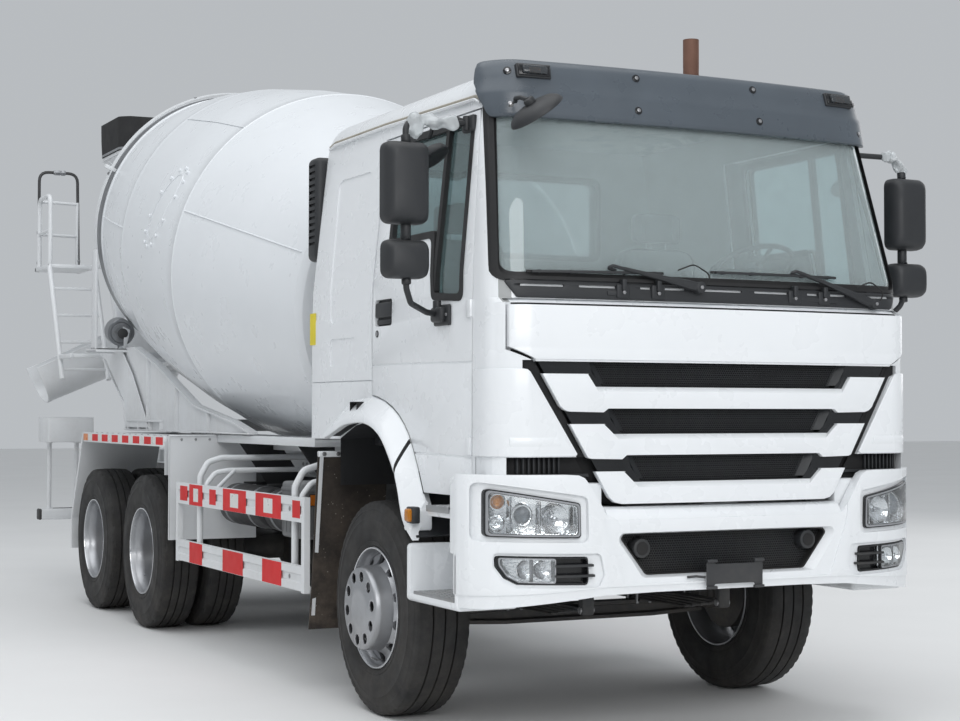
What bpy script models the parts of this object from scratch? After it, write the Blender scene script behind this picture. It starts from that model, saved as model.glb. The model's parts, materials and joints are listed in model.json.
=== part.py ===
"""Concrete mixer truck, 6x4, cab-over, drum turning about an inclined axis.

Metres, +Z up, front towards -Y, the truck's left at +X. All lengths below are
given from the front axle (y = 0 there); Y0 moves them so that the origin is
under the middle of the whole truck, on the ground.
"""
import math

import bpy
import bmesh
from mathutils import Matrix, Vector

for old in list(bpy.data.objects):
    bpy.data.objects.remove(old, do_unlink=True)

# ---------------------------------------------------------------- dimensions
Y0 = -3.15                 # front axle's place along the truck
GAP = 0.0003               # between pieces that rest on each other
TYRE_R = 0.535             # 22.5 inch rim, 315 mm tyre
RIM_R = 0.2985
WHEEL_STEPS = 24
AXLE_F, AXLE_1, AXLE_2 = 0.0, 4.025, 5.375
FRONT_X = 1.015            # middle of a front tyre
KINGPIN_X = 0.84
RAIL_IN, RAIL_OUT, RAIL_LO, RAIL_HI = 0.35, 0.43, 0.78, 1.08
SUB_HI = 1.20              # top of the drum's subframe rails
SIDE_X = 1.24              # outer face of bumper, guards and fenders

CAB_W, CAB_REAR, CAB_LOW, CAB_REAR_LOW = 1.14, 0.975, 1.128, 1.37
FLOOR_Z = 1.54
PANEL_TOP = 1.985          # top edge of the hinged front panel
PANEL_AXIS = (0.0, -1.36, 1.990)
DOOR_AXIS_X, DOOR_AXIS_Y = 1.143, -1.078
DOOR_T = 0.055

DRUM_Y, DRUM_Z = 3.325, 2.497          # a point on the drum's axis, at its widest seam
DRUM_TILT = math.radians(11.31)
DRUM_WALL = 0.012
RING_S, RING_R = 2.45, 1.112           # track ring along the axis, and its radius
ROLLER_R, ROLLER_ANGLE = 0.11, math.radians(47)

CHUTE_Y, CHUTE_Z = 7.45, 2.20          # swivel axis, and the height of the tilt axis
CHUTE_SLOPE = math.radians(25)

# ---------------------------------------------------------------- collections
scene = bpy.context.scene
parts = bpy.data.collections.new("concrete_mixer_truck")
cutters = bpy.data.collections.new("cutters")
scene.collection.children.link(parts)
scene.collection.children.link(cutters)
cutters.hide_render = True


def material(name, colour, rough, metal=0.0, alpha=1.0):
    made = bpy.data.materials.new(name)
    made.use_nodes = True
    shader = made.node_tree.nodes["Principled BSDF"]
    shader.inputs["Base Color"].default_value = (*colour, 1.0)
    shader.inputs["Roughness"].default_value = rough
    shader.inputs["Metallic"].default_value = metal
    shader.inputs["Alpha"].default_value = alpha
    return made


WHITE = ("white_paint", (0.80, 0.83, 0.87), 0.35, 0.0)
DARK = ("black_paint", (0.03, 0.03, 0.035), 0.5, 0.0)
PLASTIC = ("black_plastic", (0.04, 0.045, 0.05), 0.55, 0.0)
RUBBER = ("rubber", (0.03, 0.03, 0.03), 0.85, 0.0)
TYRE = ("tyre", (0.035, 0.035, 0.037), 0.8, 0.0)
GREY = ("grey_metal", (0.45, 0.46, 0.48), 0.4, 0.7)
GLASS = ("glass", (0.35, 0.45, 0.45), 0.05, 0.0, 0.35)
LAMP = ("lamp", (0.75, 0.77, 0.8), 0.1, 0.3)
CLOTH = ("seat_fabric", (0.12, 0.13, 0.15), 0.9, 0.0)
RUST = ("exhaust_steel", (0.35, 0.22, 0.18), 0.6, 0.6)


# ---------------------------------------------------------------- shape tools
def own(mesh, name="piece"):
    made = bpy.data.objects.new(name, mesh)
    parts.objects.link(made)
    return made


def from_bm(bm, name="piece"):
    bmesh.ops.recalc_face_normals(bm, faces=bm.faces)
    mesh = bpy.data.meshes.new(name)
    bm.to_mesh(mesh)
    bm.free()
    return own(mesh, name)


def baked(obj):
    """The object with its modifiers worked in, as a plain mesh, its place in the vertices."""
    bpy.context.view_layer.update()
    graph = bpy.context.evaluated_depsgraph_get()
    mesh = bpy.data.meshes.new_from_object(obj.evaluated_get(graph))
    mesh.transform(obj.matrix_world)
    bm = bmesh.new()
    bm.from_mesh(mesh)
    bmesh.ops.remove_doubles(bm, verts=bm.verts, dist=1e-5)
    bm.to_mesh(mesh)
    bm.free()
    made = own(mesh, obj.name)
    bpy.data.objects.remove(obj, do_unlink=True)
    return made


def boolean(target, other, how):
    cut = target.modifiers.new(how, "BOOLEAN")
    cut.operation = how
    cut.solver = "EXACT"
    cut.object = other
    made = baked(target)
    bpy.data.objects.remove(other, do_unlink=True)
    return made


def join(*pieces):
    made = pieces[0]
    for piece in pieces[1:]:
        made = boolean(made, piece, "UNION")
    return made


def cut(target, *others):
    for other in others:
        target = boolean(target, other, "DIFFERENCE")
    return target


def keep(target, other):
    return boolean(target, other, "INTERSECT")


def box(x0, x1, y0, y1, z0, z1, round_by=0.0, steps=1):
    bm = bmesh.new()
    bmesh.ops.create_cube(bm, size=1.0)
    bmesh.ops.scale(bm, vec=(abs(x1 - x0), y1 - y0, z1 - z0), verts=bm.verts)
    bmesh.ops.translate(bm, vec=((x0 + x1) / 2, (y0 + y1) / 2 + Y0, (z0 + z1) / 2), verts=bm.verts)
    made = from_bm(bm, "box")
    if round_by:
        bevel = made.modifiers.new("Bevel", "BEVEL")
        bevel.width = round_by
        bevel.segments = steps
        made = baked(made)
    return made


def rod(a, b, r, steps=12, r2=None):
    """A cylinder or cone from point a to point b."""
    a, b = Vector(a), Vector(b)
    a.y += Y0
    b.y += Y0
    bm = bmesh.new()
    bmesh.ops.create_cone(bm, cap_ends=True, segments=steps, radius1=r, radius2=r if r2 is None else r2, depth=(b - a).length)
    turn = (b - a).to_track_quat("Z", "Y").to_matrix().to_4x4()
    bmesh.ops.transform(bm, matrix=Matrix.Translation((a + b) / 2) @ turn, verts=bm.verts)
    return from_bm(bm, "rod")


def tube(points, r, closed=False):
    """A round bar along a line of points."""
    curve = bpy.data.curves.new("tube", "CURVE")
    curve.dimensions = "3D"
    curve.bevel_depth = r
    curve.bevel_resolution = 1
    curve.use_fill_caps = True
    line = curve.splines.new("POLY")
    line.points.add(len(points) - 1)
    for place, (x, y, z) in zip(line.points, points):
        place.co = (x, y + Y0, z, 1.0)
    line.use_cyclic_u = closed
    made = bpy.data.objects.new("tube", curve)
    parts.objects.link(made)
    return baked(made)


def plate(outline, axis, a, b):
    """A flat outline made as thick as from a to b along an axis. Its points are (y, z) for X, (x, z) for Y, (x, y) for Z."""
    curve = bpy.data.curves.new("plate", "CURVE")
    curve.dimensions = "2D"
    curve.fill_mode = "BOTH"
    curve.extrude = abs(b - a) / 2
    line = curve.splines.new("POLY")
    line.points.add(len(outline) - 1)
    for place, (u, v) in zip(line.points, outline):
        place.co = (u, v, 0.0, 1.0)
    line.use_cyclic_u = True
    made = bpy.data.objects.new("plate", curve)
    parts.objects.link(made)
    mid = (a + b) / 2
    if axis == "X":
        made.matrix_world = Matrix(((0, 0, 1, mid), (1, 0, 0, Y0), (0, 1, 0, 0), (0, 0, 0, 1)))
    elif axis == "Y":
        made.matrix_world = Matrix(((1, 0, 0, 0), (0, 0, -1, mid + Y0), (0, 1, 0, 0), (0, 0, 0, 1)))
    else:
        made.matrix_world = Matrix(((1, 0, 0, 0), (0, 1, 0, Y0), (0, 0, 1, mid), (0, 0, 0, 1)))
    return baked(made)


def turned(profile, place, steps):
    """A profile of (along, radius) from one end to the other, turned about the local Z axis and put at place."""
    bm = bmesh.new()
    last = None
    for along, radius in profile:
        here = bm.verts.new((radius, 0.0, along))
        if last is not None:
            bm.edges.new((last, here))
        last = here
    mesh = bpy.data.meshes.new("turned")
    bm.to_mesh(mesh)
    bm.free()
    made = own(mesh, "turned")
    screw = made.modifiers.new("Screw", "SCREW")
    screw.steps = screw.render_steps = steps
    screw.use_merge_vertices = True
    screw.merge_threshold = 1e-4
    screw.use_smooth_shade = True
    made.matrix_world = place
    made = baked(made)
    bm = bmesh.new()
    bm.from_mesh(made.data)
    bmesh.ops.recalc_face_normals(bm, faces=bm.faces)
    bm.to_mesh(made.data)
    bm.free()
    return made


def loft(rings):
    """A closed solid through rings of the same number of points, flat at its two ends."""
    bm = bmesh.new()
    made = [[bm.verts.new((x, y + Y0, z)) for x, y, z in ring] for ring in rings]
    n = len(rings[0])
    for low, high in zip(made, made[1:]):
        for i in range(n):
            j = (i + 1) % n
            bm.faces.new((low[i], low[j], high[j], high[i]))
    bm.faces.new(made[0])
    bm.faces.new(made[-1])
    bmesh.ops.triangulate(bm, faces=[f for f in bm.faces if len(f.verts) == 4])
    return from_bm(bm, "loft")


def inset(outline, by):
    """The outline moved inwards by a distance, corners kept sharp."""
    n = len(outline)
    area = sum(outline[i][0] * outline[(i + 1) % n][1] - outline[(i + 1) % n][0] * outline[i][1] for i in range(n))
    sign = 1.0 if area > 0 else -1.0
    out = []
    for i in range(n):
        a, b, c = (Vector(outline[j % n]) for j in (i - 1, i, i + 1))
        u, v = (b - a).normalized(), (c - b).normalized()
        n1, n2 = Vector((-u.y, u.x)) * sign, Vector((-v.y, v.x)) * sign
        m = (n1 + n2).normalized()
        out.append(tuple(b + m * (by / max(0.3, m.dot(n1)))))
    return out


def mirrored(obj):
    """A copy on the other side of the truck."""
    mesh = obj.data.copy()
    mesh.transform(Matrix.Scale(-1, 4, (1, 0, 0)))
    mesh.flip_normals()
    return own(mesh, obj.name)


def finish(obj, name, look, origin=(0, 0, 0), smooth=False, parent=None):
    """Names the piece, gives it its own material, and puts its origin at a point that means something."""
    origin = Vector(origin)
    origin.y += Y0
    obj.data.transform(Matrix.Translation(-origin))
    obj.name = obj.data.name = name
    obj.data.materials.clear()
    obj.data.materials.append(material(name + "_" + look[0], *look[1:]))
    if smooth:
        obj.data.shade_smooth()
        obj.data.set_sharp_from_angle(angle=math.radians(35))
    else:
        obj.data.shade_flat()
    if parent is None:
        obj.location = origin
    else:
        obj.parent = parent
        obj.matrix_parent_inverse = parent_place[parent.name].inverted()
        obj.location = origin
    return obj


parent_place = {}


def pivot(name, place, turn=None, parent=None):
    """An empty on a joint's axis."""
    made = bpy.data.objects.new(name, None)
    made.empty_display_size = 0.15
    parts.objects.link(made)
    world = Matrix.Translation((place[0], place[1] + Y0, place[2])) @ (turn or Matrix())
    parent_place[name] = world
    if parent is None:
        made.matrix_world = world
    else:
        made.parent = parent
        made.matrix_parent_inverse = parent_place[parent.name].inverted()
        made.matrix_basis = world
    return made


def both(make, name, look, **more):
    """The left piece, at +X, and its mirror image, named for their sides."""
    left = make
    right = mirrored(left)
    finish(left, name + "_left", look, **more)
    if "origin" in more:
        x, y, z = more["origin"]
        more = dict(more, origin=(-x, y, z))
    finish(right, name + "_right", look, **more)


# ---------------------------------------------------------------- joint axes
drum_turn = Matrix.Rotation(DRUM_TILT - math.pi / 2, 4, "X")      # local Z along the drum, towards the rear
drum_axis = Vector((0.0, math.cos(DRUM_TILT), math.sin(DRUM_TILT)))
drum_down = Vector((0.0, math.sin(DRUM_TILT), -math.cos(DRUM_TILT)))


def on_drum(s, r=0.0, angle=0.0):
    """A point by its place along the drum's axis, its radius and its angle from the lowest line."""
    p = Vector((0.0, DRUM_Y, DRUM_Z)) + drum_axis * s + (drum_down * math.cos(angle) + Vector((1, 0, 0)) * math.sin(angle)) * r
    return tuple(p)


drum_pivot = pivot("drum_axis", (0, DRUM_Y, DRUM_Z), drum_turn)
panel_pivot = pivot("front_panel_axis", PANEL_AXIS)
swivel_pivot = pivot("chute_swivel_axis", (0, CHUTE_Y, 1.90))
tilt_pivot = pivot("chute_tilt_axis", (0, CHUTE_Y, CHUTE_Z), parent=swivel_pivot)
side_pivots = {}
for side, sx in (("left", 1), ("right", -1)):
    kingpin = pivot("kingpin_" + side, (sx * KINGPIN_X, 0, TYRE_R))
    side_pivots["steer_" + side] = kingpin
    side_pivots["front_" + side] = pivot("front_hub_" + side, (sx * FRONT_X, 0, TYRE_R), parent=kingpin)
    side_pivots["door_" + side] = pivot("door_axis_" + side, (sx * DOOR_AXIS_X, DOOR_AXIS_Y, 1.9))

# ---------------------------------------------------------------- wheels
# along the axle from the wheel's outer end, radius
TREAD_R = TYRE_R / math.cos(math.pi / WHEEL_STEPS)      # so that the flat between two steps is at the tyre's radius
FRONT_WHEEL = ((0.225, 0.0), (0.225, 0.205), (0.10, 0.215), (0.085, 0.27), (0.135, RIM_R),
               (0.155, 0.40), (0.148, 0.47), (0.118, TREAD_R), (-0.118, TREAD_R), (-0.148, 0.47), (-0.155, 0.40),
               (-0.135, RIM_R), (-0.05, 0.255), (-0.10, 0.205), (-0.10, 0.052), (0.0, 0.052), (0.0, 0.0))
TWIN_WHEEL = ((1.13, 0.0), (1.13, 0.105), (0.985, 0.135), (0.955, 0.24), (1.195, 0.275), (1.227, RIM_R),
              (1.245, 0.40), (1.235, 0.47), (1.205, TREAD_R), (0.985, TREAD_R), (0.948, 0.46), (0.946, 0.31),
              (0.910, 0.31), (0.908, 0.46), (0.871, TREAD_R), (0.651, TREAD_R), (0.621, 0.47), (0.611, 0.40),
              (0.629, RIM_R), (0.66, 0.265), (0.88, 0.25), (0.655, 0.20), (0.655, 0.085), (0.80, 0.085), (0.80, 0.0))

for side, sx in (("left", 1), ("right", -1)):
    # local Z towards the truck's outside, a flat of the tread at the bottom
    outward = Matrix.Rotation(sx * math.pi / 2, 4, "Y") @ Matrix.Rotation(math.pi / WHEEL_STEPS, 4, "Z")
    wheel = turned(FRONT_WHEEL, Matrix.Translation((sx * FRONT_X, Y0, TYRE_R)) @ outward, WHEEL_STEPS)
    finish(wheel, "front_wheel_" + side, TYRE, origin=(sx * FRONT_X, 0, TYRE_R), smooth=True, parent=side_pivots["front_" + side])
    for row, y in (("1", AXLE_1), ("2", AXLE_2)):
        hub = pivot("rear_hub_" + row + "_" + side, (0, y, TYRE_R))
        wheel = turned(TWIN_WHEEL, Matrix.Translation((0, y + Y0, TYRE_R)) @ outward, WHEEL_STEPS)
        finish(wheel, "rear_twin_wheel_" + row + "_" + side, TYRE, origin=(0, y, TYRE_R), smooth=True, parent=hub)

# ---------------------------------------------------------------- chassis
frame = box(RAIL_IN, RAIL_OUT, -1.0, 7.35, RAIL_LO, RAIL_HI)
frame = join(frame, mirrored(frame))
for y in (-0.92, 1.55, 2.7, 3.35, 4.7, 6.1, 7.28):                 # crossmembers
    frame = join(frame, box(-RAIL_IN - 0.02, RAIL_IN + 0.02, y - 0.05, y + 0.05, 0.85, 1.0))
for sx in (1, -1):                                                  # cab mounts on the rails
    for y0, y1, top in ((-0.99, -0.80, CAB_LOW - GAP), (0.80, 0.92, 1.50 - GAP)):
        frame = join(frame, box(sx * 0.36, sx * 0.425, y0, y1, RAIL_HI - 0.02, top))
finish(frame, "chassis_frame", DARK)

engine = join(box(-0.335, 0.335, -0.62, 0.66, 0.66, 1.46, 0.03), box(-0.22, 0.22, 0.60, 1.20, 0.70, 1.15, 0.03))
finish(engine, "engine_block", DARK)

axle = box(-0.765, 0.765, -0.05, 0.05, 0.42, 0.51)
for sx in (1, -1):                                                  # raised end with the kingpin's eye
    axle = join(axle, box(sx * 0.66, sx * 0.764, -0.052, 0.052, 0.43, 0.578), box(sx * 0.70, sx * 0.842, -0.028, 0.028, 0.497, 0.573),
                rod((sx * KINGPIN_X, 0, 0.487), (sx * KINGPIN_X, 0, 0.583), 0.038, 14))
for sx in (1, -1):                                                  # leaf springs with their hangers
    axle = join(axle, box(sx * 0.355, sx * 0.425, -0.80, 0.82, 0.50, 0.58),
                box(sx * 0.355, sx * 0.425, -0.80, -0.70, 0.55, RAIL_LO - GAP), box(sx * 0.355, sx * 0.425, 0.72, 0.82, 0.55, RAIL_LO - GAP))
finish(axle, "front_axle", DARK)

for side, sx in (("left", 1), ("right", -1)):                      # knuckle: a fork above and below the axle's eye, and the spindle
    knuckle = join(box(sx * 0.885, sx * 0.906, -0.047, 0.047, 0.437, 0.633), box(sx * 0.800, sx * 0.90, -0.044, 0.044, 0.590, 0.630),
                   box(sx * 0.800, sx * 0.90, -0.044, 0.044, 0.440, 0.480), rod((sx * 0.895, 0, TYRE_R), (sx * 1.008, 0, TYRE_R), 0.045))
    finish(knuckle, "knuckle_" + side, DARK, origin=(sx * KINGPIN_X, 0, TYRE_R), parent=side_pivots["steer_" + side])

for name, y in (("rear_axle_1", AXLE_1), ("rear_axle_2", AXLE_2)):
    rear = join(rod((-0.79, y, TYRE_R), (0.79, y, TYRE_R), 0.075), rod((0, y - 0.24, TYRE_R), (0, y + 0.22, TYRE_R), 0.21, 16, 0.13))
    finish(rear, name, DARK, origin=(0, y, TYRE_R))

bogie = rod((-0.545, 4.70, 0.685), (0.545, 4.70, 0.685), 0.045)        # trunnion between the two spring packs
for sx in (1, -1):
    bogie = join(bogie, box(sx * 0.45, sx * 0.53, 3.97, 5.43, TYRE_R + 0.075 + GAP, 0.74), box(sx * 0.36, sx * 0.42, 4.60, 4.80, 0.62, RAIL_LO - GAP))
finish(bogie, "bogie_springs", DARK, origin=(0, 4.70, 0.69))

# ---------------------------------------------------------------- drum and what holds it
# along the axis from the seam plane, radius: outside front to rear
DRUM_OUT = ((-1.80, 0.0), (-1.80, 0.45), (-1.745, 0.93), (-1.70, 0.972), (0.0, 1.226), (0.60, 1.233), (1.30, 1.214), (1.85, 1.174), (2.36, 1.105),
            (2.37, RING_R), (2.53, RING_R), (2.56, 1.085), (3.00, 0.80), (3.34, 0.545), (3.44, 0.53))
DRUM_IN = ((3.44, 0.515), (3.335, 0.53), (2.995, 0.782), (2.55, 1.07), (1.85, 1.160), (1.30, 1.201), (0.60, 1.220), (0.0, 1.213),
           (-1.69, 0.958), (-1.735, 0.918), (-1.785, 0.45), (-1.785, 0.0))
drum = turned(DRUM_OUT + DRUM_IN, Matrix.Translation((0, DRUM_Y + Y0, DRUM_Z)) @ drum_turn, 40)
finish(drum, "drum", WHITE, origin=(0, DRUM_Y, DRUM_Z), smooth=True, parent=drum_pivot)

gearbox = join(rod(on_drum(-1.95), on_drum(-1.807), 0.20, 20), rod(on_drum(-2.24), on_drum(-1.94), 0.27, 20))
finish(gearbox, "drum_gearbox", GREY, origin=on_drum(-2.0))

sub = box(0.355, 0.425, 1.15, 7.30, RAIL_HI + GAP, SUB_HI)
sub = join(sub, mirrored(sub))
for y in (1.30, 2.4, 3.6, 4.9, 6.2, 7.2):
    sub = join(sub, box(-0.36, 0.36, y - 0.04, y + 0.04, RAIL_HI + 0.01, 1.15))
# pedestal behind the cab: two slanted legs and a saddle under the gearbox
SADDLE_TOP = 1.775
for sx in (1, -1):
    sub = join(sub, plate(((sx * 0.418, 1.12), (sx * 0.365, 1.12), (sx * 0.20, SADDLE_TOP - 0.02), (sx * 0.30, SADDLE_TOP - 0.02)), "Y", 1.18, 1.40))
sub = join(sub, box(-0.32, 0.32, 1.16, 1.42, SADDLE_TOP - 0.08, SADDLE_TOP))
sub = join(sub, box(-0.06, 0.06, 7.15, 7.50, 1.09, 1.15), rod((0, CHUTE_Y, 1.095), (0, CHUTE_Y, 1.88), 0.055, 14))   # post under the chute
finish(sub, "drum_subframe", WHITE)

# rear support: side plates (y, z), a base across the rails, a beam under the drum, uprights for the hopper
SIDE_PLATE = ((2.60, 1.365), (5.62, 1.365), (5.67, 1.59), (6.40, 2.00), (6.40, 2.02), (5.35, 2.02), (4.74, 1.865), (3.80, 1.56), (2.96, 1.45))
support = box(-0.93, 0.93, 4.62, 5.55, 1.363, 1.45)
for sx in (1, -1):
    support = join(support, plate(SIDE_PLATE, "X", sx * 0.86, sx * 0.93), box(sx * 0.355, sx * 0.425, 4.65, 5.50, SUB_HI + GAP, 1.37))
    support = join(support, plate(((6.28, 1.93), (6.40, 1.93), (7.06, 3.30), (6.94, 3.30)), "X", sx * 0.70, sx * 0.78), box(sx * 0.72, sx * 0.92, 6.25, 6.39, 1.94, 2.015))
    # bracket outside the roller, and the hoop's foot on it
    support = join(support, box(sx * 0.88, sx * 1.145, 5.66, 6.02, 1.98, 2.015), box(sx * 1.119, sx * 1.144, 5.70, 5.84, 2.00, 2.80))
support = join(support, box(-0.74, 0.74, 6.96, 7.02, 3.18, 3.28))
support = join(support, box(-0.90, 0.90, 6.27, 6.36, 1.95, 2.01))
# hoop over the track ring, as a band from foot to foot
HOOP_IN, HOOP_OUT, HOOP_HALF = RING_R + 0.022, RING_R + 0.032, 0.03
rings = []
for k in range(25):
    a = math.radians(80 + k * (200 / 24))
    rings.append([on_drum(RING_S + ds, r, a) for ds, r in ((-HOOP_HALF, HOOP_IN), (-HOOP_HALF, HOOP_OUT), (HOOP_HALF, HOOP_OUT), (HOOP_HALF, HOOP_IN))])
support = join(support, loft(rings))
finish(support, "rear_support", WHITE)

for side, sx in (("left", 1), ("right", -1)):
    away = RING_R + 0.006 + ROLLER_R
    centre = on_drum(RING_S, away, sx * ROLLER_ANGLE)
    roller = rod(on_drum(RING_S - 0.07, away, sx * ROLLER_ANGLE), on_drum(RING_S + 0.07, away, sx * ROLLER_ANGLE), ROLLER_R, 20)
    finish(roller, "drum_roller_" + side, GREY, origin=centre, smooth=True, parent=pivot("roller_axis_" + side, centre, drum_turn))


def funnel(low, high, wall, sides=4):
    """A funnel between two rectangles, each (x half, y front, y rear, z), open at both ends."""
    def ring(level, by, dz):
        x, yf, yr, z = level
        return [(-x + by, yf + by, z + dz), (x - by, yf + by, z + dz), (x - by, yr - by, z + dz), (-x + by, yr - by, z + dz)]
    body = loft([ring(low, 0, 0), ring(high, 0, 0)])
    more = 0.02
    grow = [(h - l) / (high[3] - low[3]) * more for l, h in zip(low, high)]
    below = tuple(l - g for l, g in zip(low[:3], grow)) + (low[3] - more,)
    above = tuple(h + g for h, g in zip(high[:3], grow)) + (high[3] + more,)
    return cut(body, loft([ring(below, wall, 0), ring(above, wall, 0)]))


hopper = funnel((0.26, 6.84, 7.14, 3.32), (0.60, 6.97, 7.72, 3.80), 0.014)
hopper = join(hopper, box(-0.62, 0.62, 7.0205, 7.05, 3.28, 3.40), *(box(sx * 0.53, sx * 0.62, 7.0205, 7.06, 3.28, 3.74) for sx in (1, -1)))
hopper = cut(hopper, box(-0.215, 0.215, 6.88, 7.10, 3.2, 3.5))
finish(hopper, "charge_hopper", WHITE)

COLLAR = ((0.62, 7.02), (0.53, 6.93), (-0.53, 6.93), (-0.62, 7.02), (-0.62, 7.65), (-0.53, 7.74), (0.53, 7.74), (0.62, 7.65))
collar = cut(plate(COLLAR, "Z", 3.80 + GAP, 4.10), plate(inset(COLLAR, 0.015), "Z", 3.70, 4.20))
finish(collar, "hopper_collar", RUBBER)

outlet = funnel((0.13, 7.32, 7.58, 2.50), (0.60, 6.80, 7.66, 3.05), 0.012)
outlet = join(outlet, *(box(sx * 0.50, sx * 0.699, 6.84, 6.88, 2.93, 3.00) for sx in (1, -1)))
finish(outlet, "discharge_funnel", WHITE)

# ---------------------------------------------------------------- chute, stowed to the truck's right
swivel = join(rod((0, CHUTE_Y, 1.88 + GAP), (0, CHUTE_Y, 1.93), 0.11, 16), box(-0.10, 0.10, CHUTE_Y - 0.30, CHUTE_Y + 0.30, 1.92, 1.96))
for sy in (1, -1):
    swivel = join(swivel, box(-0.06, 0.06, CHUTE_Y + sy * 0.285 - 0.015, CHUTE_Y + sy * 0.285 + 0.015, 1.93, 2.27))
finish(swivel, "chute_swivel_bracket", WHITE, origin=(0, CHUTE_Y, 1.90), parent=swivel_pivot)

TROUGH_HALF, TROUGH_DEEP, TROUGH_WALL = 0.25, 0.36, 0.010
slope = Vector((-math.cos(CHUTE_SLOPE), 0.0, -math.sin(CHUTE_SLOPE)))
lift = Vector((-math.sin(CHUTE_SLOPE), 0.0, math.cos(CHUTE_SLOPE)))
arc = [math.pi * (1 + k / 8) for k in range(9)]                     # from one rim round the bottom to the other


def trough_ring(along, half, wall, base):
    """The U section at a distance along the chute: outside, then back along the inside."""
    outer = [(half * math.cos(a), half * math.sin(a) * 0.9) for a in arc]
    inner = [((half - wall) * math.cos(a), (half - wall) * math.sin(a) * 0.9) for a in arc][::-1]
    up = 0.14
    points = [(-half, up)] + outer + [(half, up), (half - wall, up)] + inner + [(-half + wall, up)]
    at = Vector((0, CHUTE_Y, CHUTE_Z)) + slope * along + lift * base
    return [tuple(at + Vector((0, 1, 0)) * u + lift * v) for u, v in points]


chute = loft([trough_ring(a, h, TROUGH_WALL, 0.11) for a, h in ((-0.24, 0.262), (0.5, 0.245), (1.28, 0.21))])
finish(chute, "chute", WHITE, origin=(0, CHUTE_Y, CHUTE_Z), parent=tilt_pivot)

# ---------------------------------------------------------------- ladder, platform and rails, at the right rear
LAD_OUT, LAD_IN = -1.19, -0.80
ladder = box(-1.20, -0.79, 7.10, 7.66, 2.750, 2.785)
for x in (LAD_OUT, LAD_IN):
    ladder = join(ladder, rod((x, 6.60, 1.78), (x, 7.115, 2.765), 0.022, 8))
for k in range(4):
    t = (k + 0.35) / 4.2
    ladder = join(ladder, rod((LAD_OUT, 6.60 + 0.515 * t, 1.78 + 0.985 * t), (LAD_IN, 6.60 + 0.515 * t, 1.78 + 0.985 * t), 0.015, 6))
ladder = join(ladder, box(LAD_OUT - 0.012, -0.935, 6.29, 6.33, 1.953, 1.987), box(LAD_OUT - 0.015, LAD_OUT + 0.015, 6.28, 6.72, 1.95, 1.99))
for y in (7.15, 7.57):
    ladder = join(ladder, rod((-1.178, y, 2.76), (-1.178, y, 3.41), 0.018, 8))
for z, r in ((3.385, 0.019), (3.08, 0.013)):
    ladder = join(ladder, rod((-1.177, 7.13, z), (-1.177, 7.59, z), r, 7))
ladder = join(ladder, tube([(-1.17, 7.635, 2.765), (-1.17, 7.635, 3.62), (-1.13, 7.635, 3.66), (-0.86, 7.635, 3.66), (-0.82, 7.635, 3.62), (-0.82, 7.635, 2.765)], 0.017))
ladder = join(ladder, box(-0.83, -0.7805, 6.935, 7.25, 2.745, 2.79))
finish(ladder, "ladder_platform", WHITE)

# ---------------------------------------------------------------- rear underrun bar with the drip tray above it
bar = box(-1.20, 1.20, 7.41, 7.51, 0.56, 0.66, 0.01)
for sx in (1, -1):
    bar = join(bar, box(sx * 0.36, sx * 0.42, 7.352, 7.46, 0.62, 1.04))
tray = box(-1.17, -0.77, 7.20, 7.60, 1.24, 1.46)
tray = cut(tray, box(-1.158, -0.782, 7.212, 7.588, 1.252, 1.55))
bar = join(bar, tray, *(rod((x, 7.46, 0.62), (x, 7.46, 1.246), 0.02, 8) for x in (-1.10, -0.86)))
finish(bar, "rear_underrun", WHITE)

# ---------------------------------------------------------------- side guards, fenders and boxes
guard = join(box(1.215, SIDE_X, 0.77, 3.15, 0.91, 1.05), box(1.215, SIDE_X, 0.77, 3.15, 0.54, 0.68))
guard = join(guard, box(1.205, SIDE_X, 0.77, 0.82, 0.54, 1.05), box(1.205, SIDE_X, 3.10, 3.15, 0.54, 1.05))
for y in (1.02, 2.75):
    guard = join(guard, tube([(1.20, y, 0.585), (1.20, y, 1.10), (1.15, y, 1.19), (1.06, y, 1.215), (0.4325, y, 1.215)], 0.02), box(1.185, 1.2175, y - 0.03, y + 0.03, 0.93, 1.03), box(1.185, 1.2175, y - 0.03, y + 0.03, 0.57, 0.66))
both(guard, "side_guard", WHITE)

FENDER = ((3.42, 1.08), (3.42, 1.357), (5.70, 1.357), (6.07, 0.66), (6.07, 0.41), (6.05, 0.41), (6.05, 0.65), (5.68, 1.327), (3.45, 1.327), (3.45, 1.08))
fender = join(plate(FENDER, "X", 0.60, SIDE_X), box(1.215, SIDE_X, 3.42, 5.70, 1.272, 1.35), box(0.4303, 0.64, 4.65, 4.75, 1.205, 1.345))
both(fender, "rear_fender", WHITE)

side_box = box(0.62, 1.18, 1.46, 3.36, 0.70, 1.06, 0.015)
side_box = join(side_box, box(0.62, 1.19, 1.50, 2.68, 1.24, 1.36, 0.01), box(0.4303, 0.66, 1.8, 1.9, 0.86, 0.96), box(0.4303, 0.66, 2.9, 3.0, 0.86, 0.96))
side_box = join(side_box, box(1.14, 1.18, 1.46, 2.70, 0.80, 1.30), box(0.62, 1.18, 2.80, 3.36, 0.90, 1.35, 0.01))
both(side_box, "side_box", WHITE)

battery = join(box(-1.14, -0.56, 1.06, 1.42, 0.66, 1.12, 0.02, 2), box(-0.60, -0.4303, 1.15, 1.30, 0.82, 0.92))
finish(battery, "battery_box", GREY)
tank = join(box(0.56, 1.16, 1.06, 1.44, 0.58, 1.16, 0.08, 2), box(0.4303, 0.60, 1.15, 1.30, 0.82, 0.92))
finish(tank, "fuel_tank", GREY)

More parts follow.
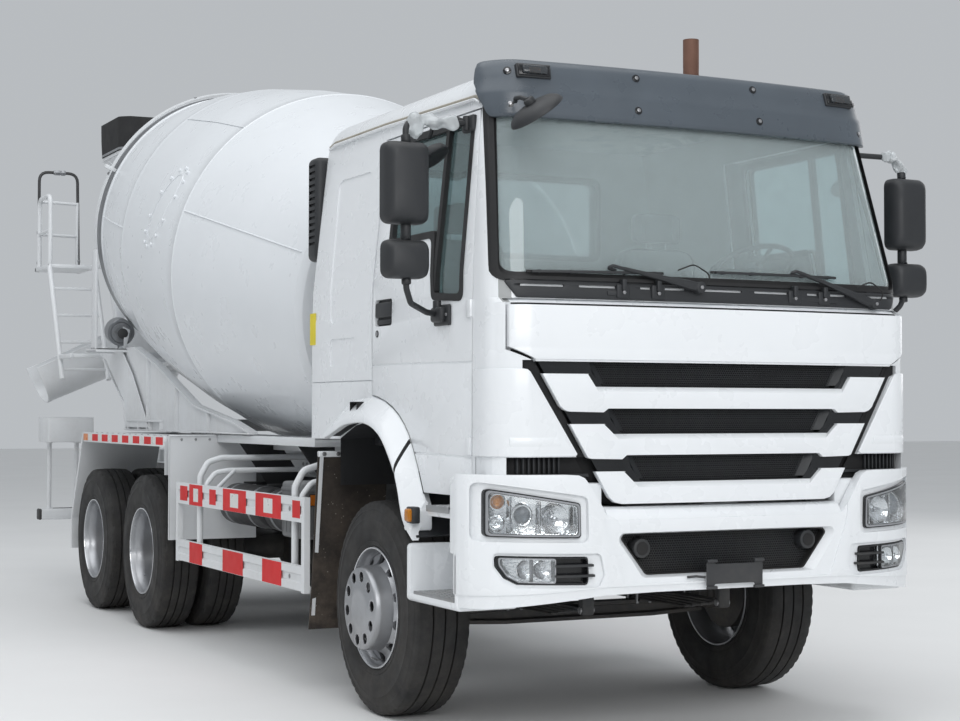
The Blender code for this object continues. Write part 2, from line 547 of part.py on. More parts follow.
# mudflap behind each front wheel, hung from an arm on the frame
flap = join(plate(((0.64, 1.30), (0.655, 1.30), (0.79, 0.34), (0.775, 0.34)), "X", 0.80, 1.21), box(0.4303, 1.21, 0.63, 0.67, 1.27, 1.305))
flap = join(flap, box(0.4303, 0.46, 0.62, 0.72, 1.02, 1.30))
both(flap, "front_mudflap", RUBBER)

stack = tube([(1.20, 0.72, 3.75), (1.20, 0.72, 1.66), (1.20, 0.78, 1.54), (1.17, 1.07, 1.47), (1.10, 1.11, 1.44), (0.55, 1.11, 1.44), (0.50, 1.11, 1.38), (0.50, 1.11, 1.24)], 0.048)
stack = join(stack, rod((1.20, 0.72, 3.50), (1.20, 0.72, 3.53), 0.062, 12), box(0.4303, 0.56, 1.06, 1.15, 1.02, 1.26))
finish(stack, "exhaust_stack", RUST)

# ---------------------------------------------------------------- cab
# height, half width, front at the middle, rear
CAB_RINGS = ((CAB_LOW, 1.14, -1.40, CAB_REAR), (1.995, 1.14, -1.40, CAB_REAR), (2.02, 1.138, -1.352, CAB_REAR), (2.16, 1.135, -1.340, CAB_REAR),
             (2.95, 1.05, -1.150, 0.962), (3.06, 1.02, -1.06, 0.93), (3.12, 0.86, -0.86, 0.78))
FRONT_CORNER, REAR_CORNER, CROWN = 0.17, 0.06, 0.04


def cab_ring(z, w, yf, yr, out=0.0):
    """One level of the cab's outline, from the middle of the front round to its right and back; out moves it outwards."""
    w, yf, yr = w + out, yf - out, yr + out
    rf, rr = FRONT_CORNER + out, max(0.01, REAR_CORNER + out)
    half = [(w - rr + rr * math.sin(a), yr - rr + rr * math.cos(a)) for a in (0.0, math.pi / 4, math.pi / 2)]
    half += [(w - rf + rf * math.cos(a), yf + CROWN + rf - rf * math.sin(a)) for a in (0.0, math.pi / 6, math.pi / 3, math.pi / 2)]
    half += [(x, yf + CROWN * (x / (w - rf)) ** 2) for x in ((w - rf) * 0.66, (w - rf) * 0.33)]
    ring = half + [(0.0, yf)] + [(-x, y) for x, y in reversed(half)]
    return [(x, y, z) for x, y in ring]


def cab_solid(out=0.0, z0=None, z1=None, rings=CAB_RINGS):
    rows = [list(r) for r in rings]
    if z1 is not None:
        rows[-1][0] = max(rows[-1][0], z1)
    if z0 is not None:
        rows[0][0] = z0
    return loft([cab_ring(*row, out=out) for row in rows])


def roofless(out):
    """The cab's outline carried straight on upwards, for pieces that lie on its walls."""
    rows = list(CAB_RINGS[:5]) + [(3.30, 1.012, -1.066, 0.95)]
    return loft([cab_ring(*row, out=out) for row in rows])


# door outline, window outline, both (y, z)
DOOR = ((0.075, 2.895), (0.075, 1.60), (-0.005, 1.588), (-0.19, 1.537), (-0.33, 1.455), (-0.43, 1.345), (-0.555, CAB_LOW + 0.004), (-1.07, CAB_LOW + 0.004), (-1.07, 2.10), (-0.985, 2.895))
WINDOW = ((-0.10, 2.855), (-0.10, 2.36), (-0.61, 2.36), (-0.655, 2.06), (-0.955, 2.04), (-0.925, 2.855))
# outer wall of the cab's side, (x, z)
SIDE_WALL = ((1.14, CAB_LOW), (1.14, 1.995), (1.135, 2.16), (1.05, 2.95), (1.02, 3.06))
# wheel arch: where the flare leaves the wall (y, z) and its lip (y, z), front to rear
ARCH = (((-0.585, 1.10), (-0.64, 0.914)), ((-0.555, 1.128), (-0.53, 1.00)), ((-0.43, 1.345), (-0.455, 1.17)), ((-0.33, 1.455), (-0.365, 1.29)), ((-0.19, 1.537), (-0.235, 1.40)),
        ((0.0, 1.588), (-0.05, 1.455)), ((0.20, 1.588), (0.20, 1.448)), ((0.38, 1.56), (0.36, 1.41)), ((0.55, 1.47), (0.50, 1.372)))
ARCH_CUT = ((-0.70, 0.9), (-0.60, 1.0), (-0.53, 1.128), (-0.45, 1.25), (-0.36, 1.35), (-0.23, 1.42), (-0.05, 1.462), (0.20, 1.455), (0.36, 1.42), (0.50, 1.374), (0.50, 0.9))
WINDSCREEN = ((1.07, 2.175), (0.985, 2.945), (-0.985, 2.945), (-1.07, 2.175))
# hinged front panel, (x, z): full width above, narrowing to the grille's foot
PANEL = ((1.085, PANEL_TOP), (1.085, 1.80), (0.985, 1.755), (0.60, 1.105), (-0.60, 1.105), (-0.985, 1.755), (-1.085, 1.80), (-1.085, PANEL_TOP))

# its opening: lower under the side wings and higher above, for the swing about PANEL_AXIS
PANEL_HOLE = tuple((x, z + {PANEL_TOP: 0.022, 1.80: -0.008, 1.755: -0.006}.get(z, 0.0)) for x, z in PANEL)


def side_slab(out, thick, y0, y1, sx=1):
    outer = [(sx * (x + out), z) for x, z in SIDE_WALL]
    inner = [(sx * (x + out - thick), z) for x, z in SIDE_WALL][::-1]
    return plate(outer + inner, "Y", y0, y1)


shell = cab_solid()
ROOM_RINGS = ((FLOOR_Z, 1.14, -1.29, CAB_REAR), (2.16, 1.135, -1.285, CAB_REAR), (2.95, 1.05, -1.150, 0.962), (3.075, 0.98, -1.03, 0.90))
room = cab_solid(out=-0.055, z0=FLOOR_Z, rings=ROOM_RINGS)
shell = cut(shell, room)
shell = cut(shell, box(-1.08, 1.08, -1.055, -0.78, 1.19, 1.60), box(-1.08, 1.08, -1.23, -0.95, 1.36, 1.61))                       # footwell
for sx in (1, -1):
    shell = cut(shell, box(sx * 0.51, sx * 1.075, -0.95, -0.665, 1.195, 1.605))
shell = cut(shell, box(-1.30, 1.30, 0.50, 1.2, 0.9, CAB_REAR_LOW), box(-0.45, 0.45, -0.72, 1.2, 0.9, 1.50), box(-1.3, 1.3, -1.6, -1.11, 1.0, 1.315))
shell = cut(shell, box(-0.62, 0.62, -0.62, 1.2, 0.9, 1.44))
for sx in (1, -1):
    shell = cut(shell, plate(ARCH_CUT, "X", sx * 0.60, sx * 1.35))
shell = cut(shell, plate(WINDSCREEN, "Y", -1.6, -0.95), box(-0.66, 0.66, 0.7, 1.2, 2.42, 2.88))
for sx in (1, -1):
    # the rear gap widens upwards, for the door's inner corner as it swings out
    shell = cut(shell, plate(inset(((0.0868, 2.895),) + DOOR[1:], -0.0082), "X", sx * 0.99, sx * 1.30))
# pocket for the front panel, following the cab's outline
shell = cut(shell, keep(cut(cab_solid(out=0.08, z0=1.02), cab_solid(out=-0.022, z0=1.0)), plate(inset(PANEL_HOLE, -0.007), "Y", -1.7, -1.15)))
flare = []
for (yi, zi), (yl, zl) in ARCH:
    yi, zi = yi + (0.006 if yi < 0 else 0.0), zi - 0.008
    flare.append([(1.09, yi, zi), (1.150, yi, zi - 0.006), (SIDE_X, yl, zl + 0.035), (SIDE_X, yl, zl), (1.09, yl, zl)])
left_flare = loft(flare)
shell = join(shell, mirrored(left_flare), left_flare)
finish(shell, "cab_shell", WHITE)

glass = cut(roofless(-0.012), roofless(-0.020))
glass = keep(glass, plate(inset(WINDSCREEN, 0.0006), "Y", -1.6, -0.98))
finish(glass, "windscreen", GLASS)

visor = cut(roofless(0.045), roofless(0.0004))
visor = keep(visor, box(-1.3, 1.3, -1.6, -1.00, 2.84, 3.135))
finish(visor, "roof_visor", PLASTIC)

cowl = cut(roofless(0.012), roofless(0.0004))
cowl = keep(cowl, box(-1.10, 1.10, -1.6, -1.18, 2.020, 2.165))
finish(cowl, "windscreen_cowl", PLASTIC)

panel = cut(cab_solid(out=0.012, z0=1.05), cab_solid(out=-0.015, z0=1.0))
panel = keep(panel, plate(PANEL, "Y", -1.6, -1.15))
finish(panel, "front_panel", WHITE, origin=PANEL_AXIS, parent=panel_pivot)

for side, sx in (("left", 1), ("right", -1)):
    door = side_slab(0.0, DOOR_T, -1.2, 0.2, sx)
    door = keep(door, plate(DOOR, "X", sx * 0.9, sx * 1.3))
    door = cut(door, plate(WINDOW, "X", sx * 0.9, sx * 1.3))
    finish(door, "door_" + side, WHITE, origin=(sx * DOOR_AXIS_X, DOOR_AXIS_Y, 1.9), parent=side_pivots["door_" + side])
    pane = keep(side_slab(-0.020, 0.006, -1.2, 0.2, sx), plate(inset(WINDOW, 0.0006), "X", sx * 0.9, sx * 1.3))
    finish(pane, "door_glass_" + side, GLASS, origin=(sx * DOOR_AXIS_X, DOOR_AXIS_Y, 1.9), parent=side_pivots["door_" + side])
    # mirrors: upper arm from the door's top corner, lower arm from its bracket
    mirror = box(sx * 1.31, sx * 1.53, -1.03, -0.92, 2.355, 2.725, 0.03)
    mirror = join(mirror, box(sx * 1.31, sx * 1.53, -1.03, -0.93, 2.11, 2.285, 0.03))
    mirror = join(mirror, tube([(sx * 1.41, -0.95, 2.20), (sx * 1.41, -0.94, 2.80), (sx * 1.36, -0.92, 2.835), (sx * 1.14, -0.90, 2.84), (sx * 1.075, -0.90, 2.84)], 0.016))
    mirror = join(mirror, tube([(sx * 1.41, -0.95, 2.16), (sx * 1.38, -0.90, 2.03), (sx * 1.24, -0.80, 1.97), (sx * 1.16, -0.76, 1.965)], 0.016))
    mirror = join(mirror, box(sx * 1.1405, sx * 1.19, -0.86, -0.64, 1.91, 2.01, 0.008))
    finish(mirror, "mirror_" + side, PLASTIC, origin=(sx * DOOR_AXIS_X, DOOR_AXIS_Y, 1.9), parent=side_pivots["door_" + side])

intake = box(-1.10, -0.88, CAB_REAR + GAP, 1.12, 2.35, 2.93, 0.03, 2)
intake = join(intake, box(-1.02, -0.90, CAB_REAR + 0.01, 1.10, 1.62, 2.40, 0.01))
finish(intake, "air_intake", PLASTIC)

seats = box(-0.86, 0.86, -0.32, 0.90, FLOOR_Z + GAP, 1.60)
for sx in (1, -1):
    seats = join(seats, box(sx * 0.34, sx * 0.86, -0.34, 0.16, 1.58, 2.00, 0.04), box(sx * 0.345, sx * 0.855, 0.10, 0.26, 1.90, 2.62, 0.04))
seats = join(seats, box(-1.02, 1.02, 0.42, 0.905, 1.58, 2.02, 0.03))
finish(seats, "seats_and_bunk", CLOTH)

dash = keep(box(-1.10, 1.10, -1.30, -0.86, 1.75, 2.12, 0.04, 2), cab_solid(out=-0.0555, z0=FLOOR_Z, rings=ROOM_RINGS))
WHEEL_C = Vector((0.60, -0.74, 2.24))
lean = math.radians(28)
ring_points = [tuple(WHEEL_C + Vector((0.22 * math.cos(a), 0.22 * math.sin(a) * math.cos(lean), 0.22 * math.sin(a) * -math.sin(lean)))) for a in (2 * math.pi * k / 16 for k in range(16))]
dash = join(dash, tube(ring_points, 0.014, closed=True), tube([(0.60, -0.98, 1.90), tuple(WHEEL_C)], 0.035))
for a in (0.5, math.pi - 0.5, 1.5 * math.pi):
    p = WHEEL_C + Vector((0.22 * math.cos(a), 0.22 * math.sin(a) * math.cos(lean), 0.22 * math.sin(a) * -math.sin(lean)))
    dash = join(dash, tube([tuple(WHEEL_C + Vector((0, 0.003, -0.012))), tuple(WHEEL_C + (p - WHEEL_C) * 0.985)], 0.009))
finish(dash, "dashboard", PLASTIC)

# ---------------------------------------------------------------- bumper with its lamps and the steps behind its corners
# plan of the bumper's face from the middle outwards, (x, y)
BUMPER_PLAN = ((0.0, -1.450), (0.45, -1.445), (0.80, -1.425), (1.00, -1.375), (1.14, -1.285), (1.215, -1.20), (SIDE_X, -1.13))
BUMPER_END = -1.092            # clear of the opened door's front edge
STEER_CUT = ((0.88, -0.658), (0.985, -0.632), (1.07, -0.605), (1.15, -0.564), (1.15, -0.50), (0.88, -0.50))     # (x, y), room for the steered wheel at the step box
BUMPER_FACE = ((0.0, 1.093), (0.612, 1.093), (0.735, 1.300), (1.30, 1.305), (1.30, 0.635), (1.12, 0.640), (0.62, 0.705), (0.0, 0.712))


def bumper_strip(out, thick, z0, z1):
    """The bumper's plan as an upright strip of an even thickness, cut off flat at its rear ends."""
    plan = list(BUMPER_PLAN) + [(SIDE_X, BUMPER_END)]
    outer = [(x + (out if x > 1.1 else 0.0), y - out) for x, y in plan]
    inner = [(x * (1 - thick / SIDE_X), y + thick) for x, y in plan[:-1]] + [(SIDE_X - thick, BUMPER_END)]
    outline = outer + [(SIDE_X - thick if i == 0 else p[0], p[1]) for i, p in enumerate(reversed(inner))]
    outline = [(-x, y) for x, y in reversed(outer[1:])] + outer + list(reversed(inner)) + [(-x, y) for x, y in inner[1:]]
    return plate(outline, "Z", z0, z1)


face = list(BUMPER_FACE) + [(-x, z) for x, z in reversed(BUMPER_FACE) if x > 0]
LIGHT = ((0.775, 0.962), (0.775, 1.178), (1.165, 1.165), (1.165, 0.975))
FOG = ((0.74, 0.757), (0.74, 0.875), (1.125, 0.880), (1.125, 0.762))
OPENING = ((0.43, 0.785), (0.55, 0.965), (-0.55, 0.965), (-0.43, 0.785))
bumper = keep(bumper_strip(0.0, 0.06, 0.55, 1.40), plate(face, "Y", -1.7, -0.9))
bumper = cut(bumper, plate(OPENING, "Y", -1.6, -1.0))
for sx in (1, -1):
    bumper = cut(bumper, plate([(sx * x, z) for x, z in inset(LIGHT, -0.003)], "Y", -1.7, -1.16), plate([(sx * x, z) for x, z in FOG], "Y", -1.7, -1.16))
    steps_ = box(sx * 0.93, sx * SIDE_X, -1.16, -0.57, 0.63, 0.90, 0.01)
    steps_ = join(steps_, box(sx * 1.0, sx * (SIDE_X - 0.002), -1.16, -1.06, 0.66, 1.30 - 0.185), box(sx * 0.93, sx * 1.00, -1.15, -0.75, 0.85, 1.115), box(sx * 0.93, sx * 1.225, -1.15, -0.77, 1.05, 1.085))
    steps_ = cut(steps_, plate([(sx * x, y) for x, y in ((1.30, -1.12), (1.30, -0.61), (1.10, -0.61), (0.985, -0.67), (0.985, -1.12))], "Z", 0.665, 0.875))
    steps_ = cut(steps_, plate([(sx * x, y) for x, y in STEER_CUT], "Z", 0.5, 1.2))
    bumper = join(bumper, steps_, box(sx * 0.36, sx * 0.42, -1.41, -1.0003, 1.00, 1.06), box(sx * 0.36, sx * 0.42, -1.40, -1.30, 0.98, 1.06))
    bumper = join(bumper, box(sx * 0.40, sx * 0.96, -1.08, -1.02, 0.88, 0.95), box(sx * 0.40, sx * 0.46, -1.08, -1.0003, 0.88, 1.04), box(sx * 0.36, sx * 0.46, -1.10, -1.0003, 1.00, 1.06))
finish(bumper, "bumper", WHITE)
for side, sx in (("left", 1), ("right", -1)):
    lamp = keep(bumper_strip(-0.006, 0.085, 0.90, 1.25), plate([(sx * x, z) for x, z in LIGHT], "Y", -1.7, -1.19))
    finish(lamp, "headlight_" + side, LAMP, smooth=True)
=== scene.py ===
"""Looks of the concrete mixer truck: skins, wheels, glass, lamps, treads and trim around the fixed frame.

Metres, +Z up, front towards -Y, the truck's left at +X. Lengths along the truck are
given from the front axle; Y0 turns them into the frame's own.
"""
import json
import math
import random

import bmesh
import bpy
from mathutils import Matrix, Vector


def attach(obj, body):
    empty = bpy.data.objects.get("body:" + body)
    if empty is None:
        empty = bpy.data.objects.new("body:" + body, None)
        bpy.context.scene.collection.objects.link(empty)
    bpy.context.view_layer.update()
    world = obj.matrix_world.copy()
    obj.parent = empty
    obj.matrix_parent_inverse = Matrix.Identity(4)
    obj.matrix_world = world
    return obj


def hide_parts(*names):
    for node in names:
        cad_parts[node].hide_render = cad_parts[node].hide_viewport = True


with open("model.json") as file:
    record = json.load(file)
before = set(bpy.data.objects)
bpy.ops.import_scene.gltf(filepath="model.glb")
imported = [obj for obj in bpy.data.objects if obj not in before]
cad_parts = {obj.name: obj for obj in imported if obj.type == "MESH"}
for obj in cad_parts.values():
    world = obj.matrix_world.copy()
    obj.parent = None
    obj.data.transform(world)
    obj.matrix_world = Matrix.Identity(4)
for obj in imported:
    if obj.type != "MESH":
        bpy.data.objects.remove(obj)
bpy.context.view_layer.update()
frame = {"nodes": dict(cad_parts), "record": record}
NODES = frame["nodes"]
Y0 = -3.15
rnd = random.Random(7)
TAU = 2 * math.pi


# ---------------------------------------------------------------- small shapes, each a bmesh
def shape_box(x0, x1, y0, y1, z0, z1, r=0.004, seg=2):
    if x0 > x1:
        x0, x1 = x1, x0
    bm = bmesh.new()
    bmesh.ops.create_cube(bm, size=1.0)
    bmesh.ops.scale(bm, vec=(x1 - x0, y1 - y0, z1 - z0), verts=bm.verts)
    bmesh.ops.translate(bm, vec=((x0 + x1) / 2, (y0 + y1) / 2 + Y0, (z0 + z1) / 2), verts=bm.verts)
    r = min(r, 0.45 * min(x1 - x0, y1 - y0, z1 - z0))
    if r > 0:
        bmesh.ops.bevel(bm, geom=bm.edges[:], offset=r, segments=seg, profile=0.5, affect="EDGES", clamp_overlap=True)
    return bm


def lathe(profile, n=48, place=None, closed=False, notch=None):
    """A profile of (along, radius) turned about local Z. notch(i, k, n) gives a point's change of radius."""
    bm = bmesh.new()
    rings = []
    for i, (along, radius) in enumerate(profile):
        if radius < 1e-6:
            rings.append([bm.verts.new((0, 0, along))] * n)
            continue
        ring = []
        for k in range(n):
            a = TAU * k / n
            r = radius + (notch(i, k, n) if notch else 0.0)
            ring.append(bm.verts.new((r * math.cos(a), r * math.sin(a), along)))
        rings.append(ring)
    pairs = list(zip(rings, rings[1:]))
    if closed:
        pairs.append((rings[-1], rings[0]))
    for low, high in pairs:
        for k in range(n):
            j = (k + 1) % n
            face = []
            for v in (low[k], low[j], high[j], high[k]):
                if v not in face:
                    face.append(v)
            if len(face) > 2:
                bm.faces.new(face)
    if place is not None:
        bmesh.ops.transform(bm, matrix=place, verts=bm.verts)
    bmesh.ops.recalc_face_normals(bm, faces=bm.faces)
    return bm


def toward(a, b):
    """The turn and place that put local Z along a to b, starting at a. Points are in axle lengths."""
    a, b = Vector(a), Vector(b)
    a.y += Y0
    b.y += Y0
    return Matrix.Translation(a) @ (b - a).to_track_quat("Z", "Y").to_matrix().to_4x4(), (b - a).length


def rod(a, b, r, n=16, r2=None, edge=0.0):
    """A round bar from a to b, with its end edges rounded by edge."""
    place, length = toward(a, b)
    r2 = r if r2 is None else r2
    e = min(edge, 0.45 * length, 0.9 * r, 0.9 * r2)
    if e > 0:
        profile = [(0, 0), (0, r - e), (e * 0.3, r - e * 0.3), (e, r), (length - e, r2), (length - e * 0.3, r2 - e * 0.3), (length, r2 - e), (length, 0)]
    else:
        profile = [(0, 0), (0, r), (length, r2), (length, 0)]
    return lathe(profile, n, place)


def rounded(points, r, steps=5, closed=False):
    """A line of points with its corners turned into arcs of about radius r."""
    pts = [Vector(p) for p in points]
    n = len(pts)
    out = []
    for i, p in enumerate(pts):
        if not closed and i in (0, n - 1):
            out.append(tuple(p))
            continue
        a, c = pts[i - 1], pts[(i + 1) % n]
        u, v = (a - p), (c - p)
        lu, lv = u.length, v.length
        u, v = u / lu, v / lv
        angle = u.angle(v)
        if angle > math.radians(176):
            out.append(tuple(p))
            continue
        d = min(r / math.tan(angle / 2), 0.48 * lu, 0.48 * lv)
        s, e = p + u * d, p + v * d
        for k in range(steps + 1):
            t = k / steps
            out.append(tuple(s * (1 - t) ** 2 + p * 2 * t * (1 - t) + e * t ** 2))
    return out


def sweep(points, section, closed=False, first_up=None):
    """A section of (side, up) points carried along a line. Points are in axle lengths."""
    pts = [Vector((p[0], p[1] + Y0, p[2])) for p in points]
    n = len(pts)
    tans = []
    for i in range(n):
        if closed:
            t = pts[(i + 1) % n] - pts[i - 1]
        else:
            t = pts[min(i + 1, n - 1)] - pts[max(i - 1, 0)]
        tans.append(t.normalized())
    up = Vector(first_up) if first_up else (Vector((0, 0, 1)) if abs(tans[0].z) < 0.9 else Vector((0, 1, 0)))
    bm = bmesh.new()
    rings = []
    for i, (p, t) in enumerate(zip(pts, tans)):
        up = (up - t * up.dot(t)).normalized()
        side = t.cross(up).normalized()
        # a mitre keeps the section's width at a corner
        scale = 1.0
        if 0 < i < n - 1 or closed:
            a = (pts[i] - pts[i - 1]).normalized()
            scale = 1.0 / max(0.6, t.dot(a))
        rings.append([bm.verts.new(p + side * (u * scale) + up * v) for u, v in section])
    m = len(section)
    pairs = list(zip(rings, rings[1:])) + ([(rings[-1], rings[0])] if closed else [])
    for low, high in pairs:
        for k in range(m):
            j = (k + 1) % m
            bm.faces.new((low[k], low[j], high[j], high[k]))
    if not closed:
        bm.faces.new(rings[0])
        bm.faces.new(rings[-1][::-1])
    bmesh.ops.recalc_face_normals(bm, faces=bm.faces)
    return bm


def circle(r, n=12):
    return [(r * math.cos(TAU * k / n), r * math.sin(TAU * k / n)) for k in range(n)]


def tube(points, r, n=12, bend=0.0, closed=False, steps=5):
    if bend:
        points = rounded(points, bend, steps, closed)
    return sweep(points, circle(r, n), closed)


def slab(outline, axis, a, b, r=0.0, seg=2):
    """A flat outline made thick from a to b along an axis. Its points are (y, z) for X, (x, z) for Y, (x, y) for Z."""
    def at(u, v, d):
        if axis == "X":
            return (d, u + Y0, v)
        if axis == "Y":
            return (u, d + Y0, v)
        return (u, v + Y0, d)
    bm = bmesh.new()
    lo = [bm.verts.new(at(u, v, a)) for u, v in outline]
    hi = [bm.verts.new(at(u, v, b)) for u, v in outline]
    n = len(outline)
    for i in range(n):
        j = (i + 1) % n
        bm.faces.new((lo[i], lo[j], hi[j], hi[i]))
    bm.faces.new(lo[::-1])
    bm.faces.new(hi)
    bmesh.ops.recalc_face_normals(bm, faces=bm.faces)
    if r:
        sharp = [e for e in bm.edges if len(e.link_faces) == 2 and e.calc_face_angle() > math.radians(25)]
        bmesh.ops.bevel(bm, geom=sharp, offset=r, segments=seg, profile=0.5, affect="EDGES", clamp_overlap=True)
    return bm


def flat_round(outline, r, steps=4):
    """A 2D outline with rounded corners."""
    return [(p[0], p[1]) for p in rounded([(u, v, 0.0) for u, v in outline], r, steps, closed=True)]


def loft(rings, caps=True, closed=True, add=Y0):
    bm = bmesh.new()
    made = [[bm.verts.new((x, y + add, z)) for x, y, z in ring] for ring in rings]
    n = len(rings[0])
    for low, high in zip(made, made[1:]):
        for i in range(n if closed else n - 1):
            j = (i + 1) % n
            bm.faces.new((low[i], low[j], high[j], high[i]))
    if caps:
        bm.faces.new(made[0][::-1])
        bm.faces.new(made[-1])
    bmesh.ops.recalc_face_normals(bm, faces=bm.faces)
    return bm


def mirror(bm):
    """A turned-over copy on the other side of the truck."""
    out = bm.copy()
    bmesh.ops.scale(out, vec=(-1, 1, 1), verts=out.verts)
    bmesh.ops.reverse_faces(out, faces=out.faces)
    return out


def moved(bm, matrix):
    bmesh.ops.transform(bm, matrix=matrix, verts=bm.verts)
    if matrix.determinant() < 0:
        bmesh.ops.reverse_faces(bm, faces=bm.faces)
    return bm


def inset(outline, by):
    n = len(outline)
    area = sum(outline[i][0] * outline[(i + 1) % n][1] - outline[(i + 1) % n][0] * outline[i][1] for i in range(n))
    sign = 1.0 if area > 0 else -1.0
    out = []
    for i in range(n):
        a, b, c = (Vector(outline[j % n]) for j in (i - 1, i, i + 1))
        u, v = (b - a).normalized(), (c - b).normalized()
        n1, n2 = Vector((-u.y, u.x)) * sign, Vector((-v.y, v.x)) * sign
        m = (n1 + n2).normalized()
        out.append(tuple(b + m * (by / max(0.3, m.dot(n1)))))
    return out


def bolt(at, axis, r=0.012, h=0.010, n=6):
    """A hexagon head with a washer, standing on a face."""
    at, axis = Vector(at), Vector(axis).normalized()
    bm = rod(at, at + axis * 0.003, r * 1.45, 16)
    other = rod(at + axis * 0.003, at + axis * h, r, n, edge=r * 0.12)
    return merged(bm, other)


def merged(*many):
    out = many[0]
    for other in many[1:]:
        mesh = bpy.data.meshes.new("t")
        other.to_mesh(mesh)
        other.free()
        out.from_mesh(mesh)
        bpy.data.meshes.remove(mesh)
    return out


# ---------------------------------------------------------------- Boolean work on temporary objects
def temp(bm):
    mesh = bpy.data.meshes.new("temp")
    bm.to_mesh(mesh)
    bm.free()
    obj = bpy.data.objects.new("temp", mesh)
    bpy.context.scene.collection.objects.link(obj)
    return obj


def boolean(target, other, how):
    """Bmesh with bmesh, giving a bmesh."""
    a, b = temp(target), temp(other)
    cutter = a.modifiers.new("cut", "BOOLEAN")
    cutter.operation = how
    cutter.solver = "EXACT"
    cutter.object = b
    graph = bpy.context.evaluated_depsgraph_get()
    mesh = bpy.data.meshes.new_from_object(a.evaluated_get(graph))
    out = bmesh.new()
    out.from_mesh(mesh)
    bmesh.ops.remove_doubles(out, verts=out.verts, dist=1e-5)
    bpy.data.meshes.remove(mesh)
    for obj in (a, b):
        data = obj.data
        bpy.data.objects.remove(obj, do_unlink=True)
        bpy.data.meshes.remove(data)
    return out


def cut(target, *others):
    for other in others:
        target = boolean(target, other, "DIFFERENCE")
    return target


def keep(target, other):
    return boolean(target, other, "INTERSECT")


def join(*many):
    out = many[0]
    for other in many[1:]:
        out = boolean(out, other, "UNION")
    return out


def bevelled(bm, width, angle=40, seg=2, only=None):
    """Rounds the sharp edges of a shape that came out of a Boolean."""
    bmesh.ops.dissolve_degenerate(bm, dist=2e-5, edges=bm.edges)
    obj = temp(bm)
    bevel = obj.modifiers.new("bevel", "BEVEL")
    bevel.width = width
    bevel.segments = seg
    bevel.limit_method = "ANGLE"
    bevel.angle_limit = math.radians(angle)
    bevel.use_clamp_overlap = True
    graph = bpy.context.evaluated_depsgraph_get()
    mesh = bpy.data.meshes.new_from_object(obj.evaluated_get(graph))
    out = bmesh.new()
    out.from_mesh(mesh)
    bpy.data.meshes.remove(mesh)
    data = obj.data
    bpy.data.objects.remove(obj, do_unlink=True)
    bpy.data.meshes.remove(data)
    return out


class Piece:
    """One visible piece: shapes gathered into a mesh, each with its own material."""

    def __init__(self, name, body="truck", slot=None, replaces=(), smooth=32):
        self.name, self.body, self.slot, self.replaces, self.smooth = name, body, slot, replaces, smooth
        self.bm = bmesh.new()
        self.looks = []

    def add(self, look, *shapes, where=None):
        if look not in self.looks:
            self.looks.append(look)
        index = self.looks.index(look)
        for shape in shapes:
            for face in shape.faces:
                face.material_index = index
            mesh = bpy.data.meshes.new("t")
            shape.to_mesh(mesh)
            shape.free()
            self.bm.from_mesh(mesh)
            bpy.data.meshes.remove(mesh)
        return self

    def both(self, look, *shapes):
        for shape in shapes:
            self.add(look, mirror(shape), shape)
        return self

    def repaint(self, look, test):
        """Gives the faces whose middle passes the test another material. test(x, y, z, normal) has axle lengths."""
        if look not in self.looks:
            self.looks.append(look)
        index = self.looks.index(look)
        for face in self.bm.faces:
            c = face.calc_center_median()
            if test(c.x, c.y - Y0, c.z, face.normal):
                face.material_index = index
        return self

    def done(self):
        self.bm.normal_update()
        mesh = bpy.data.meshes.new(self.name)
        self.bm.to_mesh(mesh)
        self.bm.free()
        for look in self.looks:
            mesh.materials.append(look)
        mesh.shade_smooth()
        mesh.set_sharp_from_angle(angle=math.radians(self.smooth))
        obj = bpy.data.objects.new(self.name, mesh)
        bpy.context.scene.collection.objects.link(obj)
        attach(obj, self.body)
        if self.replaces:
            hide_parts(*self.replaces)
        return obj


def copy_piece(obj, name, body, matrix, replaces=()):
    """Another piece from a made one, moved by a matrix worked into its mesh."""
    mesh = obj.data.copy()
    mesh.transform(matrix)
    if matrix.determinant() < 0:
        mesh.flip_normals()
    new = bpy.data.objects.new(name, mesh)
    bpy.context.scene.collection.objects.link(new)
    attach(new, body)
    if replaces:
        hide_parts(*replaces)
    return new


FLIP = Matrix.Scale(-1, 4, (1, 0, 0))


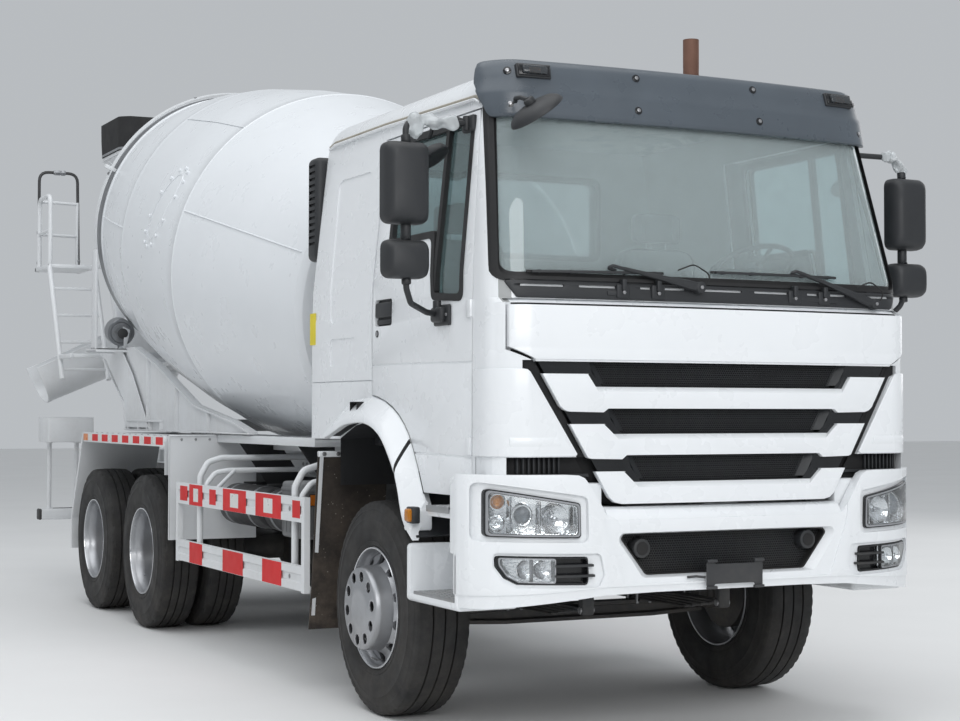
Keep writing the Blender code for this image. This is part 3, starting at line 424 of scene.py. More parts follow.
# ---------------------------------------------------------------- materials
class Look:
    """A Principled material whose colour, roughness and height come from nodes on Object coordinates."""

    def __init__(self, name, rough=0.5, metal=0.0, **sockets):
        self.m = bpy.data.materials.new(name)
        self.m.use_nodes = True
        self.t = self.m.node_tree
        self.p = self.t.nodes["Principled BSDF"]
        self.p.inputs["Roughness"].default_value = rough
        self.p.inputs["Metallic"].default_value = metal
        for key, value in sockets.items():
            self.p.inputs[key.replace("_", " ")].default_value = value
        self.coord = self.t.nodes.new("ShaderNodeTexCoord").outputs["Object"]

    def node(self, kind, inputs=(), **props):
        n = self.t.nodes.new(kind)
        for key, value in props.items():
            setattr(n, key, value)
        for key, value in dict(inputs).items():
            if hasattr(value, "is_output") or isinstance(value, bpy.types.NodeSocket):
                self.t.links.new(value, n.inputs[key])
            else:
                n.inputs[key].default_value = value
        return n

    def scaled(self, sx, sy, sz, turn=(0, 0, 0)):
        return self.node("ShaderNodeMapping", {"Vector": self.coord, "Scale": (sx, sy, sz), "Rotation": turn}).outputs["Vector"]

    def noise(self, scale, detail=4.0, rough=0.55, vector=None):
        return self.node("ShaderNodeTexNoise", {"Vector": vector or self.coord, "Scale": scale, "Detail": detail, "Roughness": rough}).outputs["Fac"]

    def cells(self, scale, vector=None, feature="F1"):
        n = self.node("ShaderNodeTexVoronoi", {"Vector": vector or self.coord, "Scale": scale}, feature=feature)
        return n.outputs["Distance"]

    def span(self, value, a, b, lo=0.0, hi=1.0):
        return self.node("ShaderNodeMapRange", {"Value": value, "From Min": a, "From Max": b, "To Min": lo, "To Max": hi}, clamp=True).outputs["Result"]

    def math(self, op, a, b=0.0):
        n = self.t.nodes.new("ShaderNodeMath")
        n.operation = op
        for i, v in enumerate((a, b)):
            if isinstance(v, bpy.types.NodeSocket):
                self.t.links.new(v, n.inputs[i])
            else:
                n.inputs[i].default_value = v
        return n.outputs[0]

    def mix(self, fac, a, b):
        n = self.t.nodes.new("ShaderNodeMix")
        n.data_type = "RGBA"
        for key, v in (("Factor", fac), ("A", a), ("B", b)):
            socket = [s for s in n.inputs if s.name == key and (s.type == "RGBA" or key == "Factor" and s.type == "VALUE")][0]
            if isinstance(v, bpy.types.NodeSocket):
                self.t.links.new(v, socket)
            elif key == "Factor":
                socket.default_value = v
            else:
                socket.default_value = (*v, 1.0) if len(v) == 3 else v
        return [s for s in n.outputs if s.type == "RGBA"][0]

    def part(self, axis):
        return self.node("ShaderNodeSeparateXYZ", {"Vector": self.coord}).outputs[axis]

    def facing_up(self):
        g = self.t.nodes.new("ShaderNodeNewGeometry")
        n = self.node("ShaderNodeSeparateXYZ", {"Vector": g.outputs["Normal"]})
        return n.outputs["Z"]

    def colour(self, socket):
        self.t.links.new(socket, self.p.inputs["Base Color"])
        return self

    def roughness(self, socket):
        self.t.links.new(socket, self.p.inputs["Roughness"])
        return self

    def bump(self, height, strength=0.3, distance=0.002):
        b = self.node("ShaderNodeBump", {"Strength": strength, "Distance": distance, "Height": height})
        self.t.links.new(b.outputs["Normal"], self.p.inputs["Normal"])
        return self


def dirt(look, low, high, amount, noise_scale=3.0):
    """How much dust lies: much near the ground, little above, more on faces that look up, broken up by noise."""
    height = look.span(look.part("Z"), low, high, 1.0, 0.0)
    speck = look.span(look.noise(noise_scale, 6.0, 0.65), 0.36, 0.72)
    fine = look.span(look.noise(noise_scale * 9, 3.0, 0.6), 0.3, 0.75, 0.45, 1.0)
    up = look.span(look.facing_up(), 0.3, 1.0, 0.0, 0.55)
    base = look.math("MAXIMUM", look.math("MULTIPLY", height, height), look.math("MULTIPLY", up, 0.5))
    return look.math("MULTIPLY", look.math("MULTIPLY", base, look.math("MULTIPLY", speck, fine)), amount)


DUST = (0.30, 0.265, 0.22)
MUD = (0.19, 0.155, 0.12)


def paint(name, colour, rough=0.28, low=0.3, high=2.0, amount=0.55, streak=0.05, coat=0.35, flake=0.0):
    look = Look(name, rough, 0.0, Coat_Weight=coat, Coat_Roughness=0.08)
    tone = look.span(look.noise(0.9, 3.0), 0.3, 0.7)
    a = look.mix(tone, colour, tuple(c * 0.955 for c in colour))
    runs = look.span(look.noise(1.6, 5.0, 0.6, look.scaled(9, 9, 0.55)), 0.52, 0.78, 0.0, streak)
    a = look.mix(runs, a, (0.42, 0.40, 0.37))
    d = dirt(look, low, high, amount)
    look.colour(look.mix(d, a, DUST))
    look.roughness(look.math("ADD", look.span(look.noise(6, 3), 0.3, 0.7, rough - 0.05, rough + 0.07), look.math("MULTIPLY", d, 0.45)))
    look.bump(look.noise(220, 2.0), 0.035, 0.0006)
    return look.m


def coarse(name, colour, rough=0.6, metal=0.0, grain=160, height=0.0012, strength=0.3, low=0.2, high=1.6, amount=0.6, tone=0.8, dust=DUST, **more):
    """Plastic, cast or painted steel with a grain."""
    look = Look(name, rough, metal, **more)
    a = look.mix(look.span(look.noise(2.3, 4), 0.3, 0.7), colour, tuple(c * tone for c in colour))
    d = dirt(look, low, high, amount, 4.0)
    look.colour(look.mix(d, a, dust))
    look.roughness(look.math("ADD", look.span(look.noise(9, 3), 0.3, 0.7, rough - 0.06, min(0.95, rough + 0.08)), look.math("MULTIPLY", d, 0.3)))
    look.bump(look.noise(grain, 3.0, 0.6), strength, height)
    return look.m


def lens(name, colour, rough=0.03, clear=0.85, ribs=0.0, ior=1.45):
    look = Look(name, rough, 0.0, Transmission_Weight=clear, IOR=ior)
    look.colour(look.mix(look.span(look.noise(14, 3), 0.4, 0.8, 0.0, 0.25), colour, tuple(c * 0.8 for c in colour)))
    look.roughness(look.span(look.noise(30, 3), 0.35, 0.8, rough, rough + 0.08))
    if ribs:
        wave = look.node("ShaderNodeTexWave", {"Vector": look.coord, "Scale": ribs, "Distortion": 0.0}, bands_direction="X")
        look.bump(wave.outputs["Fac"], 0.35, 0.002)
    return look.m


WHITE = paint("white_paint_cab", (0.80, 0.82, 0.84), low=0.2, high=1.5, amount=0.10, streak=0.0)
WHITE_DRUM = paint("white_paint_drum", (0.77, 0.795, 0.82), rough=0.30, low=1.2, high=2.4, amount=0.0, streak=0.004)
WHITE_LOW = paint("white_paint_low", (0.72, 0.735, 0.75), rough=0.38, low=0.2, high=1.9, amount=0.38, streak=0.06, coat=0.15)
WHITE_USED = paint("white_paint_used", (0.73, 0.745, 0.76), rough=0.40, low=1.2, high=4.6, amount=0.26, streak=0.10, coat=0.12)
CHASSIS = coarse("chassis_black", (0.028, 0.029, 0.032), 0.48, grain=90, strength=0.15, low=0.1, high=1.5, amount=0.55)
CAST = coarse("cast_dark", (0.06, 0.06, 0.062), 0.62, 0.2, grain=60, strength=0.35, low=0.1, high=1.4, amount=0.75)
STEEL = coarse("grey_steel", (0.36, 0.37, 0.385), 0.38, 0.75, grain=120, strength=0.12, low=0.1, high=1.4, amount=0.5)
BOLT = coarse("zinc_bolt", (0.42, 0.42, 0.43), 0.35, 0.85, grain=200, strength=0.1, amount=0.35)
RUST = coarse("rusty_steel", (0.20, 0.105, 0.075), 0.68, 0.45, grain=45, strength=0.35, tone=0.55, amount=0.2)
PLASTIC = coarse("black_plastic", (0.022, 0.024, 0.027), 0.52, grain=420, height=0.0006, strength=0.35, low=0.3, high=1.5, amount=0.35)
GLOSS_BLACK = coarse("black_gloss", (0.012, 0.013, 0.015), 0.16, grain=300, strength=0.02, amount=0.12)
VISOR = coarse("visor_plastic", (0.080, 0.097, 0.116), 0.30, grain=500, height=0.0004, strength=0.12, low=0.1, high=1.0, amount=0.15)
RUBBER = coarse("rubber_black", (0.02, 0.02, 0.021), 0.78, grain=240, strength=0.3, low=0.1, high=1.3, amount=0.5)
SEAL = coarse("window_rubber", (0.014, 0.014, 0.015), 0.6, grain=300, strength=0.15, amount=0.2)
BEIGE = coarse("gutter_sealant", (0.40, 0.37, 0.31), 0.7, grain=150, strength=0.2, amount=0.2)
SILVER = coarse("wheel_silver", (0.44, 0.45, 0.47), 0.32, 0.8, grain=160, strength=0.08, low=0.05, high=1.2, amount=0.55, dust=MUD)
CHROME = coarse("polished_flange", (0.62, 0.63, 0.65), 0.18, 1.0, grain=200, strength=0.05, low=0.05, high=1.2, amount=0.3)
LINER = coarse("inner_liner", (0.010, 0.010, 0.011), 0.8, grain=80, strength=0.2, amount=0.2)
TRIM = coarse("cab_trim", (0.15, 0.155, 0.16), 0.62, grain=380, height=0.0006, strength=0.35, low=-1, high=0.0, amount=0.1)
TRIM_LIGHT = coarse("cab_trim_light", (0.40, 0.41, 0.41), 0.7, grain=380, height=0.0006, strength=0.35, low=-1, high=0.0, amount=0.1)
YELLOW = coarse("blank_label", (0.80, 0.66, 0.02), 0.45, grain=200, strength=0.05, amount=0.2)
PLATE = coarse("blank_plate", (0.028, 0.03, 0.034), 0.42, grain=200, strength=0.1, amount=0.3)
ALU = coarse("tread_aluminium", (0.40, 0.41, 0.42), 0.40, 0.85, grain=120, strength=0.15, low=0.1, high=1.8, amount=0.9)
BRASS = coarse("brass_fitting", (0.52, 0.36, 0.12), 0.35, 0.9, grain=120, strength=0.1, amount=0.4)

RED_TAPE = coarse("red_reflector", (0.66, 0.006, 0.008), 0.58, grain=600, strength=0.06, low=0.1, high=2.0, amount=0.08, tone=0.85)
PALE_TAPE = coarse("pale_reflector", (0.72, 0.72, 0.70), 0.28, grain=600, strength=0.12, low=0.1, high=2.0, amount=0.35, tone=0.9)
ORANGE_TAPE = coarse("orange_reflector", (0.72, 0.20, 0.02), 0.28, grain=600, strength=0.12, amount=0.25)

# cab glass: only 73 % clear, the rest a pale blue-white diffuse colour that stands in for the sky's reflection: painted
# reflection haze
GLASS = lens("cab_glass", (0.70, 0.80, 0.81), 0.0, 0.73)
GLASS_SIDE = lens("side_glass", (0.50, 0.68, 0.69), 0.0, 0.88)
GLASS_SHADE = lens("shade_band", (0.05, 0.07, 0.075), 0.02, 0.7)
CLEAR = lens("clear_lens", (0.92, 0.94, 0.95), 0.02, 0.95)
AMBER = lens("amber_lens", (0.95, 0.34, 0.02), 0.08, 0.55, ribs=60)
RED_LENS = lens("red_lens", (0.62, 0.015, 0.012), 0.08, 0.45, ribs=60)
SMOKE = lens("smoky_lens", (0.10, 0.11, 0.12), 0.06, 0.55)
FILM = lens("torn_film", (0.80, 0.84, 0.86), 0.16, 0.45)
MIRROR = Look("mirror_glass", 0.03, 1.0)
MIRROR.colour(MIRROR.mix(MIRROR.span(MIRROR.noise(5, 3), 0.45, 0.8, 0.0, 0.35), (0.62, 0.68, 0.70), (0.45, 0.47, 0.47)))
MIRROR.roughness(MIRROR.span(MIRROR.noise(12, 4), 0.4, 0.85, 0.03, 0.22))
MIRROR = MIRROR.m
BOWL = Look("lamp_reflector", 0.12, 1.0)
BOWL.colour(BOWL.mix(BOWL.span(BOWL.noise(20, 3), 0.4, 0.8), (0.78, 0.79, 0.80), (0.62, 0.63, 0.65)))
BOWL.bump(BOWL.cells(90), 0.4, 0.002)
BOWL = BOWL.m


def tyre_look(name, axis_x=True):
    """Black rubber: fine rings on the side walls, brown-grey dust on the tread."""
    look = Look(name, 0.78)
    base = look.mix(look.span(look.noise(7, 5), 0.35, 0.7), (0.013, 0.013, 0.014), (0.022, 0.0215, 0.021))
    dusty = look.math("MULTIPLY", look.span(look.noise(5, 6, 0.65), 0.34, 0.68), look.span(look.part("Z"), 0.0, 1.1, 0.42, 0.10))
    fine = look.span(look.noise(60, 3), 0.3, 0.7, 0.5, 1.0)
    d = look.math("MULTIPLY", dusty, fine)
    look.colour(look.mix(d, base, (0.105, 0.092, 0.078)))
    look.roughness(look.span(look.noise(11, 3), 0.3, 0.7, 0.66, 0.88))
    look.bump(look.noise(130, 4), 0.3, 0.0012)
    return look.m


TYRE = tyre_look("tyre_rubber")

FLAP = Look("mudflap_rubber", 0.8)
_d = FLAP.math("MULTIPLY", FLAP.span(FLAP.noise(6, 6, 0.7), 0.4, 0.65), FLAP.span(FLAP.part("Z"), 0.3, 1.3, 0.85, 0.25))
_s = FLAP.math("MULTIPLY", FLAP.span(FLAP.cells(42), 0.16, 0.08), FLAP.span(FLAP.noise(8, 3), 0.5, 0.6))
FLAP.colour(FLAP.mix(_s, FLAP.mix(_d, (0.030, 0.024, 0.020), (0.115, 0.090, 0.070)), (0.30, 0.27, 0.23)))
FLAP.bump(FLAP.noise(90, 4), 0.4, 0.002)
FLAP = FLAP.m

CLOTH = Look("seat_cloth", 0.92, 0.0, Sheen_Weight=0.35)
_w = CLOTH.node("ShaderNodeTexWave", {"Vector": CLOTH.coord, "Scale": 110.0, "Distortion": 1.0}, bands_direction="X").outputs["Fac"]
_v = CLOTH.node("ShaderNodeTexWave", {"Vector": CLOTH.coord, "Scale": 110.0, "Distortion": 1.0}, bands_direction="Z").outputs["Fac"]
_wv = CLOTH.math("MULTIPLY", _w, _v)
CLOTH.colour(CLOTH.mix(_wv, CLOTH.mix(CLOTH.span(CLOTH.noise(3, 3), 0.3, 0.7), (0.045, 0.048, 0.055), (0.07, 0.072, 0.08)), (0.11, 0.115, 0.13)))
CLOTH.bump(_wv, 0.5, 0.002)
CLOTH = CLOTH.m

# the pale floor: a faint mottle and bump
STAGE = Look("floor_pale", 0.75)
STAGE.colour(STAGE.mix(STAGE.span(STAGE.noise(0.7, 5), 0.3, 0.7), (0.80, 0.80, 0.795), (0.77, 0.77, 0.765)))
STAGE.bump(STAGE.noise(40, 4), 0.08, 0.003)
STAGE = STAGE.m

PLAIN = {
    "white_paint": WHITE_LOW, "chassis_paint": CHASSIS, "cast_metal": CAST, "grey_metal": STEEL, "exhaust_steel": RUST,
    "black_plastic": PLASTIC, "rubber": RUBBER, "tyre": TYRE, "glass": GLASS, "lamp": BOWL, "seat_fabric": CLOTH,
}
slot_of = {p["node"]: p["material_slot"] for p in frame["record"]["subparts"]}
for node, obj in NODES.items():
    obj.data.materials.clear()
    obj.data.materials.append(PLAIN[slot_of[node]])
    obj.data.shade_smooth()
    obj.data.set_sharp_from_angle(angle=math.radians(32))


# ---------------------------------------------------------------- camera, light, floor
cam_data = bpy.data.cameras.new("camera")
cam_data.sensor_width = 36.0
cam_data.lens = 66.36
cam_data.clip_end = 200.0
camera = bpy.data.objects.new("camera", cam_data)
bpy.context.scene.collection.objects.link(camera)
yaw, pitch, roll = math.radians(26.358), math.radians(1.641), math.radians(0.071)
ahead = Vector((math.sin(yaw) * math.cos(pitch), math.cos(yaw) * math.cos(pitch), math.sin(pitch)))
right = Vector((math.cos(yaw), -math.sin(yaw), 0.0))
over = right.cross(ahead)
right, over = right * math.cos(roll) + over * math.sin(roll), over * math.cos(roll) - right * math.sin(roll)
turn = Matrix((right, over, -ahead)).transposed().to_4x4()
camera.matrix_world = Matrix.Translation((-4.6281, -8.1932 + Y0, 1.5173)) @ turn
bpy.context.scene.camera = camera


def area(name, at, aim, size, power, colour=(1, 1, 1)):
    data = bpy.data.lights.new(name, "AREA")
    data.shape = "RECTANGLE"
    data.size, data.size_y = size
    data.energy = power
    data.color = colour
    obj = bpy.data.objects.new(name, data)
    obj.location = at
    obj.rotation_euler = (Vector(aim) - Vector(at)).to_track_quat("-Z", "Y").to_euler()
    bpy.context.scene.collection.objects.link(obj)
    return obj


area("sky_panel", (-3.0, -3.0, 13.0), (0, 0, 1), (16, 16), 1150, (0.97, 0.985, 1.0))
area("front_panel_light", (-3.5, -16.0, 7.0), (0, -2, 1.6), (10, 6), 760)
area("side_panel_light", (13.0, 2.0, 6.0), (0, 0, 1.6), (8, 8), 220)
world = bpy.data.worlds.new("studio")
world.use_nodes = True
back = world.node_tree.nodes["Background"]
back.inputs["Color"].default_value = (0.86, 0.90, 0.94, 1.0)
back.inputs["Strength"].default_value = 0.56
bpy.context.scene.world = world
bpy.context.scene.view_settings.view_transform = "Standard"

bm = bmesh.new()
bmesh.ops.create_grid(bm, x_segments=8, y_segments=8, size=60.0)
floor_mesh = bpy.data.meshes.new("floor")
bm.to_mesh(floor_mesh)
bm.free()
floor_mesh.materials.append(STAGE)
floor = bpy.data.objects.new("floor", floor_mesh)
bpy.context.scene.collection.objects.link(floor)


# ---------------------------------------------------------------- wheels
R, RIM = 0.535, 0.2985
AXLES = (("1", 4.025), ("2", 5.375))


def tyre(mid, half, n, grooves=(-0.062, 0.0, 0.062), groove_w=0.010, deep=0.013, blocks=False):
    """A tyre round local Z: side walls with fine rings, ribs between grooves, notched shoulders."""
    side = [(half - 0.012, RIM + 0.003), (half - 0.003, 0.312), (half + 0.001, 0.330), (half - 0.002, 0.3345), (half + 0.001, 0.339), (half + 0.005, 0.375), (half + 0.006, 0.41),
            (half + 0.004, 0.440), (half + 0.0055, 0.4435), (half + 0.003, 0.447), (half - 0.003, 0.470), (half - 0.006, 0.486), (half - 0.004, 0.489), (half - 0.0075, 0.495),
            (half - 0.010, 0.508), (half - 0.013, 0.520), (half - 0.021, 0.5285)]
    tread = []
    edge = half - 0.036
    xs = [edge]
    for g in sorted(grooves, reverse=True):
        w = groove_w / 2
        xs += [g + w, g + w * 0.7, g - w * 0.7, g - w]

    def crown(x):
        return R - 0.0055 * (x / half) ** 2

    for i, x in enumerate(xs):
        low = i > 0 and (i - 1) % 4 in (1, 2)
        tread.append((x, crown(x) - (deep if low else 0.0)))
    tread.append((-edge, crown(edge)))
    # a middle point on the wide shoulder ribs keeps the crown round
    profile = side + [(half - 0.030, crown(half - 0.03) - 0.001)] + tread + [(-(half - 0.030), crown(half - 0.03) - 0.001)]
    profile += [(-a, r) for a, r in reversed(side)]
    inner = [(-half + 0.03, RIM + 0.004), (-half + 0.022, 0.33), (-half + 0.018, 0.42), (-half + 0.03, 0.49), (half - 0.03, 0.49), (half - 0.018, 0.42), (half - 0.022, 0.33), (half - 0.03, RIM + 0.004)]
    loop = [(a + mid, r) for a, r in profile + inner]
    shoulder = {len(side) - 3, len(side) - 2, len(side) - 1, len(side)}
    far = {len(side) + 1 + len(tread) + d for d in (0, 1, 2)}
    rib = {len(side) + 1 + k for k in range(len(tread))}

    def notch(i, k, n_):
        if i in shoulder or i in far:
            if blocks:
                return -0.010 if k % 5 == 0 else 0.0
            return -0.005 if k % 3 == 0 else 0.0
        return 0.0

    return lathe(loop, n, closed=True, notch=notch)


def ring_of(make, count, radius, start=0.0):
    """Shapes set out round local Z; make() gives one at the origin with X outwards."""
    out = None
    for k in range(count):
        a = start + TAU * k / count
        one = moved(make(), Matrix.Rotation(a, 4, "Z") @ Matrix.Translation((radius, 0, 0)))
        out = one if out is None else merged(out, one)
    return out


def plug(r, a, b, n=20, oval=1.0):
    """A round bar along local Z from a to b."""
    bm = lathe([(a, 0), (a, r), (b, r), (b, 0)], n)
    if oval != 1.0:
        bmesh.ops.scale(bm, vec=(1.0, oval, 1.0), verts=bm.verts)
    return bm


def wheel_nut(z):
    bm = lathe([(z, 0.0), (z, 0.021), (z + 0.005, 0.021), (z + 0.006, 0.0165)], 6)
    bm = merged(bm, lathe([(z + 0.004, 0.0), (z + 0.004, 0.0165), (z + 0.021, 0.0165), (z + 0.026, 0.012), (z + 0.026, 0.0)], 6))
    return merged(bm, lathe([(z + 0.02, 0.0), (z + 0.02, 0.0095), (z + 0.037, 0.0095), (z + 0.039, 0.007), (z + 0.039, 0.0)], 12))


def valve(z, r):
    """A bent valve stem on the rim."""
    return moved(tube([(0, 0, 0), (0, 0, 0.03), (-0.014, 0, 0.06)], 0.0045, 8, bend=0.012), Matrix.Translation((r, -Y0, z)))


# front: convex disc with hand holes, and the cover with ten holes over its nuts
front_rim = [(0.139, 0.3035), (0.146, 0.3030), (0.149, 0.2995), (0.147, 0.2945), (0.139, 0.2905), (0.122, 0.2880), (0.108, 0.2840), (0.097, 0.2760), (0.072, 0.2700),
             (-0.060, 0.2700), (-0.110, 0.2840), (-0.138, 0.2900), (-0.145, 0.2950), (-0.146, 0.3010), (-0.139, 0.3040), (-0.132, 0.2985),
             (-0.100, 0.2925), (-0.055, 0.2790), (0.060, 0.2790), (0.090, 0.2870), (0.112, 0.2935), (0.131, 0.2985)]
disc = [(0.066, 0.2700), (0.082, 0.2715), (0.090, 0.2690), (0.093, 0.2640), (0.098, 0.2450), (0.108, 0.2290), (0.125, 0.2160), (0.137, 0.2060), (0.143, 0.1950), (0.144, 0.1000),
        (0.132, 0.1000), (0.131, 0.1930), (0.120, 0.2050), (0.096, 0.2200), (0.084, 0.2380), (0.078, 0.2600), (0.066, 0.2640)]
# the cover: a side band, a chamfer, a flat face and a low round boss
cover = [(0.112, 0.2140), (0.122, 0.2150), (0.128, 0.2130), (0.190, 0.2085), (0.213, 0.2050), (0.221, 0.1990), (0.2235, 0.1950), (0.2235, 0.1230), (0.2262, 0.1195), (0.2268, 0.0800),
         (0.2262, 0.0300), (0.2260, 0.0000), (0.2140, 0.0000), (0.2160, 0.1880), (0.2080, 0.1990), (0.1880, 0.2010), (0.1240, 0.2060), (0.1160, 0.2070)]
disc_bm = cut(lathe(disc, 80, closed=True), ring_of(lambda: plug(0.0315, 0.03, 0.17, 20, 1.12), 10, 0.242))
cover_bm = lathe(cover[:-5] + cover[-5:], 80, closed=False)
# the cover is a turned skin whose two ends meet at its rear edge
cover_bm.free()
outer = cover[:12]
inner_c = cover[12:]
cover_bm = lathe(outer + inner_c + [outer[0]], 80)
bmesh.ops.remove_doubles(cover_bm, verts=cover_bm.verts, dist=1e-6)
bmesh.ops.recalc_face_normals(cover_bm, faces=cover_bm.faces)
cover_bm = cut(cover_bm, ring_of(lambda: plug(0.0265, 0.18, 0.26, 24), 10, 0.160, 0.16))
rims = lathe(front_rim, 96, closed=True)

wheel = Piece("front_wheel_left_tyre", "front_wheel_left", "tyre")
place = Matrix.Translation((1.015, Y0, R)) @ Matrix.Rotation(math.pi / 2, 4, "Y")
wheel.add(TYRE, moved(tyre(0.0, 0.149, 168), place))
tyre_l = wheel.done()
wheel = Piece("front_wheel_left_rim", "front_wheel_left", "tyre", ("front_wheel_left",), smooth=38)
wheel.add(SILVER, moved(bevelled(disc_bm, 0.0025, 50), place), moved(bevelled(cover_bm, 0.0022, 50), place))
wheel.add(SILVER, moved(rims, place))
wheel.add(CAST, moved(lathe([(-0.095, 0.0), (-0.095, 0.190), (-0.090, 0.2060), (0.005, 0.2080), (0.010, 0.190), (0.012, 0.150), (0.125, 0.135), (0.130, 0.0)], 48), place))      # drum and hub behind the disc
wheel.add(CHASSIS, moved(lathe([(0.129, 0.0), (0.129, 0.098), (0.200, 0.080), (0.206, 0.070), (0.206, 0.0)], 32), place))
wheel.add(BOLT, moved(ring_of(lambda: wheel_nut(0.144), 10, 0.160, 0.16), place))
wheel.add(CHROME, moved(lathe([(0.1465, 0.3032), (0.1500, 0.3000), (0.1482, 0.2940), (0.1440, 0.2930), (0.1440, 0.3020)], 96, closed=True), place))
wheel.add(BOLT, moved(valve(0.098, 0.262), place))
rim_l = wheel.done()
copy_piece(tyre_l, "front_wheel_right_tyre", "front_wheel_right", FLIP)
copy_piece(rim_l, "front_wheel_right_rim", "front_wheel_right", FLIP, ("front_wheel_right",))

# rear twins: the outer rim deep-dished with its hub standing out, the inner one behind it
outer_rim = [(1.216, 0.3035), (1.224, 0.3030), (1.2275, 0.2995), (1.2255, 0.2945), (1.216, 0.2905), (1.200, 0.2880), (1.186, 0.2850), (1.176, 0.2790), (1.130, 0.2740), (1.050, 0.2700), (1.040, 0.2660), (0.985, 0.2640),
             (0.972, 0.2700), (0.965, 0.2850), (0.956, 0.2950), (0.954, 0.3035), (0.962, 0.3035), (0.975, 0.2950), (0.985, 0.2740), (1.045, 0.2760), (1.125, 0.2820), (1.180, 0.2900), (1.206, 0.2985)]
rear_disc = [(1.000, 0.2640), (0.992, 0.2560), (0.984, 0.2360), (0.975, 0.2180), (0.966, 0.2040), (0.962, 0.1900), (0.962, 0.1050), (0.950, 0.1050), (0.950, 0.1930), (0.956, 0.2100), (0.972, 0.2400), (0.980, 0.2640)]
hub = [(0.955, 0.0), (0.955, 0.125), (0.985, 0.122), (1.000, 0.112), (1.095, 0.100), (1.104, 0.0975), (1.106, 0.088), (1.124, 0.082), (1.130, 0.070), (1.130, 0.0)]
inner_rim = [(0.902, 0.3035), (0.908, 0.2985), (0.905, 0.2945), (0.880, 0.2880), (0.860, 0.2700), (0.700, 0.2680), (0.660, 0.2850), (0.636, 0.2920), (0.632, 0.3035), (0.642, 0.3035), (0.665, 0.2940), (0.705, 0.2780), (0.855, 0.2790), (0.880, 0.2960)]
rear_disc_bm = cut(lathe(rear_disc, 64, closed=True), ring_of(lambda: plug(0.026, 0.90, 1.02, 18, 1.3), 8, 0.232, 0.2))
for index, (row, y) in enumerate(AXLES):
    place = Matrix.Translation((0, y + Y0, R)) @ Matrix.Rotation(math.pi / 2, 4, "Y") @ Matrix.Rotation(0.37 * index, 4, "Z")
    name = "rear_twin_wheel_" + row
    rubber = Piece(name + "_left_tyres", name + "_left", "tyre")
    for mid in (1.093, 0.7665):
        rubber.add(TYRE, moved(tyre(mid, 0.138, 130, grooves=(-0.052, 0.0, 0.052), groove_w=0.012, deep=0.015, blocks=True), place))
    tyres = rubber.done()
    metal = Piece(name + "_left_rims", name + "_left", "tyre", (name + "_left",), smooth=38)
    metal.add(SILVER, moved(lathe(outer_rim, 88, closed=True), place), moved(lathe(inner_rim, 64, closed=True), place))
    metal.add(SILVER, moved(bevelled(rear_disc_bm.copy(), 0.002, 50), place))
    metal.add(CHROME, moved(lathe([(1.2245, 0.3032), (1.2285, 0.3000), (1.2267, 0.2940), (1.2225, 0.2930), (1.2225, 0.3020)], 96, closed=True), place))
    metal.add(CAST, moved(lathe(hub, 48), place))
    metal.add(CAST, moved(lathe([(0.652, 0.090), (0.652, 0.195), (0.665, 0.205), (0.860, 0.212), (0.875, 0.200), (0.880, 0.150), (0.945, 0.145), (0.945, 0.090)], 48, closed=True), place))
    metal.add(BOLT, moved(ring_of(lambda: wheel_nut(0.962), 10, 0.1675), place))
    metal.add(BOLT, moved(ring_of(lambda: plug(0.0085, 1.104, 1.111, 6), 10, 0.0905, 0.1), place))
    metal.add(BOLT, moved(valve(1.075, 0.262), place))
    metals = metal.done()
    copy_piece(tyres, name + "_right_tyres", name + "_right", FLIP)
    copy_piece(metals, name + "_right_rims", name + "_right", FLIP, (name + "_right",))
rear_disc_bm.free()


# ---------------------------------------------------------------- cab
# height, half width, front at the middle, rear
CAB_RINGS = ((1.128, 1.14, -1.40, 0.975), (1.995, 1.14, -1.40, 0.975), (2.02, 1.138, -1.352, 0.975), (2.16, 1.135, -1.340, 0.975),
             (2.55, 1.0935, -1.2463, 0.969), (2.90, 1.0560, -1.1625, 0.9625), (2.95, 1.0480, -1.146, 0.959), (2.99, 1.0390, -1.125, 0.953), (3.025, 1.0240, -1.092, 0.942), (3.055, 1.0010, -1.050, 0.926),
             (3.082, 0.9650, -0.996, 0.900), (3.101, 0.9200, -0.935, 0.862), (3.113, 0.8700, -0.870, 0.810), (3.120, 0.8000, -0.800, 0.740))
STRAIGHT = CAB_RINGS[:5] + ((2.95, 1.05, -1.150, 0.962), (3.30, 1.012, -1.066, 0.95))
FRONT_CORNER, REAR_CORNER, CROWN = 0.17, 0.06, 0.04


def cab_ring(z, w, yf, yr, out=0.0, fine=1):
    w, yf, yr = w + out, yf - out, yr + out
    rf, rr = FRONT_CORNER + out, max(0.01, REAR_CORNER + out)
    nr, nf, nc = 4 * fine, 9 * fine, 8 * fine
    half = [(w - rr + rr * math.sin(a), yr - rr + rr * math.cos(a)) for a in (math.pi / 2 * k / nr for k in range(nr + 1))]
    half += [(w - rf + rf * math.cos(a), yf + CROWN + rf - rf * math.sin(a)) for a in (math.pi / 2 * k / nf for k in range(nf + 1))]
    half += [(x, yf + CROWN * (x / (w - rf)) ** 2) for x in ((w - rf) * (1 - k / nc) for k in range(1, nc))]
    ring = half + [(0.0, yf)] + [(-x, y) for x, y in reversed(half)]
    return [(x, y, z) for x, y in ring]


def cab_solid(out=0.0, z0=None, rings=CAB_RINGS, z1=None):
    rows = [list(r) for r in rings]
    if z0 is not None:
        rows[0][0] = z0
    if z1 is not None:
        rows[-1][0] = z1
    return loft([cab_ring(*row, out=out) for row in rows])


def roofless(out):
    return loft([cab_ring(*row, out=out) for row in STRAIGHT])


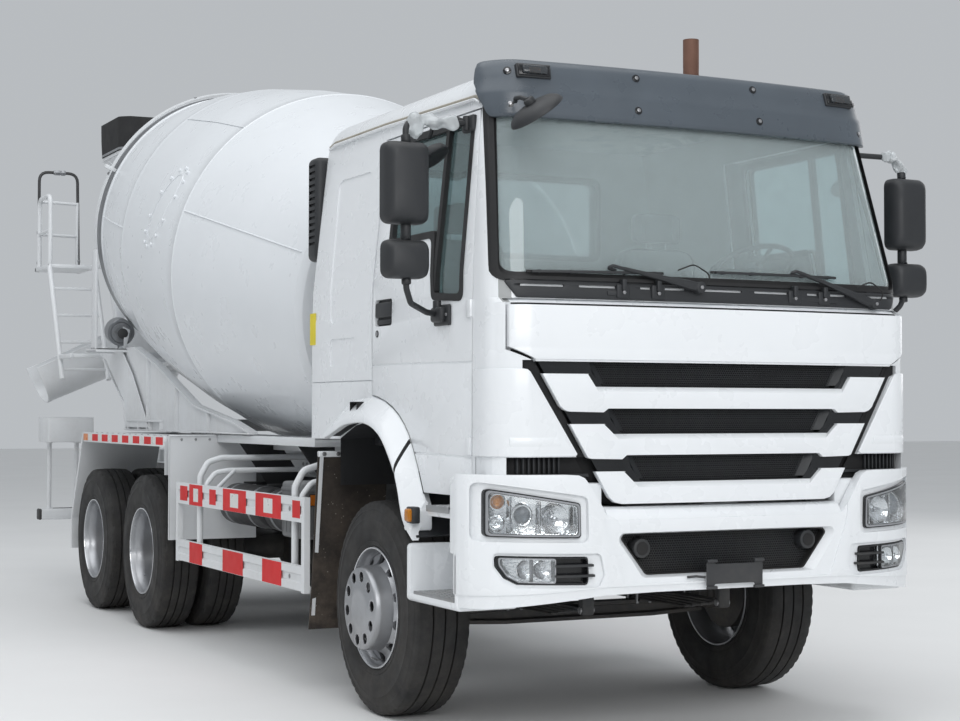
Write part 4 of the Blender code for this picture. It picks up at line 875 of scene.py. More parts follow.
def front_y(x, z, out=0.0):
    """The cab's front face at a place across and up."""
    for low, high in zip(CAB_RINGS, CAB_RINGS[1:]):
        if low[0] <= z <= high[0]:
            break
    t = (z - low[0]) / (high[0] - low[0])
    w, yf = low[1] + (high[1] - low[1]) * t, low[2] + (high[2] - low[2]) * t
    ax = abs(x)
    if ax <= w - FRONT_CORNER:
        return yf + CROWN * (ax / (w - FRONT_CORNER)) ** 2 - out
    c = min(1.0, (ax - (w - FRONT_CORNER)) / (FRONT_CORNER + out))
    return yf + CROWN + FRONT_CORNER - (FRONT_CORNER + out) * math.sqrt(1 - c * c)


def side_x(z, out=0.0):
    for (xa, za), (xb, zb) in zip(SIDE_WALL, SIDE_WALL[1:]):
        if za <= z <= zb:
            return xa + (xb - xa) * (z - za) / (zb - za) + out
    return SIDE_WALL[0][0] + out


LOW_EDGE = 1.132
DOOR = ((0.075, 2.895), (0.075, 1.60), (-0.005, 1.588), (-0.10, 1.567), (-0.19, 1.537), (-0.265, 1.500), (-0.33, 1.455), (-0.385, 1.405), (-0.43, 1.345), (-0.500, 1.235), (-0.555, LOW_EDGE), (-1.07, LOW_EDGE), (-1.07, 2.10), (-0.985, 2.895))
WINDOW = ((-0.10, 2.855), (-0.10, 2.36), (-0.61, 2.36), (-0.655, 2.06), (-0.955, 2.04), (-0.925, 2.855))
SIDE_WALL = ((1.14, 1.128), (1.14, 1.995), (1.135, 2.16), (1.05, 2.95), (1.02, 3.06))
ARCH = (((-0.585, 1.10), (-0.64, 0.914)), ((-0.555, 1.128), (-0.53, 1.00)), ((-0.43, 1.345), (-0.455, 1.17)), ((-0.33, 1.455), (-0.365, 1.29)), ((-0.19, 1.537), (-0.235, 1.40)),
        ((0.0, 1.588), (-0.05, 1.455)), ((0.20, 1.588), (0.20, 1.448)), ((0.38, 1.56), (0.36, 1.41)), ((0.55, 1.47), (0.50, 1.372)))
ARCH_CUT = ((-0.70, 0.9), (-0.60, 1.0), (-0.53, 1.128), (-0.45, 1.25), (-0.36, 1.35), (-0.23, 1.42), (-0.14, 1.448), (-0.05, 1.462), (0.08, 1.466), (0.20, 1.455), (0.29, 1.442), (0.36, 1.42), (0.50, 1.374), (0.50, 0.9))
WINDSCREEN = ((1.112, 2.106), (1.032, 2.945), (-1.032, 2.945), (-1.112, 2.106))
PANEL_TOP = 1.985
PANEL = ((1.085, PANEL_TOP), (1.085, 1.80), (0.985, 1.755), (0.60, 1.105), (-0.60, 1.105), (-0.985, 1.755), (-1.085, 1.80), (-1.085, PANEL_TOP))
PANEL_HOLE = tuple((x, z + {PANEL_TOP: 0.022, 1.80: -0.008, 1.755: -0.006}.get(z, 0.0)) for x, z in PANEL)
FLOOR_Z = 1.54


def side_slab(out, thick, y0, y1):
    outer = [(x + out, z) for x, z in SIDE_WALL]
    inner = [(x + out - thick, z) for x, z in SIDE_WALL][::-1]
    return slab(outer + inner, "Y", y0, y1)


def on_side(outline, out, deep, r=0.0):
    """What a (y, z) outline cuts from a slab along the left side wall, from out above its face to deep below it."""
    if r:
        outline = flat_round(outline, r)
    ys = [p[0] for p in outline]
    return keep(side_slab(out, out + deep, min(ys) - 0.05, max(ys) + 0.05), slab(outline, "X", 0.9, 1.3))


def on_front(outline, out, deep, r=0.0):
    """The same on the cab's front face, for an (x, z) outline."""
    if r:
        outline = flat_round(outline, r)
    skin = cut(cab_solid(out), cab_solid(-deep, z0=1.05))
    return keep(skin, slab(outline, "Y", -1.7, -0.95))


def line_cut(points, width, deep=0.008, out=0.02):
    """A groove cutter along (y, z) points on the left side wall."""
    pts = [Vector(p) for p in points]
    left, right_ = [], []
    for i, p in enumerate(pts):
        d = (pts[min(i + 1, len(pts) - 1)] - pts[max(i - 1, 0)]).normalized()
        n = Vector((-d.y, d.x)) * (width / 2)
        left.append(tuple(p + n))
        right_.append(tuple(p - n))
    return on_side(left + right_[::-1], out, deep)


def smooth_pairs(pairs, steps):
    """Catmull-Rom through pairs of points."""
    flat = [(*a, *b) for a, b in pairs]
    out = []
    for i in range(len(flat) - 1):
        p0, p1, p2, p3 = flat[max(i - 1, 0)], flat[i], flat[i + 1], flat[min(i + 2, len(flat) - 1)]
        for k in range(steps):
            t = k / steps
            out.append(tuple(0.5 * (2 * b + (c - a) * t + (2 * a - 5 * b + 4 * c - d) * t * t + (3 * b - a - 3 * c + d) * t ** 3) for a, b, c, d in zip(p0, p1, p2, p3)))
    out.append(flat[-1])
    return out


# shell: outer form, room, footwell, underside, arches, windows, doors, the front panel's pocket
ROOM_RINGS = ((FLOOR_Z, 1.14, -1.29, 0.975), (2.16, 1.135, -1.285, 0.975), (2.95, 1.05, -1.150, 0.962), (3.05, 1.01, -1.07, 0.93), (3.085, 0.93, -0.97, 0.86))
tool = lambda *a: shape_box(*a, r=0)
shell = cab_solid()
shell = cut(shell, cab_solid(out=-0.055, z0=FLOOR_Z, rings=ROOM_RINGS), tool(-1.08, 1.08, -1.055, -0.78, 1.19, 1.60), tool(-1.08, 1.08, -1.23, -0.95, 1.36, 1.61))
for sx in (1, -1):
    shell = cut(shell, tool(sx * 0.51, sx * 1.075, -0.95, -0.665, 1.195, 1.605))
shell = cut(shell, tool(-1.30, 1.30, 0.50, 1.2, 0.9, 1.37), tool(-0.45, 0.45, -0.72, 1.2, 0.9, 1.50), tool(-1.3, 1.3, -1.6, -1.11, 1.0, 1.315), tool(-0.62, 0.62, -0.62, 1.2, 0.9, 1.44))
for sx in (1, -1):
    shell = cut(shell, slab(ARCH_CUT, "X", sx * 0.60, sx * 1.35))
SCREEN_ROUND = flat_round(WINDSCREEN, 0.055, 5)
REAR_WINDOW = flat_round(((-0.66, 2.42), (0.66, 2.42), (0.66, 2.88), (-0.66, 2.88)), 0.05, 5)
shell = cut(shell, slab(SCREEN_ROUND, "Y", -1.6, -0.95), slab(REAR_WINDOW, "Y", 0.7, 1.2))
door_hole = on_side(inset(((0.0868, 2.895),) + DOOR[1:], -0.0078), 0.10, 0.11)
shell = cut(shell, mirror(door_hole), door_hole)
# the pocket takes the panel's skin, and a deeper cavity behind the grille
pocket = keep(cut(cab_solid(out=0.08, z0=1.02), cab_solid(out=-0.022, z0=1.0)), slab(inset(PANEL_HOLE, -0.007), "Y", -1.7, -1.15))
cavity = slab(((0.972, 1.748), (0.592, 1.110), (-0.592, 1.110), (-0.972, 1.748)), "Y", -1.6, -1.305)
shell = cut(shell, pocket, cavity)

# side wall behind the door: pressed recesses and the seam of the lower quarter
RECESSES = (((0.215, 2.745), (0.555, 2.745), (0.475, 1.995), (0.30, 1.995)), ((0.30, 1.890), (0.475, 1.890), (0.475, 1.745), (0.30, 1.745)))
SEAM = ((1.02, 1.672), (0.078, 1.672), (0.02, 1.668), (-0.126, 1.652), (-0.201, 1.616), (-0.26, 1.56))
groove = line_cut(SEAM[:2] + ((0.06, 1.671),), 0.0055, 0.009)
cuts = [groove]
cuts.append(on_side(((0.230, 2.760), (0.700, 2.760), (0.660, 1.985), (0.290, 1.985)), 0.02, 0.005, 0.05))
cuts.append(on_side(((0.290, 1.900), (0.660, 1.900), (0.660, 1.750), (0.290, 1.750)), 0.02, 0.005, 0.04))
for c in cuts:
    shell = cut(shell, mirror(c), c)
# a sunk channel beside the V, between the grille and the corner pads
channel = keep(cut(cab_solid(out=0.05), cab_solid(out=-0.020, z0=1.0)), slab(((1.03, 1.742), (1.03, 1.70), (0.995, 1.688), (0.772, 1.312), (0.700, 1.29), (0.97, 1.742)), "Y", -1.6, -1.15))
shell = cut(shell, mirror(channel), channel)
# three long ribs pressed up in the roof
for x in (-0.45, 0.0, 0.45):
    shell = join(shell, shape_box(x - 0.05, x + 0.05, -0.62, 0.60, 3.10, 3.128, r=0.007, seg=2))

cab = Piece("cab_shell_skin", "truck", "white_paint", ("cab_shell",))
cab.add(WHITE, shell)
cab.repaint(TRIM_LIGHT, lambda x, y, z, n: z > 1.185 and abs(x) < side_x(min(3.0, max(1.2, z))) - 0.045 and -1.29 < y < 0.93 and (z < 3.06) and not (y < -1.10 and z < 2.0 and abs(y + 1.305) < 0.03))
cab.repaint(LINER, lambda x, y, z, n: (y < -1.30 and y > front_y(x, max(1.13, z)) + 0.012 and z < 2.0 and abs(x) < 1.10))
cab.repaint(CHASSIS, lambda x, y, z, n: z < 1.50 and abs(x) < 1.085 and y > -1.12 and n.z < 0.3 and z < FLOOR_Z - 0.03)
cab.repaint(CHASSIS, lambda x, y, z, n: z < 1.49 and abs(x) < 1.10 and -0.62 < y < 0.6 and n.z < 0.5)


def flare(i0, i1):
    """The arch flare as a skin with a rolled lip, between two stations of the smooth line."""
    rings = []
    for yi, zi, yl, zl in LINE[i0:i1 + 1]:
        yi, zi = yi + (0.006 if yi < 0 else 0.0), zi - 0.008
        dy, dz = yi - yl, zi - zl
        ring = [(1.132, yi, zi), (1.1425, yi, zi), (1.150, yi - dy * 0.04, zi - dz * 0.04), (1.185, yl + dy * 0.70, zl + dz * 0.70), (1.215, yl + dy * 0.46, zl + dz * 0.46), (1.232, yl + dy * 0.30, zl + dz * 0.30),
                (1.240, yl + dy * 0.16, zl + dz * 0.16), (1.240, yl + dy * 0.03, zl + dz * 0.03), (1.236, yl, zl), (1.205, yl, zl), (1.200, yl + dy * 0.06, zl + dz * 0.06),
                (1.200, yl + dy * 0.20, zl + dz * 0.20), (1.150, yl + dy * 0.62, zl + dz * 0.62), (1.100, yl + dy * 0.60, zl + dz * 0.60), (1.100, yl + dy * 0.75, zl + dz * 0.75), (1.130, yl + dy * 0.80, zl + dz * 0.80)]
        rings.append(ring)
    return loft(rings)


LINE = smooth_pairs(ARCH, 6)
cab.both(WHITE, flare(0, 13))
cab.both(WHITE, flare(14, len(LINE) - 1))
cab.both(LINER, flare(13, 14))
# plastic arch liner inside the flare
liner = []
for yi, zi, yl, zl in LINE:
    liner.append([(1.215, yl, zl + 0.012), (1.215, yl, zl + 0.018), (0.70, yl + (yi - yl) * 0.2, zl + 0.030), (0.70, yl + (yi - yl) * 0.2, zl + 0.024)])
cab.both(PLASTIC, loft(liner))
# gutter strip over the door, window rubber at the rear, marker and label
GUTTER = [(1.046, -0.985, 2.945), (1.050, -0.94, 2.965), (1.050, 0.10, 2.985), (1.048, 0.80, 2.985), (1.035, 0.91, 2.975)]
cab.both(BEIGE, sweep(rounded(GUTTER, 0.05, 4), [(-0.008, -0.006), (0.010, -0.008), (0.013, 0.0), (0.008, 0.005), (-0.008, 0.006)]))
cab.both(WHITE, sweep(rounded([(1.052, -0.985, 2.930), (1.056, -0.94, 2.952), (1.056, 0.10, 2.972), (1.054, 0.80, 2.972), (1.042, 0.90, 2.962)], 0.05, 4), [(-0.012, -0.010), (0.010, -0.010), (0.014, -0.002), (0.010, 0.003), (-0.012, 0.003)]))
seal = cut(slab(flat_round(inset(((-0.66, 2.42), (0.66, 2.42), (0.66, 2.88), (-0.66, 2.88)), -0.018), 0.06, 5), "Y", 0.905, 0.985), slab(flat_round(inset(((-0.66, 2.42), (0.66, 2.42), (0.66, 2.88), (-0.66, 2.88)), 0.014), 0.04, 5), "Y", 0.8, 1.2))
cab.add(SEAL, seal)
cab.add(GLASS, slab(REAR_WINDOW, "Y", 0.938, 0.944))
# cab-mount brackets and cross rib under the floor
for x in (0.56, -0.56):
    cab.add(CHASSIS, shape_box(x - 0.035, x + 0.035, -0.60, 0.46, 1.425, 1.475, 0.008))
cab.add(CHASSIS, shape_box(-0.95, 0.95, 0.42, 0.50, 1.335, 1.385, 0.01))
# rear wall ribs
for x in (-0.80, -0.40, 0.0, 0.40, 0.80):
    cab.add(WHITE, shape_box(x - 0.02, x + 0.02, 0.968, 0.983, 1.45, 2.36, 0.006))
cab.add(YELLOW, slab(flat_round(((0.870, 1.878), (0.955, 1.878), (0.955, 2.052), (0.870, 2.052)), 0.006, 2), "X", -1.1412, -1.139))
# little side repeater and its base in front of the arch, both sides
cab.both(WHITE, shape_box(1.12, 1.2405, -0.615, -0.545, 0.955, 1.055, 0.012))
cab.both(AMBER, shape_box(1.225, 1.258, -0.645, -0.585, 1.000, 1.062, 0.012, 3))
cab.both(PLASTIC, shape_box(1.20, 1.243, -0.652, -0.578, 0.992, 1.070, 0.008))
# small square cap on the flare
cab.both(LINER, cut(shape_box(1.10, 1.2065, 0.118, 0.215, 1.500, 1.565, 0.004), shape_box(1.0, 1.3, 0.123, 0.210, 1.505, 1.560, 0.002)))
cab.done()


# ---------------------------------------------------------------- doors
def door(side):
    body = "door_" + side
    flip = (lambda s: s) if side == "left" else mirror
    p = Piece("door_" + side + "_skin", body, "white_paint", ("door_" + side,))
    skin = keep(side_slab(0.0, 0.055, -1.2, 0.2), slab(DOOR, "X", 0.9, 1.3))
    window = flat_round(WINDOW, 0.035, 4)
    skin = cut(skin, slab(window, "X", 0.9, 1.3))
    # creases across the lower door and the handle's bowl
    for line, w in ((((0.09, 1.748), (-0.20, 1.748), (-1.08, 1.738)), 0.010), (((-0.40, 1.318), (-1.08, 1.310)), 0.010)):
        skin = cut(skin, line_cut(line, w, 0.0045))
    skin = cut(skin, on_side(((0.045, 2.075), (0.045, 1.942), (-0.168, 1.942), (-0.168, 2.075)), 0.02, 0.022, 0.02))
    skin = bevelled(skin, 0.003, 50)
    p.add(WHITE, flip(skin))
    p.repaint(TRIM, lambda x, y, z, n: abs(x) < side_x(z) - 0.050)
    p.repaint(PLASTIC, lambda x, y, z, n: -0.17 < y < 0.048 and 1.94 < z < 2.08 and abs(x) < side_x(z) - 0.012 and abs(x) > side_x(z) - 0.03)
    # handle: a flap with a finger edge, and the lock
    p.add(PLASTIC, flip(shape_box(1.124, 1.1425, -0.160, 0.036, 1.985, 2.060, 0.008, 3)))
    p.add(PLASTIC, flip(shape_box(1.121, 1.136, -0.150, 0.026, 1.950, 1.975, 0.005, 2)))
    p.add(BOLT, flip(rod((1.136, 0.012, 1.905), (1.1445, 0.012, 1.905), 0.013, 20, edge=0.003)))
    p.add(PLASTIC, flip(rod((1.136, 0.012, 1.905), (1.1435, 0.012, 1.905), 0.018, 20, edge=0.002)))
    # window rubber, divider, frame
    frame_out, frame_in = flat_round(inset(WINDOW, -0.022), 0.045, 4), flat_round(inset(WINDOW, 0.012), 0.03, 4)
    rubber = cut(keep(side_slab(0.004, 0.030, -1.2, 0.2), slab(frame_out, "X", 0.9, 1.3)), slab(frame_in, "X", 0.8, 1.4))
    p.add(SEAL, flip(rubber))
    inner_rubber = cut(keep(side_slab(-0.050, 0.010, -1.2, 0.2), slab(frame_out, "X", 0.9, 1.3)), slab(frame_in, "X", 0.8, 1.4))
    p.add(SEAL, flip(inner_rubber))
    p.add(SEAL, flip(keep(side_slab(0.001, 0.030, -1.2, 0.2), slab(((-0.642, 2.87), (-0.642, 2.10), (-0.674, 2.08), (-0.674, 2.87)), "X", 0.9, 1.3))))
    # two hinges at the front edge
    for z in (1.36, 1.98):
        p.add(WHITE, flip(shape_box(1.128, 1.152, -1.076, -1.030, z - 0.04, z + 0.04, 0.004)))
    # inside: lining, armrest, pull, pocket
    p.add(TRIM_LIGHT, flip(keep(shape_box(1.060, 1.084, -1.02, 0.03, 1.63, 2.02, 0.006), slab(inset(DOOR, 0.03), "X", 0.9, 1.3))))
    p.add(TRIM, flip(shape_box(1.005, 1.075, -0.62, -0.12, 1.90, 1.95, 0.018, 3)))
    p.add(TRIM, flip(shape_box(1.020, 1.075, -0.90, -0.10, 1.66, 1.78, 0.012, 2)))
    p.add(BOLT, flip(tube([(1.07, -0.30, 2.02), (1.035, -0.30, 2.02), (1.035, -0.18, 2.02), (1.07, -0.18, 2.02)], 0.007, 8, bend=0.015)))
    p.done()
    g = Piece("door_" + side + "_pane", body, "glass", ("door_glass_" + side,))
    g.add(GLASS_SIDE, flip(keep(side_slab(-0.020, 0.006, -1.2, 0.2), slab(flat_round(inset(WINDOW, 0.0006), 0.034, 4), "X", 0.9, 1.3))))
    g.done()


door("left")
door("right")

# ---------------------------------------------------------------- windscreen with its black border and its rubber
glass = Piece("windscreen_pane", "truck", "glass", ("windscreen",))
pane = cut(roofless(-0.012), roofless(-0.020))
pane = keep(pane, slab(flat_round(inset(WINDSCREEN, 0.0006), 0.054, 5), "Y", -1.6, -0.98))
glass.add(GLASS, pane)
border = cut(roofless(-0.0105), roofless(-0.0205))
border = keep(border, slab(flat_round(inset(WINDSCREEN, 0.0006), 0.054, 5), "Y", -1.6, -0.98))
border = cut(border, slab(flat_round(((1.088, 2.134), (1.010, 2.90), (-1.010, 2.90), (-1.088, 2.134)), 0.05, 5), "Y", -1.7, -0.9))
glass.add(SEAL, border)
rubber = cut(roofless(0.006), roofless(-0.022))
rubber = keep(rubber, slab(flat_round(inset(WINDSCREEN, -0.014), 0.065, 5), "Y", -1.6, -0.98))
rubber = cut(rubber, slab(flat_round(inset(WINDSCREEN, 0.010), 0.05, 5), "Y", -1.7, -0.9))
glass.add(SEAL, rubber)
glass.done()

# ---------------------------------------------------------------- visor: a curved board with a crease, bolts and two lamps
VISOR_ROWS = ((2.846, 0.020), (2.850, 0.030), (2.868, 0.036), (2.905, 0.038), (2.955, 0.044), (2.975, 0.045), (2.990, 0.038), (3.040, 0.038), (3.085, 0.034), (3.112, 0.024), (3.122, 0.010))


def straight_row(z, out):
    for low, high in zip(STRAIGHT, STRAIGHT[1:]):
        if low[0] <= z <= high[0]:
            break
    t = (z - low[0]) / (high[0] - low[0])
    return cab_ring(z, *(low[k] + (high[k] - low[k]) * t for k in (1, 2, 3)), out=out)


visor = Piece("roof_visor_board", "truck", "black_plastic", ("roof_visor",))
outer_rows = [straight_row(z, o) for z, o in VISOR_ROWS]
body_v = loft(outer_rows)
body_v = cut(body_v, loft([straight_row(z, 0.004 if z < 3.0 else 0.002) for z in (2.80, 2.95, 3.05, 3.16)]))
# front part only, its rear edge leaning
body_v = keep(body_v, slab(((-1.6, 2.80), (-1.112, 2.80), (-0.955, 3.02), (-0.925, 3.20), (-1.6, 3.20)), "X", -1.3, 1.3))
body_v = bevelled(body_v, 0.004, 45)
visor.add(VISOR, body_v)


def on_straight(x, z, out):
    """A point on the visor's face, and the way it looks."""
    ring = straight_row(z, out)
    best = min((p for p in ring if p[1] < 0), key=lambda p: abs(p[0] - x))
    ring2 = straight_row(z + 0.03, out)
    best2 = min((p for p in ring2 if p[1] < 0), key=lambda p: abs(p[0] - x))
    i = ring.index(best)
    along = Vector(ring[(i + 1) % len(ring)]) - Vector(ring[i - 1])
    up = Vector(best2) - Vector(best)
    normal = along.cross(up).normalized()
    if normal.y > 0:
        normal = -normal
    return Vector(best), normal


for x, z, out in ((0.974, 3.062, 0.036), (0.329, 3.070, 0.036), (0.979, 2.905, 0.038), (0.34, 2.912, 0.038)):
    for sx in (1, -1):
        at_, n_ = on_straight(sx * x, z, out)
        at_ = Vector((sx * x, at_.y + 0.0, z))
        visor.add(GLOSS_BLACK, rod(at_ - n_ * 0.004, at_ + n_ * 0.004, 0.019, 20, edge=0.002))
        visor.add(BOLT, rod(at_, at_ + n_ * 0.009, 0.010, 6, edge=0.001))
for sx in (1, -1):
    at_, n_ = on_straight(sx * 0.857, 3.062, 0.036)
    base = Matrix.Translation(Vector((sx * 0.857, at_.y + Y0, 3.062))) @ n_.to_track_quat("Y", "Z").to_matrix().to_4x4()
    for look, b in ((PLASTIC, (-0.085, 0.085, -0.02, 0.014, -0.034, 0.034)), (GLOSS_BLACK, (-0.078, 0.078, 0.010, 0.020, -0.027, 0.027)), (SMOKE, (-0.060, 0.060, 0.016, 0.034, -0.019, 0.019)), (AMBER, (-0.030, 0.030, 0.012, 0.028, -0.011, 0.011))):
        one = shape_box(b[0], b[1], b[2], b[3], b[4], b[5], 0.006, 3)
        bmesh.ops.translate(one, vec=(0, -Y0, 0), verts=one.verts)
        visor.add(look, moved(one, base))
for x in (-0.7, 0.7, 0.0):
    visor.add(PLASTIC, rod((x, -1.02, 3.10), (x, -0.86, 3.118), 0.012, 10, edge=0.003))
visor.done()

# ---------------------------------------------------------------- cowl with its hinge brackets, wipers
cowl = Piece("windscreen_cowl_board", "truck", "black_plastic", ("windscreen_cowl",))
body_c = cut(loft([straight_row(z, o) for z, o in ((2.020, 0.010), (2.030, 0.012), (2.080, 0.012), (2.092, 0.009), (2.098, 0.003))]), loft([straight_row(z, 0.0004) for z in (1.99, 2.02, 2.10, 2.20)]))
body_c = keep(body_c, slab(flat_round(((-1.035, 2.02), (1.035, 2.02), (1.085, 2.098), (-1.085, 2.098)), 0.012, 3), "Y", -1.6, -1.18))
for k in range(7):                                                  # long slots of the air inlet
    x = -0.93 + k * 0.31
    body_c = cut(body_c, slab(flat_round(((x - 0.12, 2.070), (x + 0.12, 2.070), (x + 0.12, 2.080), (x - 0.12, 2.080)), 0.006, 2), "Y", -1.5, -1.3))
body_c = bevelled(body_c, 0.002, 45)
cowl.add(PLASTIC, body_c)
cowl.add(GLOSS_BLACK, keep(cut(loft([straight_row(z, 0.006) for z in (2.00, 2.05, 2.15, 2.18)]), loft([straight_row(z, 0.0004) for z in (1.99, 2.05, 2.15, 2.20)])), slab(((-1.07, 2.086), (1.07, 2.086), (1.08, 2.101), (-1.08, 2.101)), "Y", -1.6, -1.2)))
for x in (-0.52, -0.34, 0.42, 0.60):                                # hinge brackets over the panel's top edge
    y = front_y(x, 2.05)
    cowl.add(PLASTIC, shape_box(x - 0.035, x + 0.035, y - 0.022, y + 0.004, 2.026, 2.090, 0.008, 3))
    cowl.add(BOLT, rod((x, y - 0.030, 2.052), (x, y - 0.020, 2.052), 0.009, 6, edge=0.001))
    cowl.add(PLASTIC, shape_box(x - 0.012, x + 0.012, y - 0.034, y + 0.0, 2.060, 2.112, 0.006, 3))
for x0, x1 in ((-0.60, -0.26), (0.36, 0.68)):
    cowl.add(PLASTIC, shape_box(x0, x1, front_y(0.5, 2.05) - 0.014, front_y(0.5, 2.05) + 0.004, 2.036, 2.060, 0.005, 2))
cowl.done()

wipers = Piece("windscreen_wipers", "truck", "black_plastic")


def screen_at(x, z, out):
    """A point on the windscreen's outside."""
    for low, high in zip(STRAIGHT, STRAIGHT[1:]):
        if low[0] <= z <= high[0]:
            break
    t = (z - low[0]) / (high[0] - low[0])
    yf = low[2] + (high[2] - low[2]) * t
    return (x, yf + CROWN * (x / 0.93) ** 2 - out, z)


for hub_x, hub_z, tip, b0, b1 in ((-0.130, 2.085, (-0.545, 2.165), (-0.985, 2.135), (-0.300, 2.145)), (0.900, 2.040, (0.455, 2.175), (-0.045, 2.160), (0.690, 2.160))):
    hub = screen_at(hub_x, hub_z, 0.046)
    wipers.add(PLASTIC, rod((hub[0], hub[1] + 0.046, hub[2]), (hub[0], hub[1] - 0.010, hub[2]), 0.027, 24, edge=0.009))
    wipers.add(BOLT, rod((hub[0], hub[1] - 0.009, hub[2]), (hub[0], hub[1] - 0.016, hub[2]), 0.009, 6, edge=0.001))
    knee = (hub_x + (tip[0] - hub_x) * 0.42, hub_z + (tip[1] - hub_z) * 0.46)
    widths = ((0.0, 0.021), (0.12, 0.023), (0.42, 0.015), (0.75, 0.010), (0.95, 0.0085), (1.0, 0.008))
    rings = []
    for t, w in widths:
        x, z = hub_x + (tip[0] - hub_x) * t, hub_z + (tip[1] - hub_z) * t
        c = Vector(screen_at(x, z, 0.044 - 0.010 * t))
        across = Vector((-(tip[1] - hub_z), 0, tip[0] - hub_x)).normalized() * w
        deep = 0.011 - 0.005 * t
        rings.append([tuple(c + across + Vector((0, deep, 0))), tuple(c - across + Vector((0, deep, 0))), tuple(c - across * 0.8 + Vector((0, -deep * 0.5, 0))), tuple(c - across * 0.3 + Vector((0, -deep, 0))), tuple(c + across * 0.3 + Vector((0, -deep, 0))), tuple(c + across * 0.8 + Vector((0, -deep * 0.5, 0)))])
    wipers.add(PLASTIC, loft(rings))
    wipers.add(PLASTIC, tube([screen_at(tip[0] + 0.02, tip[1] - 0.006, 0.034), screen_at(tip[0] - 0.03, tip[1] + 0.006, 0.036), screen_at(tip[0] - 0.05, tip[1] - 0.004, 0.020), screen_at(tip[0] - 0.01, tip[1] - 0.014, 0.018)], 0.008, 10, bend=0.012))
    # washer hose in a loop over the arm's foot
    wipers.add(RUBBER, tube([screen_at(hub_x + 0.02, hub_z - 0.010, 0.030), screen_at(hub_x + 0.055, hub_z + 0.055, 0.060), screen_at(hub_x - 0.04, hub_z + 0.105, 0.066), screen_at(hub_x - 0.12, hub_z + 0.075, 0.050)], 0.0035, 8, bend=0.05))
    n = 16
    along = [(b0[0] + (b1[0] - b0[0]) * k / n, b0[1] + (b1[1] - b0[1]) * k / n) for k in range(n + 1)]
    wipers.add(RUBBER, sweep([screen_at(x, z, 0.004) for x, z in along], [(-0.005, -0.004), (0.005, -0.004), (0.002, 0.007), (-0.002, 0.007)]))
    spine = [screen_at(b0[0] + (b1[0] - b0[0]) * (0.03 + 0.94 * k / n), b0[1] + (b1[1] - b0[1]) * (0.03 + 0.94 * k / n), 0.013 + 0.012 * math.sin(math.pi * k / n)) for k in range(n + 1)]
    wipers.add(PLASTIC, sweep(spine, [(-0.010, -0.005), (0.010, -0.005), (0.008, 0.006), (-0.008, 0.006)]))
    for t in (0.08, 0.3, 0.7, 0.92):
        p0, p1 = screen_at(b0[0] + (b1[0] - b0[0]) * t, b0[1] + (b1[1] - b0[1]) * t, 0.004), screen_at(b0[0] + (b1[0] - b0[0]) * t, b0[1] + (b1[1] - b0[1]) * t, 0.022)
        wipers.add(PLASTIC, rod(p0, p1, 0.009, 10))
wipers.done()

